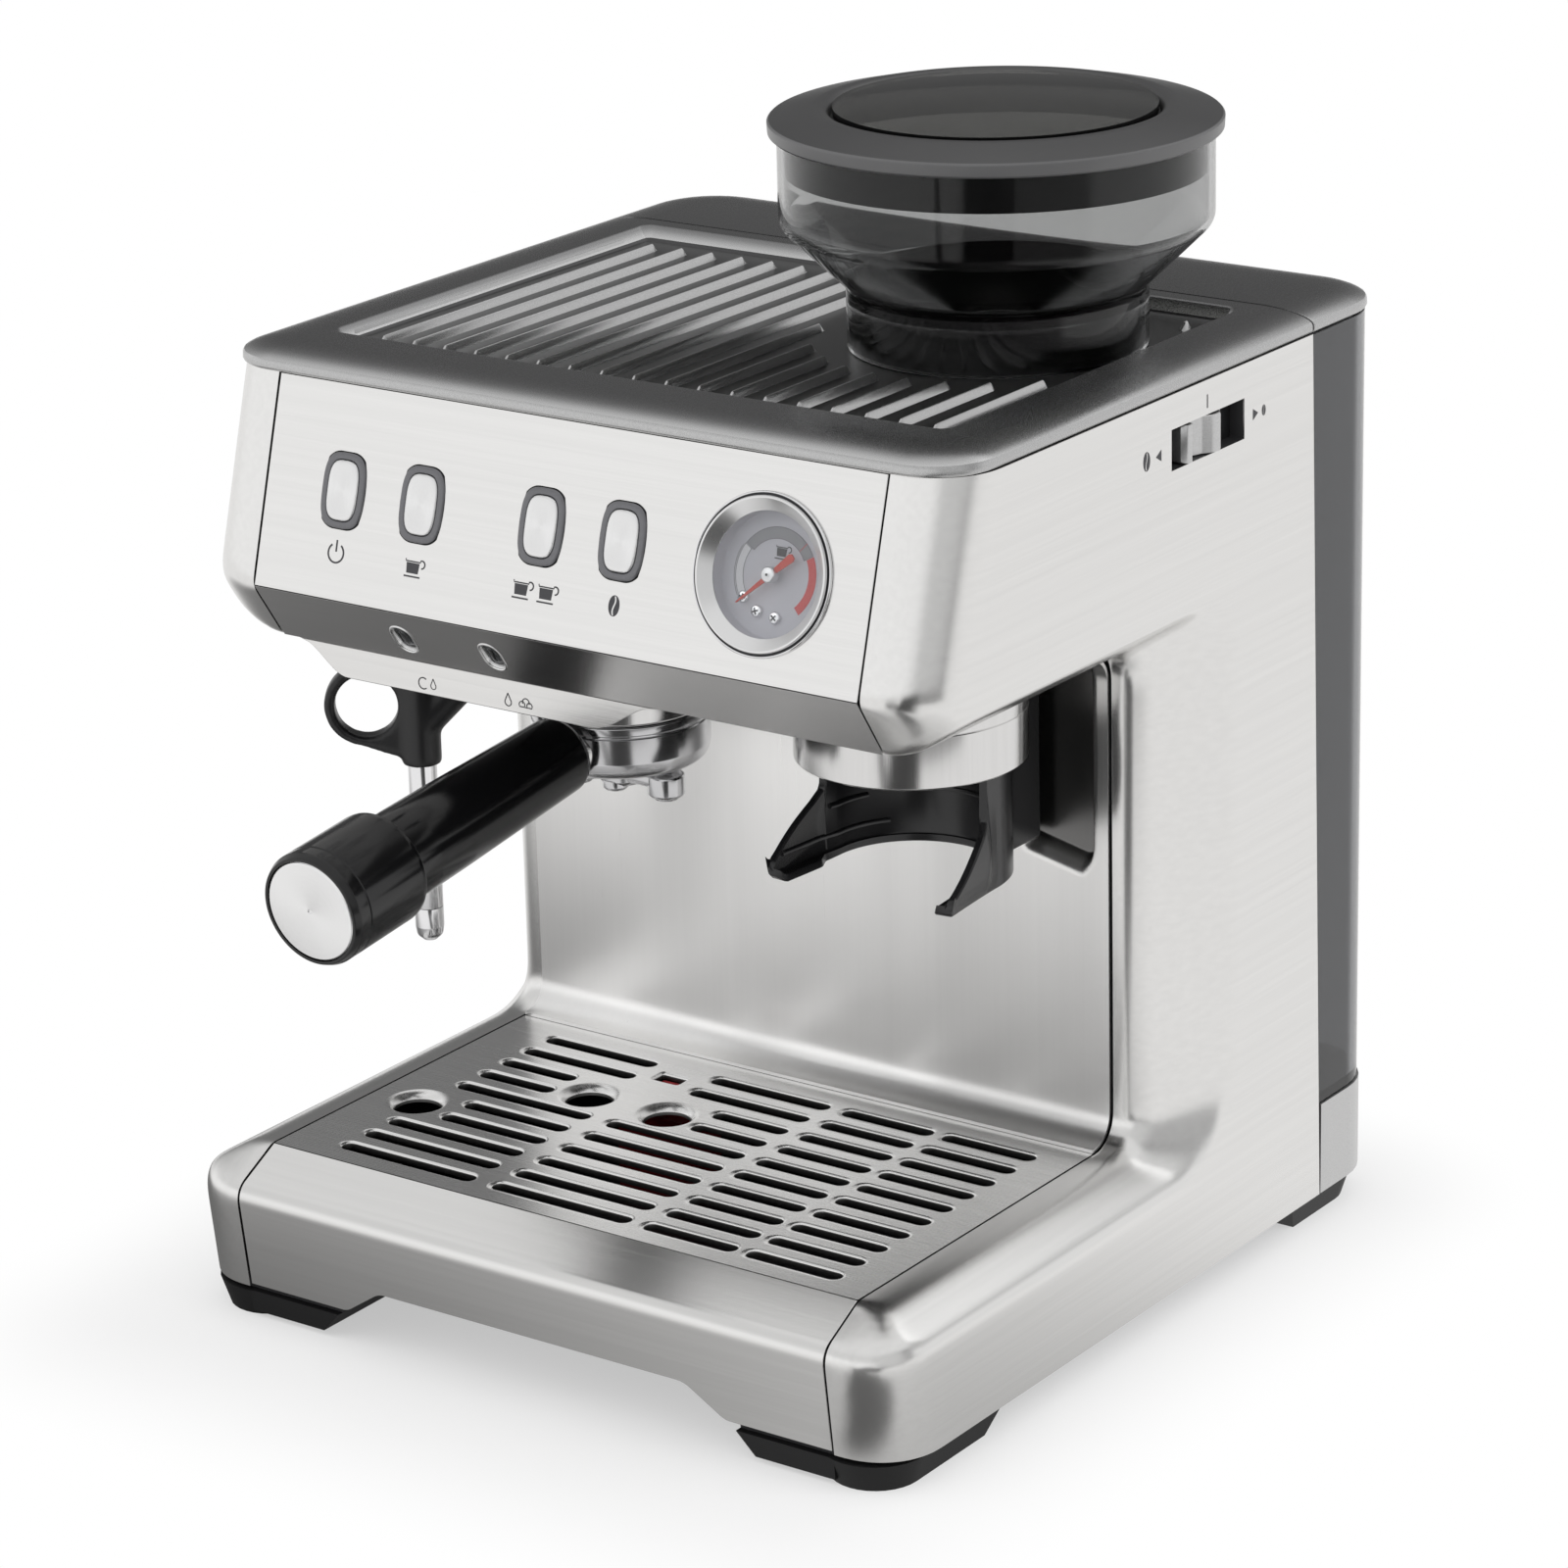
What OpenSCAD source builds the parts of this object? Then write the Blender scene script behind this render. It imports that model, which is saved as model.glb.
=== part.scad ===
// Compact espresso machine with a built-in conical burr grinder.
// X is the width, Y runs from the front to the water tank, Z is up from the table.
// Every module draws its piece in machine coordinates: X from the middle plane,
// Y from the front fold of the drip tray and Z from the soles of the feet.

/* [Body] */
// Width across the two side casings
body_w = 288; // [276:1:350]
// Depth from the tray's front fold to the back of the tank
body_d = 306; // [296:1:370]
// Width of each side casing beside the control panel
casing_w = 25.5; // [22:0.5:30]
// Sheet thickness of the side casings
casing_t = 2; // [1.5:0.1:2.5]
// Radius of the upright front corners
corner_r = 21; // [14:1:24]
// Radius of the upright corners of the tank
rear_corner_r = 26; // [18:1:30]
// Gap between the casings and the panels that they frame
seam = 0.8; // [0.6:0.1:0.9]
// Clearance between pieces that rest on each other
seat = 0.3; // [0.2:0.05:0.5]

/* [Heights] */
// Height of the casings' lower edge above the table
base_z = 11; // [9:0.5:15]
// Height of the drip grid
tray_z = 57.5; // [52:0.5:70]
// Clear height of the cup bay, from the drip grid to the head
bay_h = 172.5; // [165:0.5:210]
// Height of the head, from the bay to the cover
head_h = 87; // [84:0.5:105]
// Thickness of the top cover at its crown
cover_h = 7; // [6:0.5:9]

/* [Front] */
// Depth of the fold along the top of the tray's fascia
fold_d = 19.7; // [15:0.5:24]
// Height of the fold's front edge below the grid
fold_h = 10.3; // [8:0.5:14]
// Setback of the fascia's lower edge
fascia_back = 4.4; // [2:0.2:6]
// Setback of the panel's lower edge
panel_foot_y = 26; // [22:0.5:32]
// Setback of the panel's upper edge
panel_top_y = 45; // [38:0.5:52]
// Setback of the lip's lower edge
lip_foot_y = 39.5; // [36:0.5:46]
// Height of the lip under the panel
lip_h = 20; // [16:0.5:24]
// Thickness of the panel, the lip and the plate under it
panel_t = 2; // [1.5:0.1:2.5]

/* [Cup bay] */
// Setback of the splash wall
wall_y = 167.8; // [160:0.5:190]
// Sheet thickness of the splash wall, the tray's fascia and the drip grid
sheet_t = 1.5; // [1:0.1:2]
// Fillet radius where the splash wall meets the tray and the head
bay_r = 11; // [8:0.5:14]
// Width of the flat strip beside the splash wall
strip_w = 8.5; // [6:0.5:10]
// How far the bay's flare opens the column
flare_column = 36; // [28:1:40]
// How far the flare cuts down into the base
flare_base = 14.5; // [10:0.5:18]
// How far the flare cuts up into the head
flare_head = 12; // [8:0.5:14]

/* [Buttons and gauge] */
// Button ring width
ring_w = 17.2; // [15:0.2:19]
// Button ring height
ring_h = 24.4; // [22:0.2:26]
// Band width of a button ring
ring_band = 2.2; // [1.6:0.1:2.6]
// Running gap round a button
button_gap = 0.25; // [0.2:0.05:0.4]
// Travel of a button
button_travel = 1.5; // [1:0.1:2]
// Radius of the gauge's bezel
bezel_r = 25.5; // [23:0.5:27]
// Radius of the gauge's dial
dial_r = 21; // [18:0.5:22]

/* [Brew group] */
// Distance of the group's axis from the middle plane
group_off = 43.5; // [38:0.5:46]
// Setback of the group's axis
group_y = 120.4; // [116:0.5:130]
// Outer radius of the portafilter's ring
holder_r = 29.9; // [29:0.1:31]
// Inner radius of the filter basket
basket_r = 24.2; // [22.5:0.1:24.4]
// Drop of the holder's underside below the head
holder_drop = 51.7; // [46:0.1:58]
// Drop of the group collar's underside below the head
collar_drop = 32.5; // [28:0.5:38]
// Reach of the handle in front of the body
handle_reach = 42.5; // [30:0.5:60]
// Downward slope of the handle, in degrees
handle_drop = 6.5; // [0:0.5:9]
// Radius of the handle at its grip
handle_r = 15; // [13:0.5:16]
// Length of the handle's end sleeve
sleeve_len = 36; // [30:1:55]

/* [Grinder] */
// Distance of the hopper's axis from the inner face of the right casing
hopper_in = 52.9; // [50:0.5:60]
// Setback of the hopper's axis
hopper_y = 185; // [180:0.5:200]
// Radius of the hopper's neck
neck_r = 48.8; // [44:0.5:52]
// Radius of the hopper's bowl
bowl_r = 70; // [62:1:76]
// Height of the hopper from the cover to its rim
hopper_h = 69; // [60:1:90]
// Radius of the lid's edge
lid_r = 73; // [65:1:80]
// Radius of the steel collar round the grinder's outlet
outlet_r = 37.8; // [36:0.2:40]
// Distance of the outlet's axis from the inner face of the right casing
outlet_in = 45.4; // [44:0.5:52]
// Drop of the collar's lower edge below the head
outlet_drop = 30.6; // [24:0.2:38]
// Inner radius of the cradle that guides the portafilter
cradle_r = 31; // [30:0.2:33]

/* [Steam wand] */
// Distance of the wand from the inner face of the left casing
wand_in = 13; // [12:0.5:18]
// Setback of the wand
wand_y = 91; // [84:0.5:100]
// Radius of the wand's tube
wand_r = 4.9; // [4:0.1:5.5]
// Height of the wand's tip
wand_tip_z = 110; // [100:1:130]
// Drop of the wand's ball joint below the head
wand_pivot_drop = 9; // [8:0.5:16]

/* [Tank] */
// Setback of the seam between the casings and the tank, at half height
rear_seam_y = 256; // [250:1:270]
// How far the seam leans back from its top to its foot
rear_lean = 9; // [0:0.5:12]
// Height of the tank's base above the casings' lower edge
tank_base_h = 33; // [26:0.5:45]
// Wall of the tank
tank_wall = 2.5; // [2:0.1:3.5]

/* [Side controls] */
// Radius of the steam knob
knob_r = 21; // [17:0.5:24]
// Depth of the steam knob outside the casing
knob_d = 18; // [14:0.5:22]
// Length of the grind slider's slot
slot_len = 44.4; // [40:0.2:48]
// Height of the grind slider's slot
slot_h = 13.4; // [12:0.2:16]

/* [Hidden] */

thin = 0.01;
over = 3;
$fn = 64;

inner_half = body_w / 2 - casing_w;
head_z = tray_z + bay_h;
top_z = head_z + head_h;
panel_foot_z = head_z + lip_h;
panel_h = top_z - panel_foot_z;
panel_lean = atan2(panel_top_y - panel_foot_y, panel_h);
panel_len = norm([panel_top_y - panel_foot_y, panel_h]);
lip_lean = atan2(lip_foot_y - panel_foot_y, lip_h);
lip_len = norm([lip_foot_y - panel_foot_y, lip_h]);
panel_half = inner_half - seam / 2;
fold_z = tray_z - fold_h;
cover_z = top_z + seat;
recess_floor_z = cover_z + 2.2;
cover_seam_y = rear_y(top_z);
group_x = -group_off;
outlet_x = inner_half - outlet_in;
hopper_x = inner_half - hopper_in;
wand_x = -(inner_half - wand_in);
holder_z = head_z - holder_drop;
collar_z = head_z - collar_drop;
outlet_z = head_z - outlet_drop;
cradle_z = outlet_z - 40.4;
wand_pivot_z = head_z - wand_pivot_drop;
handle_z = holder_z + 13.7;
slot_y = rear_seam_y - 70;
slot_z = top_z - 18;
knob_y = 126;
knob_z = top_z - 42;
slider_proud = 1.5;
handle_tip_y = group_y - (group_y + handle_reach) * cos(handle_drop) - (handle_r + 2.3) * sin(handle_drop);

// The part's own frame stands on the middle of its outline, at table height.
origin_shift = [(knob_d - slider_proud) / 2, -(body_d + handle_tip_y) / 2, 0];

// Setback of the rear edge of the casings at a height.
function rear_y(z) = rear_seam_y + rear_lean * (0.5 - (z - base_z) / (top_z - base_z));

// ---------- frames and shared outlines ----------

module placed() { translate(origin_shift) children(); }

// On the control panel: X across, Y up along the panel, Z out of its face.
module on_panel() {
    translate([0, panel_foot_y, panel_foot_z]) rotate([90 - panel_lean, 0, 0]) children();
}

// On the lip under the panel, in the same sense.
module on_lip() {
    translate([0, lip_foot_y, head_z]) rotate([90 + lip_lean, 0, 0]) children();
}

module at_group() { translate([group_x, group_y, 0]) children(); }
module at_outlet() { translate([outlet_x, group_y, 0]) children(); }
module at_hopper() { translate([hopper_x, hopper_y, 0]) children(); }

// Along the handle: Z runs from the group's axis to the handle's end.
module along_handle() {
    translate([group_x, group_y, handle_z]) rotate([90 + handle_drop, 0, 0]) children();
}

// An outline of the YZ plane, drawn as (y, z) and carried from x0 to x1.
module across(x0, x1) {
    translate([x0, 0, 0]) rotate([90, 0, 90]) linear_extrude(x1 - x0) children();
}

// A slot with round ends, l long over its ends and w wide.
module slot_outline(l, w) {
    for (s = [-1, 1]) translate([s * (l - w) / 2, 0]) circle(d = w);
    square([l - w, w], center = true);
}

// A barrel-sided rectangle with large round corners, as on the buttons.
module barrel_outline(w, h) {
    bulge_r = h * 1.5;
    intersection() {
        translate([w / 2 - bulge_r, 0]) circle(bulge_r, $fn = 160);
        translate([bulge_r - w / 2, 0]) circle(bulge_r, $fn = 160);
        offset(w * 0.36) square([w * 0.28, h - w * 0.72], center = true);
    }
}

// Points along an arc, in steps that suit its radius.
function arc(cx, cy, r, a0, a1, n = 9) =
    [for (i = [0 : n]) [cx + r * cos(a0 + (a1 - a0) * i / n), cy + r * sin(a0 + (a1 - a0) * i / n)]];

// Plan from y0 to y1 with corners rounded by fr at the front and by br at the back.
function deck(half, y0, y1, fr, br) = concat(
    fr > 0 ? arc(-half + fr, y0 + fr, fr, 180, 270) : [[-half, y0]],
    fr > 0 ? arc(half - fr, y0 + fr, fr, 270, 360) : [[half, y0]],
    br > 0 ? arc(half - br, y1 - br, br, 0, 90) : [[half, y1]],
    br > 0 ? arc(-half + br, y1 - br, br, 90, 180) : [[-half, y1]]);

module deck_outline(half, y0, y1, fr, br) { polygon(deck(half, y0, y1, fr, br)); }

// A ring of plan points lifted to a height.
function lifted(ring, z) = [for (p = ring) [p[0], p[1], z]];

// A solid skinned over rings that all have the same number of points.
module skin(rings) {
    n = len(rings[0]);
    m = len(rings);
    polyhedron(points = [for (ring = rings) each ring],
        faces = concat(
            [[for (i = [0 : n - 1]) i]],
            [for (k = [0 : m - 2], i = [0 : n - 1]) [k * n + i, k * n + n + i, k * n + n + (i + 1) % n, k * n + (i + 1) % n]],
            [[for (i = [0 : n - 1]) m * n - 1 - i]]));
}

// ---------- side casings ----------

// Height and setback of the front edge, from the foot to the cover.
front_line = [
    [base_z, fascia_back], [fold_z, 0], [tray_z, fold_d],
    [head_z, lip_foot_y], [panel_foot_z, panel_foot_y], [top_z, panel_top_y]
];

// Plan of the right casing at a level; inset draws its hollow, open inwards and backwards.
function casing_ring(level, inset, dz) =
    let (open = inset > 0 ? over : 0,
         x0 = inner_half + seam / 2 - open,
         x1 = body_w / 2,
         y0 = level[1],
         y1 = rear_y(level[0]) + open)
    lifted(concat([[x0, y0 + inset]], arc(x1 - corner_r, y0 + corner_r, corner_r - inset, 270, 360),
                  [[x1 - inset, y1], [x0, y1]]), level[0] + dz);

module casing_block(inset) {
    last = len(front_line) - 1;
    skin([for (i = [0 : last]) casing_ring(front_line[i], inset, inset == 0 ? 0 : i == 0 ? -over : i == last ? over : 0)]);
}

// Share of the flare reached at each share of the way out to the casing's face.
flare_steps = [[0, 0], [0.1, 0.04], [0.3, 0.22], [0.55, 0.5], [0.8, 0.79], [0.93, 0.93], [1, 0.99], [1.05, 1.02]];

// Outline of the cup bay at a station across the casing.
function bay_ring(x, share, grow) =
    let (r = bay_r + 9 * share + grow,
         y1 = wall_y + flare_column * share + grow,
         z0 = tray_z - flare_base * share - grow,
         z1 = head_z + flare_head * share + grow)
    [for (p = concat([[-40, z0]], arc(y1 - r, z0 + r, r, 270, 360), arc(y1 - r, z1 - r, r, 0, 90), [[-40, z1]])) [x, p[0], p[1]]];

// The flared opening of the cup bay through the right casing.
module bay_opening(grow) {
    x0 = inner_half + strip_w - grow;
    reach = body_w / 2 - inner_half - strip_w;
    skin(concat([bay_ring(inner_half - 2 * over, 0, grow)],
                [for (step = flare_steps) bay_ring(x0 + reach * step[0], step[1], grow)],
                [bay_ring(x0 + reach * 1.3 + grow, 1.02, grow)]));
}

module side_casing() {
    difference() {
        casing_block(0);
        bay_opening(0);
        difference() {
            casing_block(casing_t);
            bay_opening(casing_t);
        }
    }
}

module side_casing_right() {
    color("gainsboro") difference() {
        side_casing();
        translate([body_w / 2 - casing_w / 2, slot_y - slot_len / 2, slot_z - slot_h / 2])
            cube([casing_w, slot_len, slot_h]);
    }
}

module side_casing_left() {
    color("gainsboro") difference() {
        mirror([1, 0, 0]) side_casing();
        translate([-body_w / 2 - over, knob_y, knob_z]) rotate([0, 90, 0]) cylinder(h = 2 * over + casing_t, r = 6);
    }
}

// ---------- base, column and head frames ----------

foot_gap = inner_half - 37.5;

module base_pan() {
    half = body_w / 2 - casing_t - seam;
    color("#1c1c1e") difference() {
        translate([0, 0, base_z - 1.5]) linear_extrude(4.5)
            deck_outline(half, fascia_back + casing_t + seam, body_d - tank_wall - seam,
                         corner_r - casing_t - seam, rear_corner_r - tank_wall - seam);
        // open front between the feet, which leaves room for a hand under the tray
        translate([-foot_gap, -over, base_z - 3]) cube([2 * foot_gap, 42 + over, 8]);
        // recesses under the tray's guide rails
        for (s = [-1, 1]) translate([s * inner_half * 0.55, wall_y / 2, base_z - 2])
            linear_extrude(3) square([inner_half * 0.6, wall_y * 0.6], center = true);
    }
}

// One foot: a drafted corner block with a lower inner step, drawn for the right front.
module foot_block(y0, y1, front) {
    half = body_w / 2 - 3;
    r = corner_r - 3;
    top = base_z - 1.5;
    ya = front ? y0 : y1;
    s = front ? 1 : -1;
    hull() {
        translate([half - r, ya + s * r, 0]) cylinder(h = thin, r = r - 3, $fn = 32);
        translate([half - r, ya + s * r, top - thin]) cylinder(h = thin, r = r, $fn = 32);
        translate([half - 14, front ? y1 - 9 : y0 + 6, 0]) cube([11, 3, thin]);
        translate([half - 14, front ? y1 - 3 : y0, top - thin]) cube([14, 3, thin]);
        translate([inner_half, ya + s * 7.5 - 1.5, 0]) cube([3, 3, thin]);
        translate([inner_half - 1, ya + s * 4.5 - 1.5, top - thin]) cube([3, 3, thin]);
    }
    reach = 43;
    yb = front ? y0 + 1.8 : y1 - 1.8 - reach;
    hull() {
        translate([foot_gap + 7, yb, 2]) cube([inner_half - foot_gap - 7 + thin, reach, thin]);
        translate([foot_gap, yb - 0.6, top - thin]) cube([inner_half - foot_gap + thin, reach + 1.2, thin]);
    }
}

module feet() {
    color("#151517") for (s = [0, 1]) mirror([s, 0, 0]) {
        foot_block(fascia_back - 1, 66, true);
        foot_block(rear_seam_y - 9, body_d - 6, false);
    }
}

// Inner frame of the column: a U of uprights that carries the head.
module column_frame() {
    wall = 2.5;
    y0 = wall_y + sheet_t + seat;
    y1 = cover_seam_y - seam - 1;
    z0 = base_z + 3 + seat;
    half = inner_half - seat;
    color("#2a2a2d") difference() {
        translate([0, 0, z0]) linear_extrude(top_z - z0) difference() {
            translate([-half, y0]) square([2 * half, y1 - y0]);
            translate([-half + wall, y0 - over]) square([2 * (half - wall), y1 - y0 + over - wall]);
        }
        // cable and hose passage into the tank bay
        translate([-30, y1 - wall - over, z0 + 8]) cube([60, wall + 2 * over, 18]);
        // notch round the steam valve and the head's frame
        for (s = [-1, 1]) translate([s * half, y0 - over, head_z - seat]) rotate([0, 0, 0])
            translate([-wall - 1, 0, 0]) cube([2 * wall + 2, over + 6, head_h + over]);
    }
}

// Moulded floor and front wall inside the head.
module head_frame() {
    floor_t = 3;
    half = inner_half - seat;
    y0 = lip_foot_y + 3;
    y1 = wall_y + sheet_t + seat + 5;
    color("#26262a") {
        difference() {
            translate([-half, y0, head_z]) cube([2 * half, y1 - y0, floor_t]);
            at_group() translate([0, 0, head_z - over]) cylinder(h = floor_t + 2 * over, r = 24);
            at_outlet() translate([0, 0, head_z - over]) cylinder(h = floor_t + 2 * over, r = 16);
            translate([wand_x, wand_y, head_z - over]) cylinder(h = floor_t + 2 * over, r = 10.4);
        }
        difference() {
            on_panel() translate([-half, 1, -panel_t - seat - 2.5]) cube([2 * half, panel_len - 8, 2.5]);
            for (i = [0 : 3]) on_panel() translate([button_x[i], button_v, -20])
                linear_extrude(40) barrel_outline(ring_w + 1.2, ring_h + 1.2);
            on_panel() translate([gauge_x, gauge_v, -40]) cylinder(h = 80, r = dial_r + 2.2);
        }
        // ribs that tie the front wall to the floor, and posts for the control board
        for (x = [-half + 2, -8, half - 4.5])
            translate([x, 0, 0]) across(0, 2.5) polygon([
                [panel_foot_y + 18, head_z + floor_t - 0.5], [panel_foot_y + 40, head_z + floor_t - 0.5],
                [panel_foot_y + 9.6, panel_foot_z + 18], [panel_foot_y + 6.2, panel_foot_z + 6]]);
        for (p = board_posts) on_panel() translate([p[0], p[1], -board_depth + seat]) cylinder(h = board_depth - seat - panel_t - seat - 1, r = 2.4);
    }
}

// ---------- control panel ----------

button_v = 35.5;
// Buttons are set out from the panel's left edge.
button_x = [for (d = [32, 64, 111.8, 143.2]) d - inner_half];
gauge_x = inner_half - 40.3;
gauge_v = 33.2;
board_depth = 15;
board_posts = [for (x = [-inner_half + 14, gauge_x - dial_r - 14], v = [22, 60]) [x, v]];

// Directions into the machine from the lip and from the panel, and the mitre of the fold between them.
mitre_slope = tan((lip_lean + panel_lean) / 2);
lip_in = [cos(lip_lean), sin(lip_lean)];
panel_in = [cos(panel_lean), -sin(panel_lean)];
mitre = (lip_in + panel_in) * panel_t / (1 + lip_in * panel_in);
panel_up = [sin(panel_lean), cos(panel_lean)];
fold_at = [panel_foot_y, panel_foot_z];

module front_panel() {
    color("#e4e4e2") on_panel() difference() {
        translate([-panel_half, 0.3, -panel_t]) cube([2 * panel_half, panel_len - 0.6, panel_t]);
        translate([-panel_half - 1, 0.3, 0]) rotate([0, 90, 0])
            linear_extrude(2 * panel_half + 2) polygon([[0, 0], [over, 0], [over, over * mitre_slope]]);
        for (x = button_x) translate([x, button_v, -over])
            linear_extrude(2 * over) barrel_outline(ring_w + 2 * button_gap, ring_h + 2 * button_gap);
        translate([gauge_x, gauge_v, -over]) cylinder(h = 2 * over, r = dial_r + 2.5);
    }
}

// Setting out of the two indicator windows in the lip.
lens_x = [for (d = [55.8, 91.6]) d - inner_half];
lens_v = lip_len * 0.44;
lens_w = 7.4;
lens_l = 11.5;

module lens_outline(grow) { rotate(90) slot_outline(lens_l + 2 * grow, lens_w + 2 * grow); }

module lip_panel() {
    color("#8e8e8e") difference() {
        across(-panel_half, panel_half)
            polygon([[lip_foot_y, head_z], fold_at, fold_at + mitre, [lip_foot_y, head_z] + panel_t * lip_in]);
        on_lip() for (x = lens_x) translate([x, lens_v, -over]) linear_extrude(2 * over) lens_outline(0);
    }
}

module indicator_lenses() {
    color("#c9cdd2", 0.7) on_lip() for (x = lens_x) translate([x, lens_v, -6]) {
        linear_extrude(4.6) lens_outline(-button_gap);
        linear_extrude(6 - panel_t - seat) lens_outline(1.2);
    }
}

// Plate whose lower edge sweeps up softly at both ends; it hangs from the lip in front of the group.
module under_plate() {
    x0 = -inner_half + 6;
    x1 = group_x + 76;
    drop = 10.7;
    color("#e4e4e2") {
        translate([0, lip_foot_y + panel_t + 0.5, head_z - seat]) rotate([90, 0, 0]) linear_extrude(panel_t)
            polygon(concat([[x0, 0]], [for (a = [36 : 16 : 180]) [x0 + 20 * a / 180, -drop * (1 - cos(a)) / 2]],
                           [for (a = [180 : -16 : 36]) [x1 - 27 * a / 180, -drop * (1 - cos(a)) / 2]], [[x1, 0]]));
        translate([x0 + 12, lip_foot_y + 1, head_z - seat - panel_t]) cube([x1 - x0 - 24, 14, panel_t]);
    }
}

module button_rings() {
    color("#76767c") on_panel() for (x = button_x) translate([x, button_v, 0]) difference() {
        union() {
            translate([0, 0, -panel_t - 4]) linear_extrude(panel_t + 4.7) barrel_outline(ring_w, ring_h);
        }
        translate([0, 0, -over - 10]) linear_extrude(20)
            barrel_outline(ring_w - 2 * ring_band, ring_h - 2 * ring_band);
    }
}

// A button: a domed cap on a stem that reaches the board's switch.
module button(i) {
    w = ring_w - 2 * ring_band - 2 * button_gap;
    h = ring_h - 2 * ring_band - 2 * button_gap;
    stem_end = board_depth - 3.4 - button_travel - seat;
    color("#ececea") on_panel() translate([button_x[i], button_v, 0]) {
        translate([0, 0, -4]) linear_extrude(4.6) barrel_outline(w, h);
        translate([0, 0, 0.5]) linear_extrude(0.7) barrel_outline(w - 1.2, h - 1.2);
        translate([0, 0, -stem_end]) cylinder(h = stem_end, r = 2.2);
    }
}

module button_power() { button(0); }
module button_one_cup() { button(1); }
module button_two_cups() { button(2); }
module button_grind() { button(3); }

// Control board with one switch behind each button.
module control_board() {
    x0 = -inner_half + 8;
    x1 = gauge_x - dial_r - 8;
    color("#1f5c3a") on_panel() {
        translate([x0, 18, -board_depth - 1.6]) cube([x1 - x0, 46, 1.6]);
        for (x = button_x) translate([x - 3, button_v - 3, -board_depth - 0.1]) cube([6, 6, 3.5]);
    }
}

// ---------- pressure gauge ----------

module gauge_case() {
    color("#8f8f9c") on_panel() translate([gauge_x, gauge_v, 0]) {
        difference() {
            translate([0, 0, -16]) cylinder(h = 17.5, r = dial_r + 2);
            translate([0, 0, -3]) cylinder(h = 10, r = dial_r + 0.4);
            translate([0, 0, -9]) cylinder(h = 9, r = 0.87);
        }
        translate([0, 0, -26]) cylinder(h = 10.1, r = 4);
    }
}

module gauge_bezel() {
    color("#d8d8da") on_panel() translate([gauge_x, gauge_v, 0]) rotate_extrude($fn = 96)
        polygon([[dial_r + 2.3, seat], [bezel_r, seat], [bezel_r, 1.6], [bezel_r - 1, 2.8], [bezel_r - 2.4, 3.2],
                 [dial_r + 0.8, 2.2], [dial_r - 0.2, 2.0], [dial_r - 0.2, 1.8], [dial_r + 2.3, 1.8]]);
}

module gauge_glass() {
    color("#dfe6ea", 0.3) on_panel() translate([gauge_x, gauge_v, 0.3]) cylinder(h = 1.2, r = dial_r + 0.1);
}

// Angle of the pointer at rest, against the panel's X direction.
needle_rest = 222;

module gauge_needle() {
    color("#d23a2e") on_panel() translate([gauge_x, gauge_v, 0]) {
        translate([0, 0, -2.3]) cylinder(h = 1.9, r = 2.4);
        translate([0, 0, -8]) cylinder(h = 6, r = 0.8);
        translate([0, 0, -1.9]) rotate([0, 0, needle_rest]) linear_extrude(0.7)
            polygon([[-9, -0.9], [0, -1.1], [15.5, -0.35], [15.5, 0.35], [0, 1.1], [-9, 0.9]]);
    }
}

// ---------- splash wall and top ----------

// Quarter fillet of the splash wall about a centre; up turns it towards the head.
module wall_fillet(z, up) {
    translate([wall_y - bay_r, z]) difference() {
        intersection() {
            circle(bay_r + sheet_t, $fn = 96);
            translate([0, up ? 0 : -bay_r * 2]) square([bay_r * 2, bay_r * 2]);
        }
        circle(bay_r, $fn = 96);
    }
}

module back_wall() {
    z1 = head_z - seat - sheet_t;
    color("#dcdcda") difference() {
        across(-panel_half, panel_half) {
            translate([wall_y, tray_z + bay_r - 0.05]) square([sheet_t, z1 - bay_r - tray_z - bay_r + 0.1]);
            wall_fillet(tray_z + bay_r, false);
            wall_fillet(z1 - bay_r, true);
        }
        // notch round the cradle's block
        translate([outlet_x - block_half - 0.8, wall_y - bay_r - over, z1 - bay_r - 2])
            cube([2 * block_half + 1.6, bay_r + over - 0.1, bay_r + 6]);
    }
}

block_half = 18.5;

// Inset of the cover's outline at each share of its crown's height.
crown_steps = [[0, 0.8], [0.12, 0], [0.45, 0.5], [0.75, 4], [0.92, 10], [1, 17]];

function cover_ring(share, inset) =
    lifted(deck(body_w / 2 - inset, panel_top_y - 2 + inset, cover_seam_y, max(corner_r - inset, 4), 0), cover_z + cover_h * share);

// Keep-out radius of the ribs round the hopper.
rib_clear = neck_r + 11;
rib_pitch = 12.7;
rib_count = floor((2 * inner_half - 4) / rib_pitch) + 1;
rib_y0 = panel_top_y + 40;
rib_y1 = cover_seam_y - 16;

module rib(x, y0, y1) {
    if (y1 - y0 > 4) translate([x, y1, recess_floor_z - 0.1]) rotate([90, 0, 0]) linear_extrude(y1 - y0)
        polygon([[-1.5, 0], [1.5, 0], [0.5, 2.6], [-0.5, 2.6]]);
}

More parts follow.
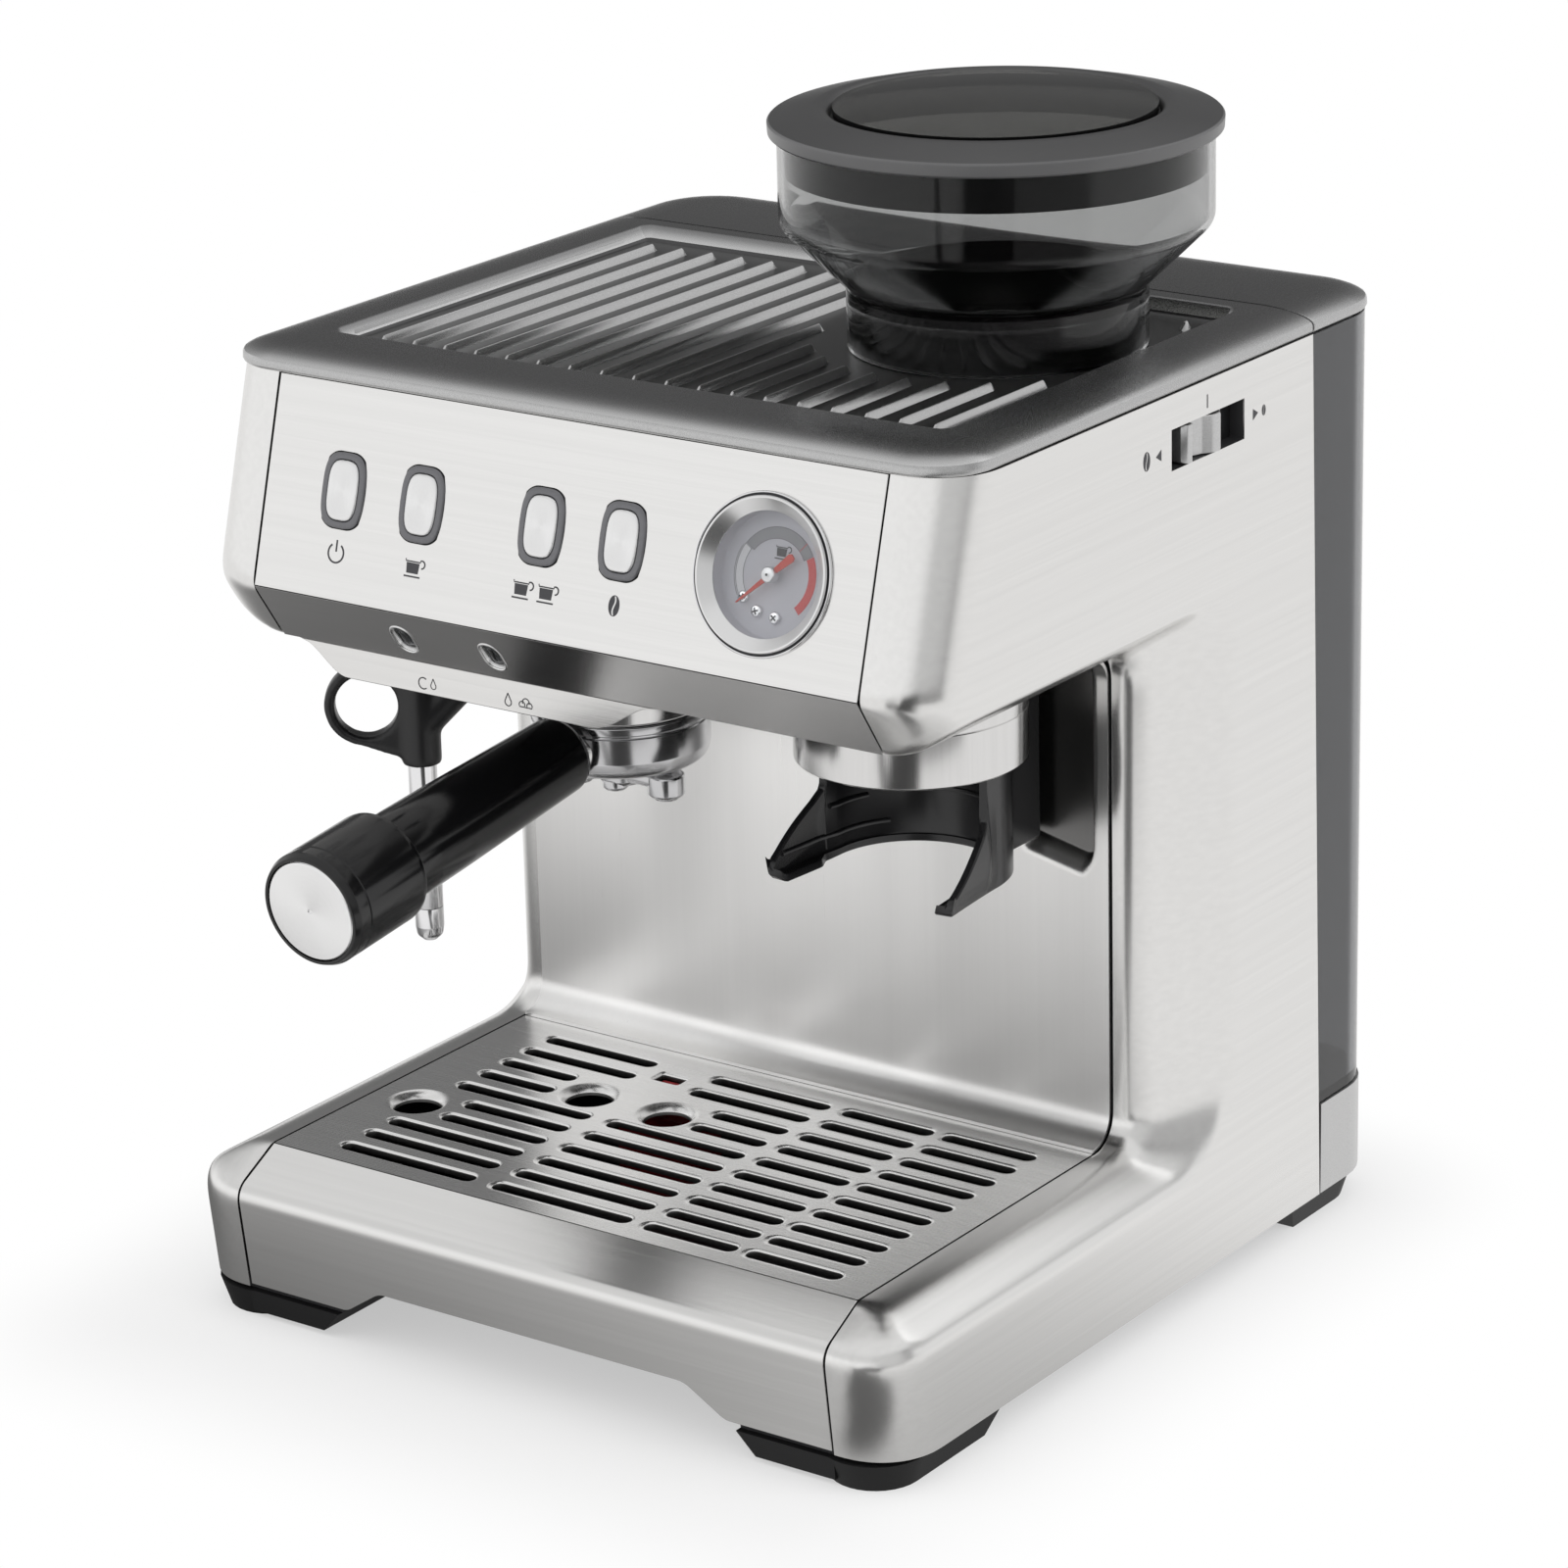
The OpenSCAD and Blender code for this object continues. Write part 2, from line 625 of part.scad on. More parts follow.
module top_cover() {
    rim = inner_half + 5.5;
    rim_y0 = panel_top_y + 25.5;
    rim_y1 = cover_seam_y - 4;
    pocket = cover_z + cover_h - recess_floor_z;
    color("#4a4a4c") {
        difference() {
            skin([for (s = crown_steps) cover_ring(s[0], s[1])]);
            skin([for (s = [[0, 5, 4], [0.3, 2.2, 6], [0.75, 0.6, 7.6], [1.3, 0, 8.2]])
                lifted(deck(rim - s[1], rim_y0 + s[1], rim_y1 - s[1], s[2], s[2]), recess_floor_z + pocket * s[0])]);
            at_hopper() translate([0, 0, cover_z - over]) cylinder(h = 30, r = throat_r + 2.4);
        }
        for (i = [0 : rib_count - 1]) {
            x = (i - (rib_count - 1) / 2) * rib_pitch - 4.5;
            off = abs(x - hopper_x);
            chord = off < rib_clear ? sqrt(rib_clear * rib_clear - off * off) : 0;
            rib(x, rib_y0, chord > 0 ? hopper_y - chord : rib_y1);
            if (chord > 0) rib(x, hopper_y + chord, rib_y1);
        }
    }
}

// ---------- water tank ----------

tank_foot_z = base_z + tank_base_h;
tank_half = body_w / 2 - 0.8;

// Plan of the tank at a height, between the casings' seam and the back.
function tank_ring(z, inset) =
    lifted(deck(tank_half - inset, rear_y(z) + seam + inset, body_d - inset, 0, rear_corner_r - inset), z);

module water_tank() {
    z1 = top_z - seat;
    color("#5c6066", 0.55) difference() {
        skin([tank_ring(tank_foot_z + seat, 0), tank_ring(z1, 0)]);
        skin([tank_ring(tank_foot_z + seat + tank_wall + 0.5, tank_wall), tank_ring(z1 + over, tank_wall)]);
        translate([0, valve_y, tank_foot_z - over]) cylinder(h = 4 * over, r = 8);
    }
}

valve_y = (rear_y(tank_foot_z) + body_d) / 2;

module tank_valve() {
    z0 = tank_foot_z + seat;
    color("#202022") translate([0, valve_y, 0]) difference() {
        union() {
            translate([0, 0, z0 - 7]) cylinder(h = 20, r = 7.7);
            translate([0, 0, z0 + tank_wall + 0.5]) cylinder(h = 3, r = 11);
        }
        translate([0, 0, z0 - 8]) cylinder(h = 24, r = 3);
    }
}

module tank_base() {
    y0 = rear_y(base_z) + seam;
    color("#cfcfcf") difference() {
        translate([0, 0, base_z]) linear_extrude(tank_base_h) deck_outline(body_w / 2, y0, body_d, 0, rear_corner_r);
        translate([0, 0, base_z - over]) linear_extrude(tank_base_h + over - tank_wall)
            deck_outline(body_w / 2 - tank_wall, y0 - over, body_d - tank_wall, 0, rear_corner_r - tank_wall);
        translate([0, valve_y, base_z]) cylinder(h = tank_base_h + over, r = 8.2);
        translate([-gland_x, body_d - 2 * over, gland_z]) rotate([-90, 0, 0]) cylinder(h = 4 * over, r = 6.2);
    }
}

gland_x = -92;
gland_z = base_z + 16;

// Ring where the mains lead would enter.
module cord_gland() {
    color("#1c1c1e") translate([-gland_x, body_d - tank_wall, gland_z]) rotate([-90, 0, 0]) difference() {
        union() {
            translate([0, 0, -3]) cylinder(h = 3 + tank_wall - 0.2, r = 6);
            translate([0, 0, -3]) cylinder(h = 3 - seat, r = 8.5);
        }
        translate([0, 0, -4]) cylinder(h = 10, r = 3.6);
    }
}

function lid_ring(share, inset) =
    lifted(deck(body_w / 2 - inset, cover_seam_y + seam / 2, body_d - inset, 0, max(rear_corner_r - inset, 4)), cover_z + cover_h * share);

module tank_lid() {
    locate = tank_wall + 0.5;
    y0 = rear_y(top_z) + seam + locate;
    color("#4a4a4c") {
        skin([for (s = crown_steps) lid_ring(s[0], s[1])]);
        translate([0, 0, cover_z - 3]) linear_extrude(3.1) difference() {
            deck_outline(tank_half - locate, y0, body_d - locate, 0, rear_corner_r - locate);
            deck_outline(tank_half - locate - 2, y0 + 2, body_d - locate - 2, 0, rear_corner_r - locate - 2);
        }
    }
}

// ---------- drip tray ----------

cutout_half = 62;
cutout_rise = 10;

module tray_fascia() {
    foot_z = base_z + 1;
    color("#dcdcda") difference() {
        across(-panel_half, panel_half) difference() {
            polygon([[fascia_back, foot_z], [0, fold_z], [fold_d, tray_z], [fold_d, tray_z - 2 * sheet_t],
                     [2 * sheet_t, fold_z - sheet_t], [fascia_back + 2 * sheet_t, foot_z]]);
            polygon([[fascia_back + sheet_t, foot_z - 1], [sheet_t, fold_z - sheet_t * 0.4], [fold_d + 1, tray_z - sheet_t],
                     [fold_d + 1, tray_z - 3 * sheet_t], [3 * sheet_t, fold_z - 2 * sheet_t],
                     [fascia_back + 4 * sheet_t, foot_z - 1]]);
        }
        translate([0, fascia_back + 6, 0]) rotate([90, 0, 0]) linear_extrude(20)
            polygon([[-cutout_half - 15, foot_z - 1], [-cutout_half, foot_z + cutout_rise],
                     [cutout_half, foot_z + cutout_rise], [cutout_half + 15, foot_z - 1]]);
    }
}

// Hollow under the front of the bin where the hand takes hold, grown on all sides.
module hand_hollow(grow) {
    half = cutout_half + 4 + grow;
    z1 = base_z + cutout_rise + 0.6 + grow;
    translate([0, 21.8 + grow, 0]) rotate([90, 0, 0]) linear_extrude(30)
        polygon([[-half - 12, base_z - 1], [-half, z1], [half, z1], [half + 12, base_z - 1]]);
}

// Bin that catches the water; its floor rises over the hand's hollow at the front.
module drip_tray() {
    half = inner_half - seam - 1;
    y0 = fascia_back + 3.5;
    y1 = wall_y - bay_r - 1;
    z0 = base_z + 3 + seat;
    z1 = tray_z - sheet_t - seat;
    wall = 2.2;
    color("#1f1f22") difference() {
        union() {
            translate([-half, y0, z0]) cube([2 * half, y1 - y0, fold_z - 5 - z0]);
            translate([-half, fold_d + 1, z0]) cube([2 * half, y1 - fold_d - 1, z1 - z0]);
        }
        difference() {
            translate([-half + wall, y0 + wall, z0 + wall]) cube([2 * (half - wall), y1 - y0 - 2 * wall, tray_z]);
            hand_hollow(wall);
        }
        hand_hollow(0);
    }
}

slot_pitch = 12.4;
slot_first_y = fold_d + 12.3;
slot_w = 4.4;
// Each column of slots: left and right end, from the left edge of the grid.
slot_columns = [[20.4, 75.8], [84.1, 139.6], [145.8, 181.6], [186.1, 222]];
drain_r = 7.8;
drain_holes = [[18.5, 53.7], [64.5, 89.4], [97.2, 89.4]];
window_at = [79, 116];
window_size = [10.5, 6.5];

// True where a row and column of slots gives way to a round hole or the float's window.
function slot_ends(col, row) =
    col == 0 && (row == 3 || row == 4) ? [slot_columns[0][0] + 12.8, slot_columns[0][1]] :
    col == 0 && (row == 6 || row == 7) ? [slot_columns[0][0], slot_columns[0][0] + 30.4] :
    col == 0 && row > 7 ? [slot_columns[0][0], slot_columns[0][0] + 46.5] :
    col == 1 && (row == 6 || row == 7) ? [slot_columns[1][0] + 26, slot_columns[1][1]] :
    col == 1 && row > 7 ? [slot_columns[1][0] + 7.5, slot_columns[1][1]] : slot_columns[col];

module drip_grid() {
    y1 = wall_y - bay_r - 0.6;
    color("#d8d8d6") difference() {
        union() {
            translate([-panel_half, fold_d + seat, tray_z - sheet_t]) cube([2 * panel_half, y1 - fold_d - seat, sheet_t]);
            for (s = [-1, 1]) translate([s * (inner_half - 9) - 1, fold_d + 8, tray_z - sheet_t - 4]) cube([2, y1 - fold_d - 16, 4.1]);
        }
        for (col = [0 : 3], row = [0 : 9]) {
            ends = slot_ends(col, row);
            translate([(ends[0] + ends[1]) / 2 - inner_half, slot_first_y + row * slot_pitch, tray_z - over])
                linear_extrude(2 * over) slot_outline(ends[1] - ends[0], slot_w);
        }
        for (p = drain_holes) translate([p[0] - inner_half, fold_d + p[1], tray_z - over]) cylinder(h = 2 * over, r = drain_r);
        translate([window_at[0] - inner_half - window_size[0] / 2, fold_d + window_at[1] - window_size[1] / 2, tray_z - over])
            cube([window_size[0], window_size[1], 2 * over]);
    }
}

// Red float that rises into the grid's window when the tray is full.
module float() {
    gap = 0.8;
    z0 = base_z + 3 + 2 * seat + 2.2;
    color("#b3202a") translate([window_at[0] - inner_half, fold_d + window_at[1], 0]) {
        translate([-14.5, -11.3, z0]) cube([27, 22.5, 30.7]);
        translate([-window_size[0] / 2 + gap, -window_size[1] / 2 + gap, z0])
            cube([window_size[0] - 2 * gap, window_size[1] - 2 * gap, tray_z - 2.5 - z0]);
    }
}

// ---------- brew group ----------

ear_r = holder_r - 1.9;
holder_neck_r = holder_r - 3.6;
holder_top = collar_z + 7;
lug_z = collar_z + 3.3;

module sector(r, a0, a1) { polygon([[0, 0], for (i = [0 : 6]) r * [cos(a0 + (a1 - a0) * i / 6), sin(a0 + (a1 - a0) * i / 6)]]); }

module group_head() {
    out = holder_r + 0.3;
    color("#b9b9b6") at_group() {
        difference() {
            translate([0, 0, collar_z]) cylinder(h = head_z - seat - collar_z, r = out);
            translate([0, 0, collar_z - 1]) cylinder(h = 18, r = holder_neck_r + 0.35);
            translate([0, 0, collar_z + 3]) cylinder(h = 14, r = ear_r + 0.35);
            for (a = [20, 140, 260]) translate([0, 0, collar_z - 1]) linear_extrude(6) intersection() {
                circle(ear_r + 0.35);
                sector(60, a - 17, a + 17);
            }
        }
        translate([0, 0, collar_z + 17]) cylinder(h = head_z - collar_z - 17 + 12, r = 23.5);
    }
}

module group_gasket() {
    color("#2b2b2b") at_group() translate([0, 0, holder_top + 1.2]) difference() {
        cylinder(h = collar_z + 17 - holder_top - 1.2 - seat, r = holder_neck_r);
        translate([0, 0, -1]) cylinder(h = 30, r = basket_r + seat);
    }
}

module shower_screen() {
    z0 = collar_z + 17 - seat - 3;
    color("#c8c8c6") at_group() difference() {
        translate([0, 0, z0]) cylinder(h = 3, r = basket_r);
        for (k = [0 : 5], ring = [0 : 1]) rotate([0, 0, 60 * k + 30 * ring])
            translate([9 + 9 * ring, 0, z0 - 1]) cylinder(h = 5, r = 1.1, $fn = 16);
    }
}

// Aluminium heating block with cast ribs above the group.
module thermoblock() {
    z0 = head_z + 12 + seat;
    color("#9c9c9a") at_group() difference() {
        union() {
            translate([-38, -30, z0]) cube([76, 62, 22]);
            for (i = [0 : 5]) translate([-34 + 12.4 * i, -30, z0 + 21.9]) cube([4, 62, 6]);
        }
        for (s = [-1, 1]) translate([s * 26, -31, z0 + 9]) rotate([-90, 0, 0]) cylinder(h = 64, r = 3.5);
    }
}

module lugs(r, h) {
    for (a = [80, 200, 320]) linear_extrude(h) intersection() {
        circle(r);
        sector(60, a - 13, a + 13);
    }
}

// Length of the steel tang inside the handle, from the group's axis.
tang_len = holder_r + 22;

module portafilter() {
    r = holder_r;
    floor_z = holder_z + 3;
    color("#dadada") difference() {
        union() {
            at_group() translate([0, 0, holder_z]) rotate_extrude($fn = 128) difference() {
                union() {
                    square([r - 5, holder_top - holder_z]);
                    translate([0, 5]) square([r, collar_z - seat - holder_z - 5]);
                    square([holder_neck_r, holder_top - holder_z]);
                    translate([r - 5, 5]) circle(5);
                }
            }
            at_group() translate([0, 0, lug_z]) lugs(ear_r, 2.6);
            along_handle() cylinder(h = tang_len, r = 6.6);
            along_handle() translate([0, 0, r - 3]) cylinder(h = handle_start - r + 3 - seat, r = 8.1);
            at_group() translate([0, 0, holder_z - 0.9]) cylinder(h = 2, r = 8);
        }
        at_group() translate([0, 0, floor_z]) cylinder(h = 40, r = basket_r + 0.9);
        at_group() translate([0, 0, holder_z - 10]) cylinder(h = 20, r = 3.2);
    }
}

module filter_basket() {
    color("#cfcfcd") at_group() rotate_extrude($fn = 128) polygon([
        [0, holder_z + 5.5], [basket_r - 4, holder_z + 5.5], [basket_r - 1, holder_z + 8], [basket_r + 0.6, holder_top - 0.5],
        [basket_r + 0.6, holder_top + 0.3], [holder_neck_r, holder_top + 0.3], [holder_neck_r, holder_top + 1],
        [basket_r, holder_top + 1], [basket_r - 1.6, holder_z + 8.4], [basket_r - 4.2, holder_z + 6.3], [0, holder_z + 6.3]]);
}

spout_half = 18;

// Double spout below the holder, with a nozzle at each end.
module spouts() {
    z1 = holder_z - 0.9 - seat;
    color("#d2d2d2") at_group() difference() {
        union() {
            translate([0, 0, z1 - 7]) cylinder(h = 7, r = 8);
            translate([-spout_half, -5, z1 - 7]) cube([2 * spout_half, 10, 6]);
            for (s = [-1, 1]) {
                translate([s * spout_half, 0, z1 - 9.5]) cylinder(h = 9, r = 6.3);
                translate([s * spout_half, 0, z1 - 11]) cylinder(h = 3, r = 4);
            }
            translate([0, -4, z1 - 9.5]) cylinder(h = 4, r = 4.4);
        }
        for (s = [-1, 1]) translate([s * spout_half, 0, z1 - 15]) cylinder(h = 11, r = 3.2);
        translate([-spout_half, -2.5, z1 - 5.5]) cube([2 * spout_half, 5, 2.5]);
        translate([0, 0, z1 - 5]) cylinder(h = 10, r = 3.2);
    }
}

handle_len = group_y + handle_reach;
handle_start = holder_r + 3.4;

module handle() {
    l1 = handle_len - sleeve_len - seat;
    l0 = handle_start;
    color("#121214") along_handle() difference() {
        rotate_extrude($fn = 96) polygon([
            [0, l0], [handle_r - 3.6, l0], [handle_r - 2.4, l0 + 0.6], [handle_r - 1.8, l0 + 2.4], [handle_r - 1.7, l0 + 6],
            [handle_r - 0.3, l1 - 30], [handle_r, l1 - 12], [handle_r, l1], [0, l1]]);
        cylinder(h = tang_len + seat, r = 6.6 + seat);
    }
}

module handle_sleeve() {
    l1 = handle_len - sleeve_len;
    r = handle_r + 4.1;
    color("#0e0e10") along_handle() difference() {
        rotate_extrude($fn = 96) polygon([
            [0, l1], [r - 1.4, l1], [r - 0.5, l1 + 0.5], [r - 0.2, l1 + 1.6], [r, handle_len - 3], [r - 0.3, handle_len - 1.3],
            [r - 1.1, handle_len - 0.3], [r - 1.8, handle_len], [r - 2, handle_len], [r - 2, handle_len - 1.6], [0, handle_len - 1.6]]);
        translate([0, 0, l1 - 1]) cylinder(h = 21, r = 5);
    }
}

module handle_disc() {
    color("#e6e6e6") along_handle() translate([0, 0, handle_len - 1.3]) cylinder(h = 1.1, r = handle_r + 1.8);
}

// ---------- steam wand ----------

module at_wand() { translate([wand_x, wand_y, wand_pivot_z]) children(); }

// Ball with a clevis in which the tube's pin turns.
module wand_ball() {
    color("#c0c0c0") at_wand() difference() {
        union() {
            sphere(r = 6.2);
            rotate([0, 90, 0]) cylinder(h = 9, r = 1.6);
        }
        translate([-8, -neck_half - seat, -8]) cube([8 + neck_half + seat, 2 * (neck_half + seat), 8 + neck_half + seat]);
        rotate([90, 0, 0]) translate([0, 0, -10]) cylinder(h = 20, r = 2.05);
    }
}

neck_half = 3;

// Socket in the head that holds the ball, with the steam valve's outlet above.
module steam_valve() {
    shaft_r = 4;
    color("#b08d57") {
        at_wand() difference() {
            union() {
                translate([0, 0, -1.5]) cylinder(h = 22, r = 10);
                translate([0, 0, head_z + 3 + seat - wand_pivot_z]) cylinder(h = 3, r = 12.5);
            }
            sphere(r = 6.6);
            rotate([0, 90, 0]) cylinder(h = 12, r = 1.66);
            translate([0, 0, -3]) cylinder(h = 3, r1 = 9, r2 = 6.4);
            translate([0, 0, 0]) cylinder(h = 60, r = 2);
        }
        translate([0, 0, 0]) difference() {
            union() {
                translate([wand_x - 9, wand_y - 8, wand_pivot_z + 20]) cube([18, knob_y - wand_y + 8, 12]);
                translate([wand_x - 9, knob_y - 14, wand_pivot_z + 20]) cube([20, 28, knob_z + 14 - wand_pivot_z - 20]);
            }
            translate([-body_w / 2, knob_y, knob_z]) rotate([0, 90, 0]) cylinder(h = casing_w + 14, r = shaft_r + 0.06);
        }
    }
}

module wand_tube() {
    color("#e2e2e2") at_wand() difference() {
        union() {
            translate([0, 0, wand_tip_z + 12 - wand_pivot_z]) cylinder(h = wand_pivot_z - wand_tip_z - 12 - 7.5, r = wand_r);
            translate([0, 0, -8]) cylinder(h = 8, r = neck_half);
            rotate([90, 0, 0]) translate([0, 0, -neck_half]) cylinder(h = 2 * neck_half, r = neck_half);
            rotate([90, 0, 0]) translate([0, 0, -5.2]) cylinder(h = 10.4, r = 1.98);
        }
        translate([0, 0, wand_tip_z + 4 - wand_pivot_z]) cylinder(h = 80, r = 2);
    }
}

module wand_tip() {
    color("#d0d0d0") at_wand() translate([0, 0, wand_tip_z - wand_pivot_z]) difference() {
        rotate_extrude() polygon([[0, 0], [2.6, 0], [4.2, 1.6], [5.4, 4], [5.4, 11], [4.9, 11.7], [0, 11.7]]);
        translate([0, 0, -1]) cylinder(h = 4, r = 0.8, $fn = 16);
    }
}

loop_turn = 35.6;

// Rubber grip round the tube with a finger loop that points away from the group.
module wand_grip() {
    z0 = -48.4;
    z1 = -13;
    loop_x = -17.6;
    loop_z = z0 + 21.6;
    color("#141416") at_wand() difference() {
        union() {
            translate([0, 0, z0]) cylinder(h = z1 - z0, r = wand_r + 1.9);
            rotate([0, 0, 45]) translate([0, 0, -34]) rotate([0, 43, 0]) cylinder(h = 24, r1 = wand_r + 1.9, r2 = wand_r + 3.1);
            rotate([0, 0, loop_turn]) translate([loop_x, 4, loop_z]) rotate([90, 0, 0]) linear_extrude(8) difference() {
                union() {
                    circle(14.2);
                    polygon([[-2, -14], [6, -17], [17.6, -20.5], [17.6, 12.5], [6, 12.8]]);
                }
                circle(10.6);
            }
        }
        translate([0, 0, z0 - 1]) cylinder(h = 100, r = wand_r + 0.05);
    }
}

module steam_knob() {
    x0 = -body_w / 2 - 0.6;
    color("#b8b8b8") translate([x0, knob_y, knob_z]) rotate([0, -90, 0]) difference() {
        union() {
            rotate_extrude($fn = 96) polygon([[0, 0], [knob_r, 0], [knob_r, 2], [knob_r - 1.5, 3], [knob_r - 2.5, knob_d - 3],
                                             [knob_r - 3.5, knob_d - 1.3], [knob_r - 6, knob_d - 0.6], [0, knob_d - 0.6]]);
            translate([0, 0, -26]) cylinder(h = 27, r = 4);
        }
        for (k = [0 : 23]) rotate([0, 0, 15 * k]) translate([knob_r - 0.9, 0, 3.5]) cylinder(h = knob_d, r = 1.1, $fn = 16);
    }
}

// ---------- grinder ----------

module grinder_outlet() {
    color("#d4d4d2") at_outlet() difference() {
        translate([0, 0, outlet_z]) cylinder(h = head_z - seat - outlet_z, r = outlet_r, $fn = 128);
        translate([0, 0, outlet_z - 1]) cylinder(h = head_z - seat - 2.5 - outlet_z + 1, r = outlet_r - 1.5, $fn = 128);
        translate([0, 0, outlet_z]) cylinder(h = 60, r = 12);
    }
}

cradle_wall = 3.2;
arm_edge = [[-1, 60], [20.6, 60], [20.6, 20.5], [20.1, 18], [18.4, 15.7], [13.1, 12.6], [8.6, 9.6], [6.5, 7], [5.4, 4.4],
            [3.8, 3], [0.9, 2.6], [0.2, 1.6], [0.4, 0.4], [1, -1], [-1, -1]];

// Black guide: a round back, two arms with curved front edges and a block to the splash wall.
module grinder_cradle() {
    z1 = outlet_z - seat;
    out = cradle_r + cradle_wall;
    tip_y = -29;
    color("#19191b") at_outlet() difference() {
        union() {
            translate([0, 0, cradle_z]) linear_extrude(z1 - cradle_z) {
                difference() {
                    circle(out, $fn = 96);
                    circle(cradle_r, $fn = 96);
                    translate([-60, -60]) square([120, 60]);
                }
                for (s = [-1, 1]) translate([s * (cradle_r + cradle_wall / 2), tip_y / 2]) square([cradle_wall, -tip_y + 0.1], center = true);
            }
            translate([-block_half, cradle_r, cradle_z + 1])
                cube([2 * block_half, wall_y - seat - group_y - cradle_r, head_z - seat - cradle_z - 1]);
        }
        // front edge of both arms: upright above, hooked forward to the tip below
        across(-50, 50) polygon([for (p = arm_edge) [tip_y + p[0], cradle_z + p[1]]]);
        translate([0, 0, outlet_z - 14]) cylinder(h = 13.6, r = cradle_r + 1.2);
        translate([0, 0, outlet_z - seat]) cylinder(h = 60, r = outlet_r + seat);
        // hollow of the block, open to the splash wall
        translate([-15.5, cradle_r + cradle_wall + 3, cradle_z + 4]) cube([31, 40, head_z - cradle_z - 10]);
    }
    // ledges that carry the portafilter's ears
    color("#19191b") at_outlet() for (s = [-1, 1])
        translate([s * (cradle_r - 0.9) - 1, -14, cradle_z + 12]) cube([2, 20, 2.5]);
}

throat_r = 16;
burr_z = top_z - 34;

// Cast carrier of the burrs with the chute to the outlet.
module grinder_body() {
    z1 = cover_z - 4;
    color("#5a5a5e") difference() {
        union() {
            at_hopper() translate([0, 0, burr_z - 16]) cylinder(h = z1 - burr_z + 16, r = 33);
            hull() {
                at_hopper() translate([-13, -34, burr_z - 14]) cube([26, 10, 16]);
                at_outlet() translate([-13, -13, head_z + 3 + seat]) cube([26, 26, 6]);
            }
            translate([hopper_x - 16, hopper_y, burr_z - 16]) cube([32, 44, 10]);
        }
        at_hopper() translate([0, 0, burr_z - 2]) cylinder(h = 40, r = 27);
        at_hopper() translate([0, 0, burr_z - 8]) cylinder(h = 8, r = 21);
        at_hopper() translate([0, 0, burr_z - 30]) cylinder(h = 60, r = 4.06);
        translate([motor_x, motor_y, burr_z - 30]) cylinder(h = 60, r = 3);
    }
}

burr_teeth = 12;

// Outer burr: a conical ring with slanted cutting grooves.
module burr_ring() {
    z0 = burr_z - 2 + seat;
    color("#a8a8ac") at_hopper() difference() {
        translate([0, 0, z0]) cylinder(h = 16, r = 26.7);
        translate([0, 0, z0 - 0.01]) cylinder(h = 16.02, r1 = 18.5, r2 = 23.5);
        for (k = [0 : burr_teeth * 2 - 1]) rotate([0, 0, 15 * k])
            translate([18.6, 0, z0 - 1]) rotate([0, 17.5, 12]) cylinder(h = 20, r = 0.9, $fn = 16);
    }
}

// Inner burr: a toothed cone on its shaft, driven from below.
module burr_cone() {
    z0 = burr_z - 1;
    color("#b4b4b8") at_hopper() difference() {
        union() {
            translate([0, 0, z0]) cylinder(h = 16, r1 = 17.2, r2 = 9);
            translate([0, 0, z0 + 15.9]) cylinder(h = 4, r1 = 6, r2 = 4);
            translate([0, 0, burr_z - 26]) cylinder(h = 30, r = 4);
            translate([0, 0, burr_z - 7]) cylinder(h = 5.5, r = 18);
        }
        for (k = [0 : burr_teeth - 1]) rotate([0, 0, 30 * k])
            translate([16.8, 0, z0 + 1]) rotate([0, -27, 20]) cylinder(h = 22, r = 1.5, $fn = 16);
    }
}

motor_x = hopper_x;
motor_y = hopper_y + 36;

module grinder_motor() {
    z1 = burr_z - 16 - seat;
    color("#77777b") translate([motor_x, motor_y, 0]) {
        translate([0, 0, z1 - 84]) cylinder(h = 84, r = 22);
        translate([0, 0, z1 - 92]) cylinder(h = 8.1, r = 9);
        translate([0, 0, z1 - 0.1]) cylinder(h = 8, r = 2.4);
    }
    color("#77777b") translate([motor_x - 26, motor_y - 8, z1 - 70]) cube([52, 34 - seat, 3]);
}

hopper_z = recess_floor_z + seat;
hopper_rim = hopper_z + hopper_h;

// Smoked hopper: skirt, bowl and a funnel down to the throat.
module hopper() {
    w = 2;
    shoulder = hopper_z + 20;
    bowl_z = shoulder + (bowl_r - neck_r) * 0.97;
    color("#33363a", 0.6) at_hopper() rotate_extrude($fn = 128) polygon([
        [neck_r - w, hopper_z], [neck_r, hopper_z], [neck_r, shoulder], [bowl_r - 1, bowl_z - 1], [bowl_r, bowl_z + 1.5],
        [bowl_r, hopper_rim], [bowl_r - w, hopper_rim], [bowl_r - w, bowl_z + 2], [neck_r - 1, shoulder + 1.2],
        [throat_r + 1, hopper_z + 5], [throat_r, hopper_z + 3], [throat_r, cover_z - 3], [throat_r + w, cover_z - 3],
        [throat_r + w, hopper_z + 2], [throat_r + w + 1, hopper_z + 3.4], [neck_r - w, shoulder - 1]]);
}

lid_z = hopper_rim + seat;
window_r = lid_r * 0.717;

module hopper_lid() {
    color("#565658") at_hopper() rotate_extrude($fn = 128) polygon([
        [window_r + 0.3, lid_z + 0.6], [bowl_r - 4.6, lid_z], [bowl_r - 4.6, lid_z - 12], [bowl_r - 2.6, lid_z - 12],
        [bowl_r - 2.6, lid_z], [lid_r - 1.5, lid_z], [lid_r, lid_z + 1], [lid_r, lid_z + 3.4], [lid_r - 0.6, lid_z + 4.2],
        [lid_r - 4, lid_z + 5.6], [window_r + 6, lid_z + 8.4], [window_r + 0.3, lid_z + 9],
        [window_r + 0.3, lid_z + 5], [window_r - 2, lid_z + 4.6], [window_r - 2, lid_z + 0.6]]);
}

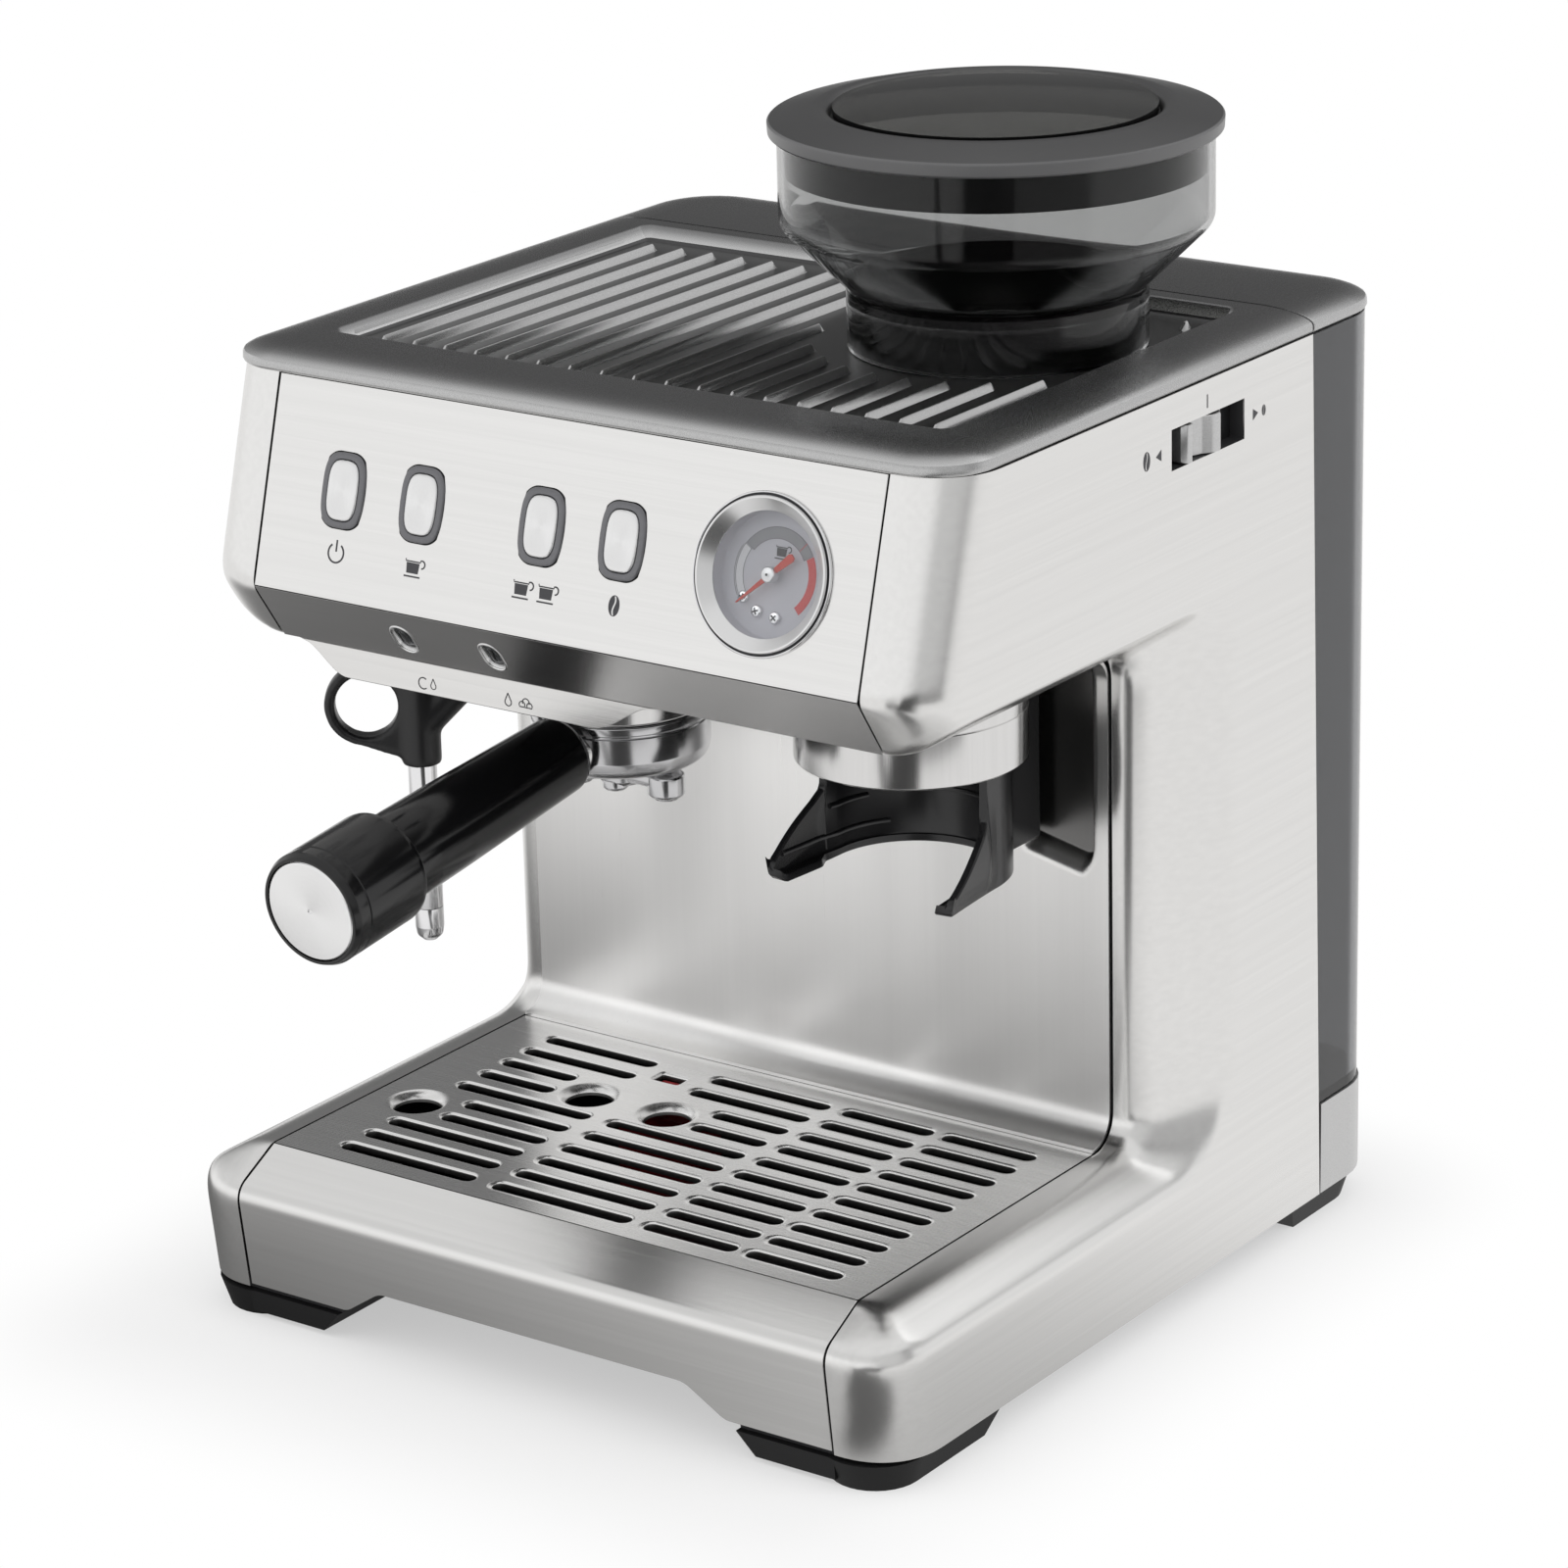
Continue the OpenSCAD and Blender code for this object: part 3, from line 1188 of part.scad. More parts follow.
module lid_window() {
    bow_r = 480;
    top = lid_z + 11;
    color("#3c3f42", 0.75) at_hopper() intersection() {
        translate([0, 0, lid_z + 5.3]) cylinder(h = 12, r = window_r, $fn = 128);
        translate([0, 0, top - bow_r]) difference() {
            sphere(r = bow_r, $fn = 400);
            sphere(r = bow_r - 2.4, $fn = 400);
        }
    }
}

// ---------- grind setting on the right side ----------

slider_x = body_w / 2 - casing_t - 2.4;

module slider_guide() {
    x0 = slider_x - 3.2;
    color("#141416") difference() {
        translate([x0, slot_y - slot_len / 2 - 4, slot_z - slot_h / 2 - 4])
            cube([body_w / 2 - casing_t - seat - x0, slot_len + 8, slot_h + 8]);
        translate([slider_x - 1, slot_y - slot_len / 2, slot_z - slot_h / 2]) cube([20, slot_len, slot_h]);
    }
}

// Thumb slider with a waved grip on a wider carrier plate.
module grind_slider() {
    h = slot_h - 2 * seat - 0.4;
    x0 = slider_x - 1 + seat;
    x1 = body_w / 2 + slider_proud;
    color("#c4c4c6") {
        translate([x0, slot_y - 9, slot_z - h / 2]) cube([3, 24, h]);
        translate([0, slot_y - 2.7, slot_z - h / 2]) linear_extrude(h) polygon([
            [x0, -12.3], [x1 - 1.6, -12.3], [x1 - 0.6, -11], [x1 - 0.4, -8.4], [x1 - 1.6, -6], [x1 - 2.2, -1.5],
            [x1 - 1.4, 4], [x1 - 0.1, 8], [x1, 10.6], [x1 - 1, 12.3], [x0, 12.3]]);
    }
}

module pump() {
    z = base_z + 60;
    y = (wall_y + cover_seam_y) / 2;
    color("#8a8a8e") translate([-52, y, z]) rotate([0, 90, 0]) {
        cylinder(h = 62, r = 17);
        translate([0, 0, -14]) cylinder(h = 15, r = 9);
        translate([0, 0, 61.9]) cylinder(h = 12, r = 7);
    }
    color("#8a8a8e") translate([-44, y - 14, base_z + 3 + seat]) cube([46, 28, 60 - 3 - seat - 15]);
}

placed() base_pan();
placed() feet();
placed() column_frame();
placed() head_frame();
placed() side_casing_left();
placed() side_casing_right();
placed() front_panel();
placed() lip_panel();
placed() under_plate();
placed() back_wall();
placed() top_cover();
placed() tank_base();
placed() tank_lid();
placed() water_tank();
placed() tank_valve();
placed() cord_gland();
placed() tray_fascia();
placed() drip_tray();
placed() drip_grid();
placed() float();
placed() button_power();
placed() button_one_cup();
placed() button_two_cups();
placed() button_grind();
placed() button_rings();
placed() control_board();
placed() gauge_case();
placed() gauge_bezel();
placed() gauge_glass();
placed() gauge_needle();
placed() indicator_lenses();
placed() group_head();
placed() group_gasket();
placed() shower_screen();
placed() thermoblock();
placed() portafilter();
placed() filter_basket();
placed() spouts();
placed() handle();
placed() handle_sleeve();
placed() handle_disc();
placed() wand_ball();
placed() wand_tube();
placed() wand_tip();
placed() wand_grip();
placed() steam_valve();
placed() steam_knob();
placed() grinder_outlet();
placed() grinder_cradle();
placed() grinder_body();
placed() burr_ring();
placed() burr_cone();
placed() grinder_motor();
placed() hopper();
placed() hopper_lid();
placed() lid_window();
placed() slider_guide();
placed() grind_slider();
placed() pump();
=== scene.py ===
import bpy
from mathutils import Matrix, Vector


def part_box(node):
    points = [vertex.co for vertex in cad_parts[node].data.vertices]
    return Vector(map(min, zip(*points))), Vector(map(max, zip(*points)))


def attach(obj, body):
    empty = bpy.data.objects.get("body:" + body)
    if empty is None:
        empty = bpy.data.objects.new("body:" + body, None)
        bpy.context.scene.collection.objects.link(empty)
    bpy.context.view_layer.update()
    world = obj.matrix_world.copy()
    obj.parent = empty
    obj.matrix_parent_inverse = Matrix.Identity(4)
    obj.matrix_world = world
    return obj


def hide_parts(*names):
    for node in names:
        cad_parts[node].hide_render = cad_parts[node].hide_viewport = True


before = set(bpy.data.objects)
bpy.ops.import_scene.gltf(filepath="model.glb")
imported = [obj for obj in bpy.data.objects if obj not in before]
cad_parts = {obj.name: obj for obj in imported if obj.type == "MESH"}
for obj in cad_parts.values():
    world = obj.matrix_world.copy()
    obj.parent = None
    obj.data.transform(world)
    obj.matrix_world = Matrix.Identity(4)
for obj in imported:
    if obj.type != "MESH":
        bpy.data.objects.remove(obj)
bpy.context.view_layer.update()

import logging
import math
from dataclasses import dataclass
from enum import Enum
from typing import Any, Callable, Iterable, Sequence

import bmesh
import bpy
import numpy as np
from mathutils import Matrix, Vector
from mathutils.geometry import tessellate_polygon

log = logging.getLogger("espresso_machine")
Array = np.ndarray
Rgb = tuple[float, float, float]
Material = bpy.types.Material
Piece = bpy.types.Object
MM = 0.001
WELD = 1e-6


# ---------------------------------------------------------------- shader maths


class Expr:
    """A number that varies over a surface, with ordinary arithmetic that adds Math nodes."""

    def __init__(self, graph: "Graph", socket: Any) -> None:
        """Wraps a socket or a plain number of a graph."""
        self.graph = graph
        self.socket = socket

    def op(self, operation: str, *others: Any) -> "Expr":
        """Adds one Math node.

        Args:
            operation: the Math node's operation.
            others: further operands, expressions or numbers.

        Returns:
            The node's result as an expression.
        """
        inputs = {0: self}
        inputs.update({i + 1: v for i, v in enumerate(others)})
        made = self.graph.node("ShaderNodeMath", {"operation": operation}, inputs)
        return Expr(self.graph, made.outputs[0])

    def __add__(self, o: Any) -> "Expr":
        """Sum."""
        return self.op("ADD", o)

    __radd__ = __add__

    def __mul__(self, o: Any) -> "Expr":
        """Product."""
        return self.op("MULTIPLY", o)

    __rmul__ = __mul__

    def __sub__(self, o: Any) -> "Expr":
        """Difference."""
        return self.op("SUBTRACT", o)

    def __rsub__(self, o: Any) -> "Expr":
        """Reflected difference, so that 1 - mask works."""
        return Expr(self.graph, o).op("SUBTRACT", self)

    def __truediv__(self, o: Any) -> "Expr":
        """Quotient."""
        return self.op("DIVIDE", o)

    def __rtruediv__(self, o: Any) -> "Expr":
        """Reflected quotient."""
        return Expr(self.graph, o).op("DIVIDE", self)

    def __pow__(self, o: Any) -> "Expr":
        """Power."""
        return self.op("POWER", o)

    def abs(self) -> "Expr":
        """Magnitude."""
        return self.op("ABSOLUTE")

    def sin(self) -> "Expr":
        """Sine of an angle in radians."""
        return self.op("SINE")

    def ramp(self, low: float, high: float) -> "Expr":
        """Goes smoothly from 0 to 1, by the cubic 3t² - 2t³ of the share t between two values.

        Args:
            low: the value that gives 0.
            high: the value that gives 1.

        Returns:
            the step as an expression.
        """
        made = self.graph.node(
            "ShaderNodeMapRange",
            {"interpolation_type": "SMOOTHSTEP"},
            {"Value": self, "From Min": low, "From Max": high, "To Min": 0.0, "To Max": 1.0},
        )
        return Expr(self.graph, made.outputs["Result"])


class Graph:
    """The node tree of one material or world, built through one general node method."""

    def __init__(self, name: str, world: bool = False) -> None:
        """Makes an empty tree.

        Args:
            name: the name of its material or world.
            world: whether it belongs to a world.
        """
        self.material = (bpy.data.worlds if world else bpy.data.materials).new(name)
        self.material.use_nodes = True
        self.tree = self.material.node_tree
        self.tree.nodes.clear()
        self.output = self.node("ShaderNodeOutputWorld" if world else "ShaderNodeOutputMaterial")

    def node(
            self, kind: str, settings: dict[str, Any] | None = None, inputs: dict[Any, Any] | None = None
    ) -> Any:
        """Adds a node, applies its settings and fills its inputs.

        Args:
            kind: the node's type.
            settings: attributes to set first.
            inputs: socket name or number to a value, a socket, or an expression.

        Returns:
            The node.
        """
        made = self.tree.nodes.new(kind)
        for key, value in (settings or {}).items():
            setattr(made, key, value)
        for key, value in (inputs or {}).items():
            target = made.inputs[key]
            value = value.socket if isinstance(value, Expr) else value
            if isinstance(value, bpy.types.NodeSocket):
                self.tree.links.new(value, target)
            elif isinstance(value, tuple) and len(value) == 3 and target.type == "RGBA":
                target.default_value = (*value, 1.0)
            else:
                target.default_value = value
        return made

    def place(self, centre: Sequence[float] = (0, 0, 0), turn: Sequence[float] = (0, 0, 0)) -> Any:
        """Object coordinates in metres, seen from a centre and turned.

        Args:
            centre: the point that becomes the pattern's origin.
            turn: Euler angles of the pattern's frame.

        Returns:
            A vector socket.
        """
        coords = self.node("ShaderNodeTexCoord").outputs["Object"]
        if not any(centre) and not any(turn):
            return coords
        about_x, about_y, about_z = (Matrix.Rotation(angle, 4, axis) for angle, axis in zip(turn, "XYZ"))
        m = Matrix.Translation(Vector(centre)) @ about_z @ about_y @ about_x
        made = self.node(
            "ShaderNodeMapping",
            {"vector_type": "TEXTURE"},
            {"Vector": coords, "Location": tuple(m.to_translation()), "Rotation": tuple(m.to_euler())},
        )
        return made.outputs[0]

    def stretched(self, vector: Any, scale: Sequence[float]) -> Any:
        """A vector multiplied axis by axis."""
        made = self.node("ShaderNodeVectorMath", {"operation": "MULTIPLY"}, {0: vector, 1: tuple(scale)})
        return made.outputs[0]

    def noise(self, vector: Any, scale: float = 1.0, detail: float = 2.0, rough: float = 0.5) -> Expr:
        """Smooth noise of about 0.5 on average.

        Args:
            vector: where it is read.
            scale: its cells per unit.
            detail: octaves added.
            rough: share of each next octave.

        Returns:
            The noise as an expression.
        """
        made = self.node(
            "ShaderNodeTexNoise", None,
            {"Vector": vector, "Scale": scale, "Detail": detail, "Roughness": rough})
        return Expr(self, made.outputs[0])

    def parts(self, vector: Any) -> tuple[Expr, Expr, Expr]:
        """The three components of a vector."""
        made = self.node("ShaderNodeSeparateXYZ", None, {0: vector})
        return Expr(self, made.outputs[0]), Expr(self, made.outputs[1]), Expr(self, made.outputs[2])

    def blend(self, mask: Any, a: Any, b: Any) -> Any:
        """A colour that goes from a to b as the mask goes from 0 to 1."""
        made = self.node("ShaderNodeMix", {"data_type": "RGBA"}, {0: mask, 6: a, 7: b})
        return made.outputs[2]

    def bump(self, height: Expr, distance: float, strength: float = 1.0) -> Any:
        """A normal from a height.

        Args:
            height: the height.
            distance: metres per unit of height.
            strength: share of the effect.

        Returns:
            A vector socket.
        """
        made = self.node(
            "ShaderNodeBump", None, {"Height": height, "Distance": distance, "Strength": strength})
        return made.outputs[0]

    def shade(self, **values: Any) -> Material:
        """Ends the tree in a Principled shader.

        Args:
            values: its inputs, with underscores for spaces.

        Returns:
            The finished material.
        """
        inputs = {key.replace("_", " ") if key != "IOR" else key: value for key, value in values.items()}
        shader = self.node("ShaderNodeBsdfPrincipled", None, inputs)
        self.tree.links.new(shader.outputs[0], self.output.inputs[0])
        return self.material


# -------------------------------------------------------------------- finishes


def tint(colour: Rgb, factor: float) -> Rgb:
    """A colour times a factor."""
    return tuple(c * factor for c in colour)


class Grain(Enum):
    """Direction in which a sheet is brushed."""

    ACROSS = (14.0, 2200.0, 2200.0)
    ALONG = (2200.0, 14.0, 2200.0)
    UPRIGHT = (2200.0, 2200.0, 14.0)


@dataclass(frozen=True)
class Brushed:
    """Stainless sheet with a straight grain, faint streaks and handling marks."""

    name: str
    grain: Grain = Grain.ACROSS
    colour: Rgb = (0.80, 0.795, 0.785)
    roughness: float = 0.24
    depth: float = 0.0000025
    streak: float = 0.0
    pocket: float = 0.0

    def material(self) -> Material:
        """Builds it: noise stretched along the grain varies colour, roughness and height.

        Streaks are broad soft bands along the grain. Behind the pocket's depth along Y it turns dark grey:
        painted shade in the splash wall's pocket.

        Returns:
            the material.
        """
        g = Graph(self.name)
        place = g.place()
        fine = g.noise(g.stretched(place, self.grain.value), 1.0, 3.0, 0.6)
        hair = g.noise(g.stretched(place, [v * 0.21 for v in self.grain.value]), 1.0, 2.0, 0.5)
        cloud = g.noise(place, 9.0, 3.0)
        rough = self.roughness + (fine - 0.5) * 0.06 + (cloud - 0.5) * 0.05
        tone = (fine * 0.5 + hair * 0.5).ramp(0.25, 0.75)
        low = tint(self.colour, 0.965)
        high = tuple(min(c, 1.0) for c in tint(self.colour, 1.02))
        if self.streak:
            broad = g.stretched(place, [22.0 if v > 100 else 3.0 for v in self.grain.value])
            bands = g.noise(broad, 1.0, 1.0, 0.4).ramp(0.3, 0.7)
            low = tint(self.colour, 1 - self.streak)
            tone = tone * 0.15 + bands * 0.85
            rough = rough + (0.5 - bands) * 0.08
        colour: Any = g.blend(tone, low, high)
        # painted shade: behind the pocket's depth along Y the colour turns dark grey
        if self.pocket:
            _, y, _ = g.parts(place)
            colour = g.blend(y.ramp(self.pocket, self.pocket + 0.0035), colour, (0.2, 0.198, 0.195))
        return g.shade(
            Base_Color=colour,
            Metallic=1.0,
            Roughness=rough,
            Normal=g.bump(fine * 0.65 + hair * 0.35, self.depth * 10, 0.5),
        )


@dataclass(frozen=True)
class Polished:
    """Plated or polished metal with faint swirls."""

    name: str
    colour: Rgb = (0.86, 0.86, 0.87)
    roughness: float = 0.07

    def material(self) -> Material:
        """Builds it: smears vary the roughness, and a fine ripple the height.

        Returns:
            the material.
        """
        g = Graph(self.name)
        place = g.place()
        smear = g.noise(place, 60.0, 3.0)
        return g.shade(
            Base_Color=self.colour,
            Metallic=1.0,
            Roughness=self.roughness + smear * 0.05,
            Normal=g.bump(g.noise(place, 900.0, 2.0), 0.00001, 0.25),
        )


@dataclass(frozen=True)
class Spun:
    """Metal turned on a lathe: fine rings about a centre, in the plane across an axis."""

    name: str
    centre: tuple[float, float, float]
    lean: float = 0.0
    colour: Rgb = (0.86, 0.86, 0.86)
    roughness: float = 0.22
    pitch: float = 0.00032

    def material(self) -> Material:
        """Builds it: the rings are the sine of the distance from the centre over the pitch.

        Their plane's normal leans up from the front by the lean.

        Returns:
            the material.
        """
        g = Graph(self.name)
        place = g.place(self.centre, (-self.lean, 0.0, 0.0))
        x, _, z = g.parts(place)
        radius = (x * x + z * z) ** 0.5
        wobble = g.noise(place, 400.0, 1.0) * 0.4
        rings = (radius * (2 * math.pi / self.pitch) + wobble).sin()
        rough = self.roughness + rings * 0.03
        flat = g.node("ShaderNodeCombineXYZ", None, {0: radius * 2600.0, 1: 0.0, 2: 0.0}).outputs[0]
        uneven = g.noise(flat, 1.0, 3.0, 0.7)
        return g.shade(
            Base_Color=g.blend(uneven, tint(self.colour, 0.93), self.colour),
            Metallic=1.0,
            Roughness=rough,
            Normal=g.bump(rings * 0.4 + uneven, 0.00004, 0.7),
        )


@dataclass(frozen=True)
class MetallicPaint:
    """Satin lacquer with metal flake."""

    name: str
    colour: Rgb
    roughness: float = 0.36
    metallic: float = 0.75
    band: float = 0.0
    highlight_colour: Rgb = (0.5, 0.5, 0.5)
    spread: float = 0.0008

    def material(self) -> Material:
        """Builds it: flakes from fine noise; under the band's height it turns to a paler colour, a painted
        highlight.

        Returns:
            the material.
        """
        g = Graph(self.name)
        place = g.place()
        flake = g.noise(place, 2600.0, 2.0, 0.7)
        cloud = g.noise(place, 14.0, 3.0)
        tone: Any = g.blend(flake.ramp(0.3, 0.7), tint(self.colour, 0.9), tint(self.colour, 1.08))
        # painted highlight: paler colour under the band's height
        if self.band:
            _, _, z = g.parts(place)
            tone = g.blend(z.ramp(self.band, self.band + self.spread), self.highlight_colour, tone)
        return g.shade(
            Base_Color=tone,
            Metallic=self.metallic,
            Roughness=self.roughness + (flake - 0.5) * 0.1 + (cloud - 0.5) * 0.05,
            Normal=g.bump(flake, 0.00002, 0.35),
        )


@dataclass(frozen=True)
class Moulded:
    """Injection-moulded plastic or rubber with a fine spark texture."""

    name: str
    colour: Rgb
    roughness: float = 0.42
    texture: float = 0.4
    coat: float = 0.0
    skirt: float = 0.0
    colour_below: Rgb = (0.006, 0.006, 0.007)

    def material(self) -> Material:
        """Builds it: spark texture from fine noise; under the skirt's height it turns to a darker colour.

        Returns:
            the material.
        """
        g = Graph(self.name)
        place = g.place()
        spark = g.noise(place, 1800.0, 2.0, 0.6)
        cloud = g.noise(place, 25.0, 3.0)
        tone: Any = g.blend(cloud, tint(self.colour, 0.85), tint(self.colour, 1.12))
        # darker under the skirt's height; on the hopper lid this is painted shade under its rim
        if self.skirt:
            _, _, z = g.parts(place)
            tone = g.blend(z.ramp(self.skirt, self.skirt + 0.0002), self.colour_below, tone)
        return g.shade(
            Base_Color=tone,
            Roughness=self.roughness + (spark - 0.5) * 0.12 * self.texture + (cloud - 0.5) * 0.04,
            Normal=g.bump(spark, 0.00003, self.texture),
            Coat_Weight=self.coat,
            Coat_Roughness=0.04,
        )


@dataclass(frozen=True)
class Smoked:
    """Clear plastic tinted grey, with a trace of haze."""

    name: str
    colour: Rgb = (0.30, 0.31, 0.32)
    roughness: float = 0.03
    clearness: float = 1.0
    rim: float = 1.0
    ior: float = 1.49

    def material(self) -> Material:
        """Builds it, darker by the rim's factor where more of the wall is looked through.

        Returns:
            the material.
        """
        g = Graph(self.name)
        place = g.place()
        haze = g.noise(place, 30.0, 3.0)
        tone: Any = g.blend(haze, tint(self.colour, 0.94), self.colour)
        if self.rim < 1.0:
            facing = Expr(g, g.node("ShaderNodeLayerWeight", None, {"Blend": 0.5}).outputs["Facing"])
            tone = g.blend(facing.ramp(0.62, 0.97), tone, tint(self.colour, self.rim))
        return g.shade(
            Base_Color=tone,
            Roughness=self.roughness + haze * 0.015,
            Transmission_Weight=self.clearness,
            IOR=self.ior,
        )


@dataclass(frozen=True)
class Cast:
    """Cast or sand-textured metal."""

    name: str
    colour: Rgb
    roughness: float = 0.5

    def material(self) -> Material:
        """Builds it: grit from rough noise varies colour, roughness and height.

        Returns:
            the material.
        """
        g = Graph(self.name)
        place = g.place()
        grit = g.noise(place, 900.0, 4.0, 0.7)
        return g.shade(
            Base_Color=g.blend(grit, tint(self.colour, 0.8), self.colour),
            Metallic=1.0,
            Roughness=self.roughness + (grit - 0.5) * 0.2,
            Normal=g.bump(grit, 0.00012, 0.6),
        )


@dataclass(frozen=True)
class Board:
    """Circuit board lacquer with copper tracks that show through."""

    name: str
    colour: Rgb = (0.03, 0.16, 0.08)

    def material(self) -> Material:
        """Builds it: tracks are where the product of a sine of x and a sine of z is high.

        Returns:
            the material.
        """
        g = Graph(self.name)
        x, _, z = g.parts(g.place())
        bars = ((x * 900.0).sin() * (z * 700.0).sin()).ramp(0.2, 0.35)
        return g.shade(
            Base_Color=g.blend(bars, self.colour, tint(self.colour, 1.9)),
            Roughness=0.35 - bars * 0.08,
            Normal=g.bump(bars, 0.00004, 0.5),
        )


@dataclass(frozen=True)
class Ink:
    """Printed or pressed marking, slightly uneven at its edges."""

    name: str
    colour: Rgb
    roughness: float = 0.5

    def material(self) -> Material:
        """Builds it: a fine grit varies colour and roughness.

        Returns:
            the material.
        """
        g = Graph(self.name)
        grit = g.noise(g.place(), 3000.0, 2.0)
        return g.shade(
            Base_Color=g.blend(grit, tint(self.colour, 0.85), self.colour),
            Roughness=self.roughness + (grit - 0.5) * 0.1,
        )


class Finishes:
    """Every finish of the machine, each made once."""

    def __init__(self) -> None:
        """Makes the metals and lacquers, then mouldings, clear plastics, inks and castings."""
        self.across = Brushed("steel_across", Grain.ACROSS).material()
        self.flank = Brushed("steel_flank", Grain.ALONG).material()
        # splash wall steel, with painted shade in its pocket behind the given depth along Y
        self.upright = Brushed(
            "steel_upright", Grain.UPRIGHT, (0.95, 0.945, 0.935), 0.33, streak=0.14, pocket=0.0371
        ).material()
        self.grid = Brushed("steel_grid", Grain.ACROSS, (0.84, 0.836, 0.83), 0.27).material()
        # dark inner walls of the grid's slots: painted shade
        self.slot = Brushed("slot_wall_painted_shade", Grain.UPRIGHT, (0.12, 0.119, 0.117), 0.4).material()
        self.satin = Brushed("steel_satin", Grain.UPRIGHT, (0.74, 0.735, 0.73), 0.17).material()
        self.polished = Polished("chrome_plate").material()
        # graphite of cover and lid: paler on the crown's lower edge, a painted highlight
        self.graphite = MetallicPaint(
            "graphite_lacquer", (0.2, 0.2, 0.202), 0.27, 0.9, band=0.3202, highlight_colour=(0.6, 0.6, 0.6),
            spread=0.0042).material()
        # paler low rim of cover and lid: a painted highlight
        self.pale = MetallicPaint("rim_painted_highlight", (0.5, 0.5, 0.5), 0.27, 0.92).material()
        # dark floor of the cover's recess: painted shade
        self.recess = MetallicPaint("recess_painted_shade", (0.075, 0.075, 0.076), 0.3, 0.85).material()
        self.rib_metal = MetallicPaint("rib_lacquer", (0.5, 0.5, 0.5), 0.2, 0.95).material()
        self.lip = Brushed("lip_steel", Grain.ACROSS, (0.66, 0.655, 0.65), 0.24).material()
        self.holder = Polished("holder_plate", (0.6, 0.6, 0.61), 0.13).material()
        self.bezel = Polished("bezel_steel", (0.8, 0.8, 0.8), 0.26).material()
        self.silver = MetallicPaint("silver_lacquer", (0.58, 0.58, 0.58), 0.3, 0.9).material()
        self.gloss_black = Moulded("gloss_black", (0.0035, 0.0035, 0.004), 0.16, 0.08, 0.0).material()
        self.satin_black = Moulded("satin_black", (0.010, 0.010, 0.011), 0.33, 0.4).material()
        self.cradle_black = Moulded("cradle_black", (0.012, 0.012, 0.013), 0.24, 0.25).material()
        self.rubber = Moulded("foot_rubber", (0.004, 0.004, 0.0045), 0.6, 0.6).material()
        self.moulded = Moulded("inner_moulding", (0.03, 0.03, 0.032), 0.5, 0.6).material()
        self.ring = MetallicPaint("ring_lacquer", (0.17, 0.17, 0.18), 0.34, 0.6).material()
        self.smoke = Smoked("smoked_hopper", (0.60, 0.605, 0.605), 0.01, rim=0.06, ior=1.3).material()
        self.tank = Smoked("smoked_tank", (0.2, 0.205, 0.215), 0.06).material()
        self.window = Smoked("smoked_window", (0.11, 0.11, 0.104), 0.01).material()
        # hopper lid: its skirt below 389.2 mm turns near black, painted shade under the rim seen through
        # the bowl
        self.lid_grey = Moulded("lid_grey", (0.052, 0.052, 0.053), 0.34, 0.3, skirt=0.3892).material()
        # paler outer side of the hopper lid: a painted highlight
        self.lid_edge_highlight = Moulded("lid_edge_highlight", (0.115, 0.115, 0.117), 0.34, 0.3).material()
        self.glass = Smoked("clear_glass", (0.97, 0.98, 0.99), 0.0).material()
        self.lens = Smoked("frosted_lens", (0.8, 0.82, 0.85), 0.25).material()
        self.violet = Moulded("dial_violet", (0.66, 0.655, 0.70), 0.5, 0.15).material()
        self.light = Ink("dial_light", (0.9, 0.9, 0.92)).material()
        self.grey = Ink("dial_grey", (0.36, 0.36, 0.38)).material()
        self.red = Ink("dial_red", (0.78, 0.09, 0.085)).material()
        self.ink = Ink("dark_ink", (0.05, 0.05, 0.055)).material()
        self.needle = Moulded("needle_red", (0.7, 0.06, 0.03), 0.3, 0.1).material()
        self.float_red = Moulded(
            "float_red", (0.5, 0.02, 0.03), 0.3, 0.1, 0.4, 0.0505, (0.17, 0.007, 0.01)).material()
        self.cast = Cast("cast_aluminium", (0.5, 0.5, 0.5)).material()
        self.brass = Cast("plated_brass", (0.56, 0.55, 0.52), 0.32).material()
        self.burr = Brushed("burr_steel", Grain.UPRIGHT, (0.55, 0.55, 0.56), 0.25).material()
        self.board = Board("board_lacquer").material()


# ------------------------------------------------------------- mesh generation


def machine_origin() -> Array:
    """Where machine coordinates start: middle plane, front fold of the tray, table top."""
    left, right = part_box("side_casing_left"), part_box("side_casing_right")
    return np.array([(left[0].x + right[1].x) / 2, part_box("tray_fascia")[0].y, 0.0])


ORIGIN = machine_origin()


def put(points: Array) -> Array:
    """Machine millimetres to part metres."""
    return np.asarray(points, dtype=float) * MM + ORIGIN


def arc(cx: float, cy: float, r: float, a0: float, a1: float, n: int) -> Array:
    """Circular arc: centre plus radius times cosine and sine of an even run of angles in degrees."""
    a = np.radians(np.linspace(a0, a1, n + 1))
    return np.stack([cx + r * np.cos(a), cy + r * np.sin(a)], 1)


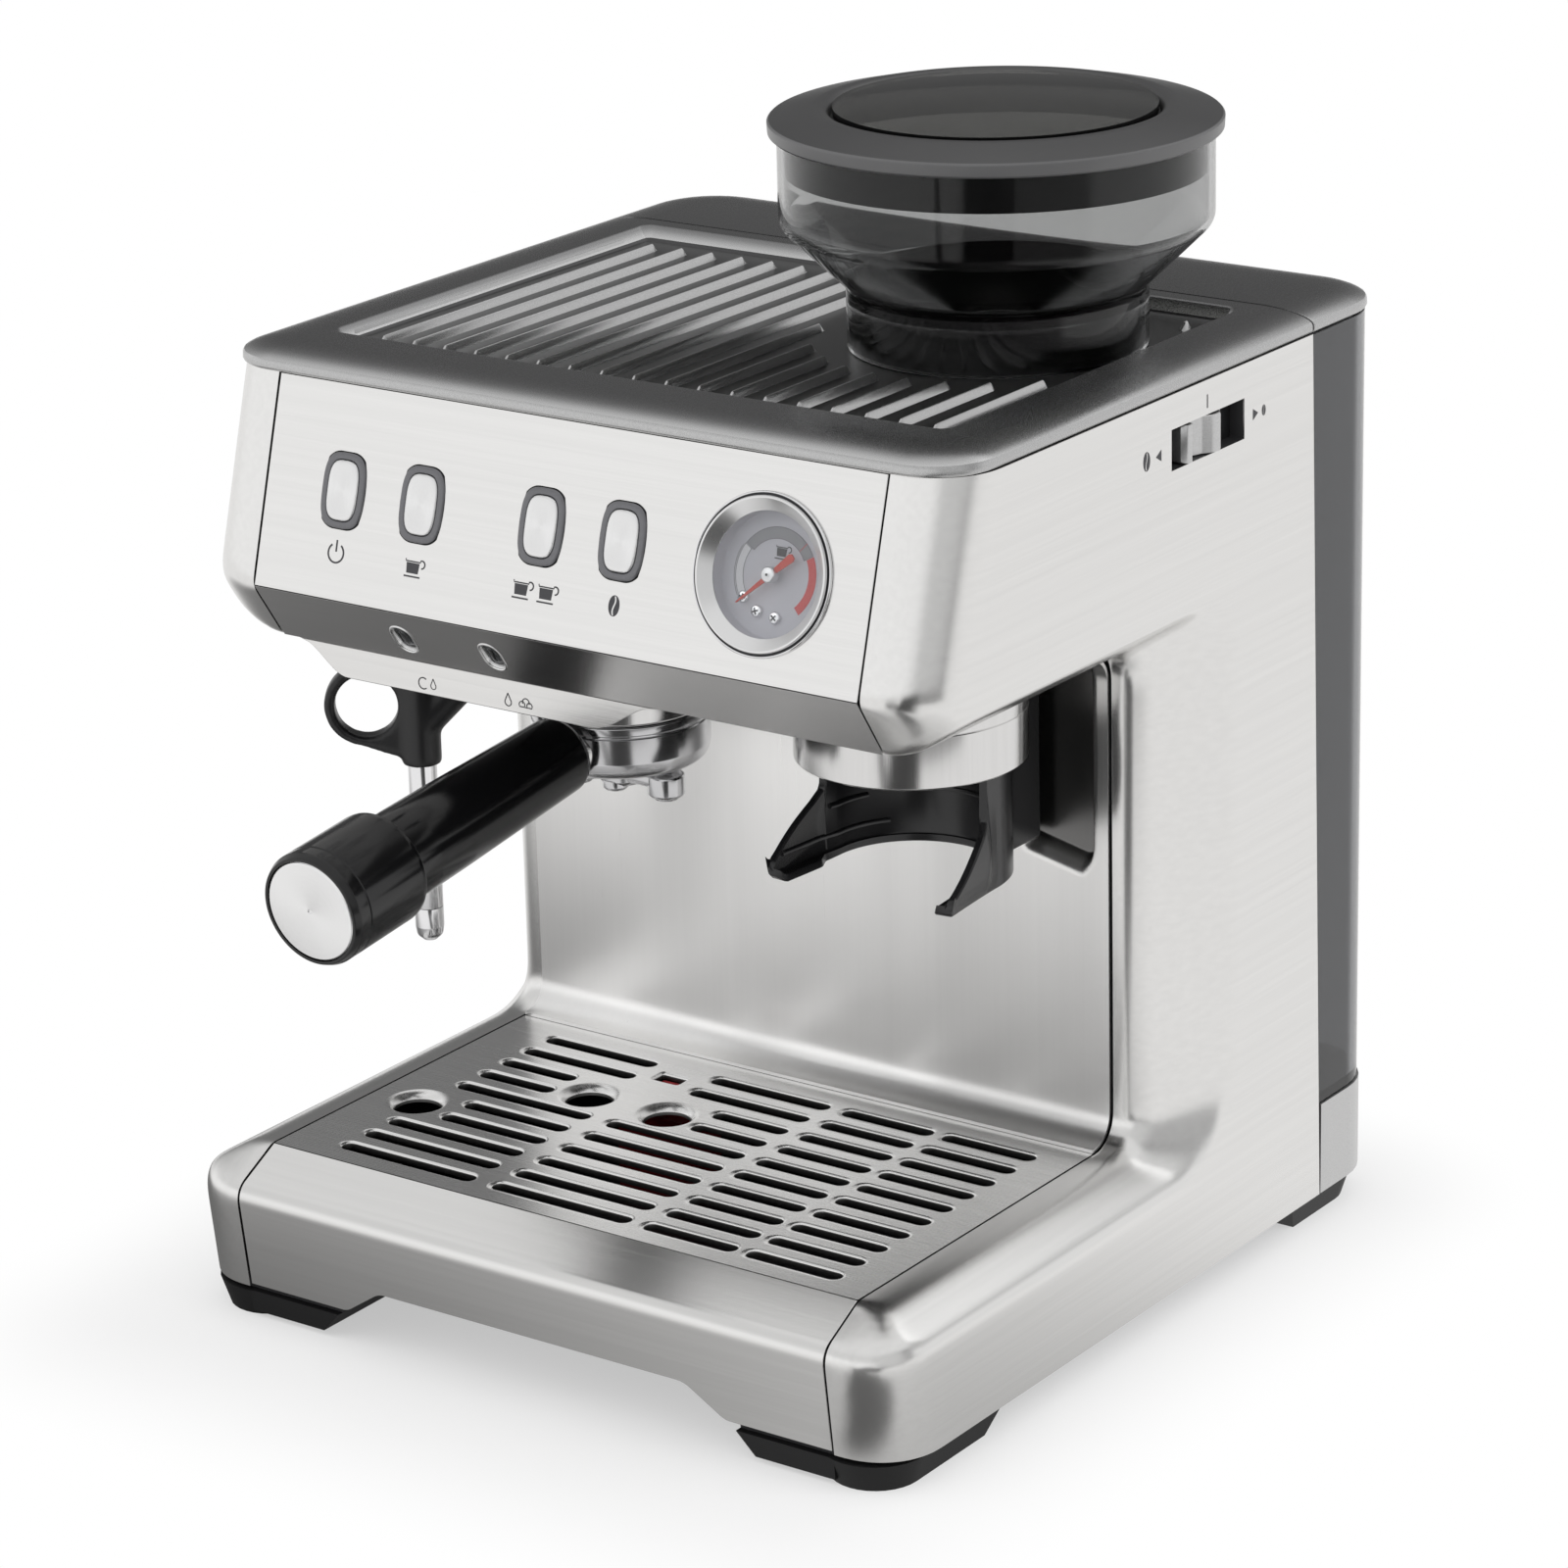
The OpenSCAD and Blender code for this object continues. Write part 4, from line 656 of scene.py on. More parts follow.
def rounded_path(points: Sequence[Sequence[float]], radii: Sequence[float], n: int = 8) -> Array:
    """A polyline with filleted bends.

    Each inner corner is replaced by the arc of its radius that touches both of its
    legs: the arc starts the radius times tan(half the turn) before the corner.

    Args:
        points: the corners, ends included.
        radii: one radius per inner corner, 0 for a sharp one.
        n: steps along each arc.

    Returns:
        The points of the path.
    """
    p = np.asarray(points, dtype=float)
    out = [p[0]]
    for i in range(1, len(p) - 1):
        r = radii[i - 1]
        a, b = p[i - 1] - p[i], p[i + 1] - p[i]
        a, b = a / np.linalg.norm(a), b / np.linalg.norm(b)
        turn = math.acos(float(np.clip(np.dot(a, b), -1, 1)))
        if r <= 0 or abs(turn - math.pi) < 1e-6:
            out.append(p[i])
            continue
        back = r / math.tan(turn / 2)
        bis = (a + b) / np.linalg.norm(a + b)
        centre = p[i] + bis * (r / math.sin(turn / 2))
        s, e = p[i] + a * back - centre, p[i] + b * back - centre
        sweep = math.pi - turn
        side = np.sign(s[0] * e[1] - s[1] * e[0])
        t = np.linspace(0, sweep, n + 1) * side
        cos, sin = np.cos(t), np.sin(t)
        out.extend(np.stack([s[0] * cos - s[1] * sin, s[0] * sin + s[1] * cos], 1) + centre)
    out.append(p[-1])
    return np.array(out)


def deck(half: float, y0: float, y1: float, front: float, back: float, n: int = 10) -> Array:
    """Plan outline of a rectangle with round corners, counter-clockwise: four quarter arcs.

    Args:
        half: half its width.
        y0: its front.
        y1: its back.
        front: radius of the front corners.
        back: radius of the back corners.
        n: steps along each corner.

    Returns:
        the outline.
    """
    f, b = max(front, 0.01), max(back, 0.01)
    return np.concatenate([
        arc(-half + f, y0 + f, f, 180, 270, n), arc(half - f, y0 + f, f, 270, 360, n),
        arc(half - b, y1 - b, b, 0, 90, n), arc(-half + b, y1 - b, b, 90, 180, n)])


def oval(a: float, b: float, power: float = 2.0, n: int = 64) -> Array:
    """Superellipse: each half-size times the cosine or sine raised to 2 over the power, sign kept.

    Args:
        a: half its width.
        b: half its height.
        power: 2 for an ellipse, more for a squarer outline.
        n: its points.

    Returns:
        the outline.
    """
    t = np.linspace(0, 2 * np.pi, n, endpoint=False)
    c, s = np.cos(t), np.sin(t)
    return np.stack(
        [a * np.sign(c) * np.abs(c) ** (2 / power), b * np.sign(s) * np.abs(s) ** (2 / power)], 1)


def lift(outline: Array, z: float) -> Array:
    """A plan outline raised to a height."""
    return np.column_stack([outline, np.full(len(outline), z)])


def stand(outline: Array, x: float) -> Array:
    """An outline of (y, z) that stands at a station of x."""
    return np.column_stack([np.full(len(outline), x), outline])


class Mesh:
    """Vertices and faces gathered for one piece, in machine millimetres."""

    def __init__(self) -> None:
        """Starts empty."""
        self.points: list[Array] = []
        self.faces: list[tuple[int, ...]] = []
        self.count = 0

    def add(self, points: Array, faces: Iterable[Sequence[int]]) -> "Mesh":
        """Adds vertices and the faces that index them.

        Args:
            points: the vertices.
            faces: their faces, counted from the first of them.

        Returns:
            this mesh.
        """
        base = self.count
        self.points.append(np.asarray(points, dtype=float).reshape(-1, 3))
        self.count += len(self.points[-1])
        self.faces.extend(tuple(int(i) + base for i in f) for f in faces)
        return self

    def join(self, other: "Mesh") -> "Mesh":
        """Adds all of another mesh."""
        return self.add(np.concatenate(other.points), other.faces)

    def grid(
            self, g: Array | list[Array], wrap: bool = False, flip: bool = False, ends: bool = False
    ) -> "Mesh":
        """Adds a surface given on a grid.

        Args:
            g: points in rows, shape (rows, columns, 3).
            wrap: whether each row closes on itself.
            flip: whether to turn the faces over.
            ends: whether to close the first and last rows with a face.

        Returns:
            this mesh.
        """
        g = np.asarray(g)
        m, n = g.shape[:2]
        idx = np.arange(m * n).reshape(m, n)
        nxt = np.roll(idx, -1, axis=1) if wrap else idx[:, 1:]
        cur = idx if wrap else idx[:, :-1]
        quads = np.stack([cur[:-1], nxt[:-1], nxt[1:], cur[1:]], -1).reshape(-1, 4)
        quads = quads[:, ::-1] if flip else quads
        faces = [tuple(q) for q in quads]
        if ends:
            a, b = tuple(idx[0][::-1]), tuple(idx[-1])
            faces += [a[::-1], b[::-1]] if flip else [a, b]
        return self.add(g, faces)

    def plate(
            self, outline: Array, holes: Sequence[Array], to3: Callable[[Array], Array], flip: bool = False
    ) -> "Mesh":
        """Adds a flat face with holes, cut into triangles.

        Args:
            outline: its edge in the plane.
            holes: the edges of its holes.
            to3: carries points of the plane into space.
            flip: whether to turn the faces over.

        Returns:
            this mesh.
        """
        rings = [np.asarray(outline, dtype=float), *[np.asarray(h, dtype=float) for h in holes]]
        tris = tessellate_polygon([[Vector((p[0], p[1], 0)) for p in ring] for ring in rings])
        flat = np.concatenate(rings)
        faces = []
        for t in tris:
            a, b, c = (flat[i] for i in t)
            up = (b[0] - a[0]) * (c[1] - a[1]) - (b[1] - a[1]) * (c[0] - a[0]) > 0
            faces.append(tuple(t) if up != flip else tuple(t[::-1]))
        return self.add(to3(flat), faces)

    def build(
            self, name: str, finish: Material, smooth: float = 35.0, mend: bool = False) -> Piece:
        """Makes the Blender object; vertices nearer than the welding distance in metres join.

        Args:
            name: the piece's name.
            finish: its material.
            smooth: edges that turn by less than this many degrees are shaded smooth.
            mend: whether to work out the outward side again.

        Returns:
            The object, at the origin.
        """
        data = bpy.data.meshes.new(name)
        data.from_pydata(put(np.concatenate(self.points)).tolist(), [], self.faces)
        bm = bmesh.new()
        bm.from_mesh(data)
        bmesh.ops.remove_doubles(bm, verts=bm.verts, dist=WELD)
        if mend:
            bmesh.ops.recalc_face_normals(bm, faces=bm.faces)
        soften(bm, smooth)
        bm.to_mesh(data)
        bm.free()
        data.materials.append(finish)
        obj = bpy.data.objects.new(name, data)
        bpy.context.scene.collection.objects.link(obj)
        return obj

    def piece(
            self, name: str, finish: Material, smooth: float, body: str, *nodes: str, slot: str,
            mend: bool = True) -> Piece:
        """Makes the Blender object, and lets it ride on a body.

        Args:
            name: the piece's name.
            finish: its material.
            smooth: edges that turn by less than this many degrees are shaded smooth.
            body: the body.
            nodes: CAD nodes that it stands for.
            slot: handed to settle().
            mend: whether to work out the outward side again.

        Returns:
            The object, at the origin.
        """
        return settle(self.build(name, finish, smooth, mend=mend), body, *nodes, slot=slot)


def soften(bm: bmesh.types.BMesh, smooth: float) -> None:
    """Shades faces smooth and marks sharp edges.

    Args:
        bm: the mesh.
        smooth: the turn in degrees above which an edge is sharp.
    """
    limit = math.radians(smooth)
    for f in bm.faces:
        f.smooth = True
    for e in bm.edges:
        e.smooth = len(e.link_faces) == 2 and e.calc_face_angle(0.0) < limit


def bevel(obj: Piece, width: float, segments: int = 2, angle: float = 35.0) -> Piece:
    """Rounds the sharp edges of a piece.

    Args:
        obj: the piece.
        width: width of the rounding in millimetres.
        segments: steps across it.
        angle: the turn in degrees above which an edge is rounded.

    Returns:
        the same piece.
    """
    mod = obj.modifiers.new("edges", "BEVEL")
    mod.width = width * MM
    mod.segments = segments
    mod.limit_method = "ANGLE"
    mod.angle_limit = math.radians(angle)
    mod.harden_normals = True
    return obj


def weigh(obj: Piece) -> Piece:
    """Makes large flat faces lead the shading of their rounded edges.

    Args:
        obj: the piece.

    Returns:
        the same piece.
    """
    mod = obj.modifiers.new("shading", "WEIGHTED_NORMAL")
    mod.keep_sharp = True
    return obj


def thicken(obj: Piece, width: float) -> Piece:
    """Gives a sheet its thickness behind its faces.

    Args:
        obj: the sheet.
        width: its thickness in millimetres.

    Returns:
        the same piece.
    """
    mod = obj.modifiers.new("sheet", "SOLIDIFY")
    mod.thickness = width * MM
    mod.offset = -1.0
    mod.use_even_offset = True
    return obj


def applied(obj: Piece) -> Piece:
    """Turns a piece's modifiers into its mesh.

    Args:
        obj: the piece.

    Returns:
        the same piece.
    """
    data = bpy.data.meshes.new_from_object(obj.evaluated_get(bpy.context.evaluated_depsgraph_get()))
    obj.modifiers.clear()
    obj.data = data
    return obj


def skin(obj: Piece, grain: float) -> None:
    """Adds a modifier that rebuilds the surface with faces of one size.

    Args:
        obj: the piece.
        grain: the size in millimetres.
    """
    mod = obj.modifiers.new("skin", "REMESH")
    mod.mode = "VOXEL"
    mod.voxel_size = grain * MM
    mod.use_smooth_shade = True


def relax(obj: Piece, rounds: int, group: str = "") -> None:
    """Adds a modifier that evens the surface.

    Args:
        obj: the piece.
        rounds: how often each point moves half way to its neighbours' middle.
        group: the vertex group that weighs it, if any.
    """
    mod = obj.modifiers.new("relax", "SMOOTH")
    mod.factor = 0.5
    mod.iterations = rounds
    mod.vertex_group = group


def cut(obj: Piece, tools: Sequence[Piece], smooth: float = 30.0) -> Piece:
    """Cuts other closed pieces out of one, and removes them.

    Args:
        obj: the piece.
        tools: what is cut out.
        smooth: the angle under which an edge is shaded smooth.

    Returns:
        the same piece.
    """
    for tool in tools:
        mod = obj.modifiers.new("cut", "BOOLEAN")
        mod.operation = "DIFFERENCE"
        mod.solver = "EXACT"
        mod.object = tool
    applied(obj)
    for tool in tools:
        bpy.data.objects.remove(tool, do_unlink=True)
    bm = bmesh.new()
    bm.from_mesh(obj.data)
    bmesh.ops.remove_doubles(bm, verts=bm.verts, dist=WELD)
    soften(bm, smooth)
    bm.to_mesh(obj.data)
    bm.free()
    return obj


def turned(profile: Array, n: int = 96) -> Array:
    """Grid of a profile turned about Z: each row is a circle of its radius at its height.

    Args:
        profile: points of (radius, height).
        n: steps round the axis.

    Returns:
        the grid.
    """
    t = np.linspace(0, 2 * np.pi, n, endpoint=False)
    r, z = profile[:, 0:1], profile[:, 1:2]
    return np.stack([r * np.cos(t), r * np.sin(t), z + 0 * t], -1)


@dataclass(frozen=True)
class Axes:
    """A local frame: an origin and three directions, in machine millimetres."""

    origin: tuple[float, float, float]
    x: tuple[float, float, float] = (1, 0, 0)
    y: tuple[float, float, float] = (0, 1, 0)
    z: tuple[float, float, float] = (0, 0, 1)

    def out(self, p: Array) -> Array:
        """Local points to machine points: origin plus each coordinate times its direction.

        Args:
            p: points, their coordinates in the last place.

        Returns:
            the machine points.
        """
        p = np.asarray(p, dtype=float)
        x, y, z = (p[..., i:i + 1] * np.array(way) for i, way in enumerate((self.x, self.y, self.z)))
        return np.array(self.origin) + x + y + z


def revolve(at: Axes, profile: Array, n: int = 96, ring: bool = False) -> Mesh:
    """A skin turned about a frame's Z: each point of the profile (radius, height) becomes a circle.

    Args:
        at: the frame.
        profile: points from one end of the axis to the other, or round a ring's section.
        n: steps round the axis.
        ring: whether to join the profile's end to its start.

    Returns:
        the mesh.
    """
    p = np.asarray(profile, dtype=float)
    return Mesh().grid(at.out(turned(np.vstack([p, p[:1]]) if ring else p, n)), wrap=True)


def loft(
        at: Axes, stations: Sequence[tuple[float, float, float, float, float]], power: float = 2.6,
        n: int = 48) -> Mesh:
    """A closed body through superellipses.

    Args:
        at: its frame.
        stations: for each outline z, the centre's y, two half-sizes and a shift in x.
        power: the superellipses' power.
        n: points of each outline.

    Returns:
        the mesh.
    """
    rows = []
    for z, y, a, b, x in stations:
        ring = oval(a, b, power, n)
        rows.append(np.column_stack([ring[:, 0] + x, ring[:, 1] + y, np.full(n, z)]))
    return Mesh().grid(at.out(rows), wrap=True, ends=True)


def refined(
        node: str, name: str, finish: Material, body: str, width: float = 0.3, smooth: float = 30.0,
        segments: int = 2) -> Piece:
    """A dressed copy of a CAD node.

    Vertices are merged, flat faces joined, edges rounded and curves shaded smooth.

    Args:
        node: the CAD node it stands for.
        name: the new piece's name.
        finish: its material.
        body: the body it rides on.
        width: the rounding of its edges in millimetres, 0 for none.
        smooth: the angle under which an edge is shaded smooth.
        segments: steps across each rounded edge.

    Returns:
        the piece.
    """
    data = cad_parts[node].data.copy()
    data.name = name
    bm = bmesh.new()
    bm.from_mesh(data)
    bmesh.ops.remove_doubles(bm, verts=bm.verts, dist=2 * WELD)
    bmesh.ops.dissolve_limit(bm, angle_limit=math.radians(0.6), verts=bm.verts, edges=bm.edges)
    soften(bm, smooth)
    bm.to_mesh(data)
    bm.free()
    data.materials.clear()
    data.materials.append(finish)
    obj = bpy.data.objects.new(name, data)
    bpy.context.scene.collection.objects.link(obj)
    if width > 0:
        bevel(obj, width, segments, max(smooth, 30.0))
    weigh(obj)
    return settle(obj, body, node)


def melted(obj: Piece, grain: float, rounds: int) -> Piece:
    """Rounds a moulding's joints with an even skin that is relaxed.

    Args:
        obj: the moulding.
        grain: the skin's mesh size in millimetres.
        rounds: rounds of relaxing.

    Returns:
        the same piece.
    """
    obj.modifiers.clear()
    skin(obj, grain)
    relax(obj, rounds)
    return applied(obj)


def relaxed(obj: Piece, grain: float, rounds: int, share: Callable[[Array], Array]) -> Piece:
    """Gives a solid an even skin and relaxes it where a share says so.

    Args:
        obj: the solid.
        grain: the skin's mesh size in millimetres.
        rounds: rounds of relaxing at share 1.
        share: takes (n, 3) points in machine millimetres and gives n weights from 0 to 1.

    Returns:
        the same piece.
    """
    skin(obj, grain)
    applied(obj)
    flat = np.empty(len(obj.data.vertices) * 3)
    obj.data.vertices.foreach_get("co", flat)
    weights = share((flat.reshape(-1, 3) - ORIGIN) / MM)
    levels, first = 10, 4
    steps = np.round(weights * levels).astype(int)
    group = obj.vertex_groups.new(name="soft")
    for level in range(1, levels + 1):
        group.add(np.nonzero(steps == level)[0].tolist(), level / levels, "REPLACE")
    for turns, name in ((first, ""), (rounds, "soft")):
        relax(obj, turns, name)
    applied(obj)
    obj.vertex_groups.clear()
    return obj


def settle(obj: Piece, body: str, *nodes: str, slot: str | None = None) -> Piece:
    """Lets a new piece ride on a body, and logs it.

    Args:
        obj: the piece.
        body: the body.
        nodes: CAD nodes that it stands for.
        slot: not used.

    Returns:
        the same piece.
    """
    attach(obj, body)
    if nodes:
        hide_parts(*nodes)
    log.info("piece %s on %s", obj.name, body)
    return obj


def dress(finish: Material, *nodes: str) -> None:
    """Gives CAD nodes that keep their own shape a finish, and logs them.

    Args:
        finish: the material.
        nodes: the nodes.
    """
    for node in nodes:
        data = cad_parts[node].data
        data.materials.clear()
        data.materials.append(finish)
        log.info("node %s keeps its shape", node)


# --------------------------------------------------------------- sub-assemblies


@dataclass(frozen=True)
class Sizes:
    """Leading sizes of the machine in millimetres, in machine coordinates."""

    half: float = 144.0
    inner: float = 118.5
    seam: float = 0.8
    foot: float = 11.0
    grid_z: float = 57.5
    fold_y: float = 19.7
    head_z: float = 230.0
    top_z: float = 317.0
    wall_y: float = 167.8
    depth: float = 306.0

    def rear(self, z: float) -> float:
        """Setback of the casings' rear edge, which leans by 9 mm over its height."""
        return 256.0 + 9.0 * (0.5 - (z - self.foot) / (self.top_z - self.foot))


S = Sizes()
LEAN = math.atan2(19.0, 67.0)
LIP_LEAN = math.atan2(13.5, 20.0)
PANEL = Axes(
    (0, 26.0, 250.0), y=(0, math.sin(LEAN), math.cos(LEAN)), z=(0, -math.cos(LEAN), math.sin(LEAN)))
LIP = Axes(
    (0, 39.5, S.head_z), y=(0, -math.sin(LIP_LEAN), math.cos(LIP_LEAN)),
    z=(0, -math.cos(LIP_LEAN), -math.sin(LIP_LEAN)))


@dataclass
class Casings:
    """The two side casings: folded shells with the cup bay's flare."""

    corner: float = 21.0
    strip: float = 8.5
    flare: tuple[float, float, float] = (10.0, 36.0, 12.0)
    slot: tuple[float, float, float, float] = (163.8, 208.2, 292.3, 305.7)
    crease: float = 57.0
    grain: float = 1.6
    rounds: int = 30

    def outer(self) -> Mesh:
        """Outer form: the plan with its round corner, moved back and forth along the front line.

        It is longer than the casing at the seam, the rear, the top and the foot, where trim() ends it.

        Returns:
            the mesh of the right side.
        """
        line = rounded_path(
            [(5.4, 3), (0, 47.2), (19.7, 57.5), (39.5, 230), (26, 250), (47.2, 325)], [7, 5, 6, 5], 8)
        rows = []
        for y, z in line:
            front = np.concatenate([
                [(S.inner - 6, y)], arc(S.half - self.corner, y + self.corner, self.corner, 270, 360, 20),
                [(S.half, S.rear(z) + 8), (S.inner - 6, S.rear(z) + 8)]])
            rows.append(lift(front, z))
        return Mesh().grid(rows, wrap=True, ends=True)

    def bay(self) -> Mesh:
        """The opening: rounded outlines of (y, z) at stations of x, opened by the flare's share.

        The flare's profile is filleted at both ends.

        Returns:
            the mesh of the right side.
        """
        base, column, head = self.flare
        x0 = S.inner + self.strip
        path = rounded_path(
            [(100, 0), (x0, 0), (S.half + 0.02, column * 0.99), (S.half + 0.02, column + 22)], [9, 8], 10)
        path = path[path[:, 1] < column + 12]
        path = np.vstack([path, [[S.half + 6, path[-1, 1]]]])
        rows = []
        for x, grown in path:
            share = grown / column
            low, r = 11 + 24 * share, 11 + 13 * share
            y1 = S.wall_y + column * share
            z0, z1 = S.grid_z - base * share, S.head_z + head * share
            ring = np.concatenate([
                [(-40, z0)], arc(y1 - low, z0 + low, low, 270, 360, 20), arc(y1 - r, z1 - r, r, 0, 90, 14),
                [(-40, z1)]])
            rows.append(stand(ring, x))
        return Mesh().grid(rows, wrap=True, ends=True)

    def softness(self, p: Array) -> Array:
        """Share of relaxing: full on the flare and the outer ridges, less towards the front's seam."""
        return np.clip((np.abs(p[:, 0]) - 120.5) / 7, 0, 1)

    def trim(self, shell: Piece, side: int) -> Piece:
        """Ends the shell at its seam, rear, top and foot by planes, and closes the cuts.

        Args:
            shell: the casing.
            side: 1 for the right one, -1 for the left.

        Returns:
            the same piece.
        """
        lean = Vector((0, 306.0, 9.0)).normalized()
        planes = (
            ((side * (S.inner + S.seam / 2), 0, 0), Vector((-side, 0, 0))),
            ((0, S.rear(164.0), 164.0), lean), ((0, 0, S.top_z), Vector((0, 0, 1))),
            ((0, 0, S.foot), Vector((0, 0, -1))))
        bm = bmesh.new()
        bm.from_mesh(shell.data)
        for point, normal in planes:
            where = Vector(put(np.array(point, dtype=float)))
            done = bmesh.ops.bisect_plane(
                bm, geom=[*bm.verts, *bm.edges, *bm.faces], dist=1e-7, plane_co=where, plane_no=normal,
                clear_outer=True)
            rim = [e for e in done["geom_cut"] if isinstance(e, bmesh.types.BMEdge)]
            lids = bmesh.ops.triangle_fill(bm, use_beauty=True, use_dissolve=True, edges=rim, normal=normal)
            for face in lids["geom"]:
                if isinstance(face, bmesh.types.BMFace):
                    face.smooth = False
        bmesh.ops.recalc_face_normals(bm, faces=bm.faces)
        soften(bm, 50.0)
        bm.to_mesh(shell.data)
        bm.free()
        return shell

    def build(self, use: Finishes) -> None:
        """Builds both casings; the right one has the grind slider's slot.

        Args:
            use: the machine's finishes.
        """
        for side, name in ((1, "side_casing_right"), (-1, "side_casing_left")):
            shells = []
            for form, label in ((self.outer(), name + "_shell"), (self.bay(), name + "_bay")):
                form.points = [p * np.array([side, 1, 1]) for p in form.points]
                shells.append(form.build(label, use.flank, mend=True))
            shell = self.trim(
                relaxed(cut(shells[0], [shells[1]], self.crease), self.grain, self.rounds, self.softness),
                side)
            if side > 0:
                y0, y1, z0, z1 = self.slot
                ring = np.array([(y0, z0), (y1, z0), (y1, z1), (y0, z1)])
                box = np.array([stand(ring, x) for x in (S.half - 12, S.half + 4)])
                tool = Mesh().grid(box, wrap=True, ends=True).build("slot_tool", use.flank, mend=True)
                shell = cut(shell, [tool], self.crease)
            settle(shell, "body", name)


@dataclass
class Cover:
    """The cup-warming cover and the tank's lid behind it."""

    crown: tuple[tuple[float, float], ...] = (
        (0.0, 0.9), (0.06, 0.3), (0.14, 0.0), (0.4, 0.1), (0.52, 0.6), (0.62, 1.8), (0.72, 3.6),
        (0.82, 6.2), (0.9, 9.6), (0.96, 13.4), (1.0, 18.0))
    height: float = 7.0
    base: float = 317.3
    floor: float = 319.5
    plan: tuple[float, float] = (43.0, 251.5)
    recess: tuple[float, float, float, float] = (120.2, 73.4, 244.6, 4.6)
    hopper: tuple[float, float, float] = (65.6, 185.0, 59.8)
    rib_row: tuple[int, float, float] = (19, 12.7, -4.5)
    rib_ends: tuple[float, float] = (80.5, 231.0)

    def cover(self) -> Mesh:
        """Closed skin of plan outlines: up the crown, over the rim, down the soft wall, across the floor.

        Returns:
            the mesh.
        """
        front, back = self.plan
        rows = []
        for share, inset in self.crown:
            plan = deck(S.half - inset, front + inset, back, max(21 - inset, 3), 0.3)
            rows.append(lift(plan, self.base + self.height * share))
        top = self.base + self.height
        wall = rounded_path(
            [(4.2, top - 0.05), (0.4, top), (-3.4, self.floor), (-12, self.floor)], [2.6, 2.6], 6)
        half, y0, y1, r = self.recess
        for out, z in wall:
            radii = r + max(out, -3.5), r + max(min(out, 4), -3.5)
            rows.append(lift(deck(half + out, y0 - out, y1 + min(out, 3.5), *radii), z))
        return Mesh().grid(rows, wrap=True, ends=True)

    def ribs(self) -> Mesh:
        """Ribs along Y that stop at a circle round the hopper: a rounded crest over a wide foot.

        Returns:
            the mesh.
        """
        mesh = Mesh()
        cx, cy, clear = self.hopper
        count, pitch, shift = self.rib_row
        first, last = self.rib_ends
        shortest = 5
        for i in range(count):
            x = (i - count // 2) * pitch + shift
            off = abs(x - cx)
            chord = math.sqrt(max(clear**2 - off**2, 0))
            spans = [(first, cy - chord if chord else last)]
            if chord:
                spans.append((cy + chord, last))
            for y0, y1 in spans:
                if y1 - y0 > shortest:
                    self.rib(mesh, x, y0, y1)
        return mesh

    def rib(self, mesh: Mesh, x: float, y0: float, y1: float) -> None:
        """Adds one rib: cross-sections that shrink to the ends over a short ramp.

        Args:
            mesh: the mesh of all ribs.
            x: its place.
            y0: its front end.
            y1: its rear end.
        """
        section = np.array([
            (-1.35, -0.1), (-0.42, 2.45), (-0.2, 2.7), (0.2, 2.7), (0.42, 2.45), (1.35, -0.1)])
        low, high, full = (0.03, 0.9), (0.93, 1.0), (1.0, 1.0)
        stations = (
            (y0, low), (y0 + 2.4, high), (y0 + 2.9, full), (y1 - 2.2, full), (y1 - 1.8, high), (y1, low))
        rows = []
        for y, (k, w) in stations:
            rows.append(
                np.column_stack([
                    x + section[:, 0] * w, np.full(len(section), y), self.floor + section[:, 1] * k]))
        mesh.grid(rows, wrap=True, ends=True, flip=True)

    def lid(self) -> Mesh:
        """The tank's lid: the same crown, square at the seam and round at the back corners.

        Returns:
            the mesh.
        """
        rows = []
        front = self.plan[1] + 0.9
        for share, inset in self.crown:
            plan = deck(S.half - inset, front, S.depth - inset, 0.3, max(26 - inset, 4))
            rows.append(lift(plan, self.base + self.height * share))
        return Mesh().grid(rows, wrap=True, ends=True)

    def share_out(self, shell: Piece, others: Sequence[Material]) -> Piece:
        """Gives the low outer rim a paler finish, a painted highlight, and the floor of the recess a darker
        one, painted shade.

        Args:
            shell: the cover or the lid.
            others: the finishes of rim and floor; the rim's one is a painted highlight.

        Returns:
            the same piece.
        """
        half, y0, y1, band = 117.5, 76.0, 242.5, 3.4
        for finish in others:
            shell.data.materials.append(finish)
        for face in shell.data.polygons:
            x, y, z = (np.array(face.center) - ORIGIN) / MM
            inside = abs(x) < half and y0 < y < y1
            low = z < self.base + band and not inside
            # index 1 paints a highlight on the low rim; on the cover, index 2 paints shade on the recess
            # floor
            face.material_index = 2 if inside and z > S.top_z + 1 else int(low)
        return shell

    def build(self, use: Finishes) -> None:
        """Builds the cover, its ribs and the tank's lid.

        Args:
            use: the machine's finishes.
        """
        cover = self.share_out(
            self.cover().build("top_cover_shell", use.graphite, 28, mend=True), (use.pale, use.recess))
        settle(cover, "body", "top_cover", slot="cover_graphite")
        self.ribs().piece("cover_ribs", use.rib_metal, 24, "body", slot="cover_graphite")
        lid = self.share_out(
            self.lid().build("tank_lid_shell", use.graphite, 28, mend=True), (use.pale, use.graphite))
        settle(lid, "lid_of_tank", "tank_lid", slot="cover_graphite")


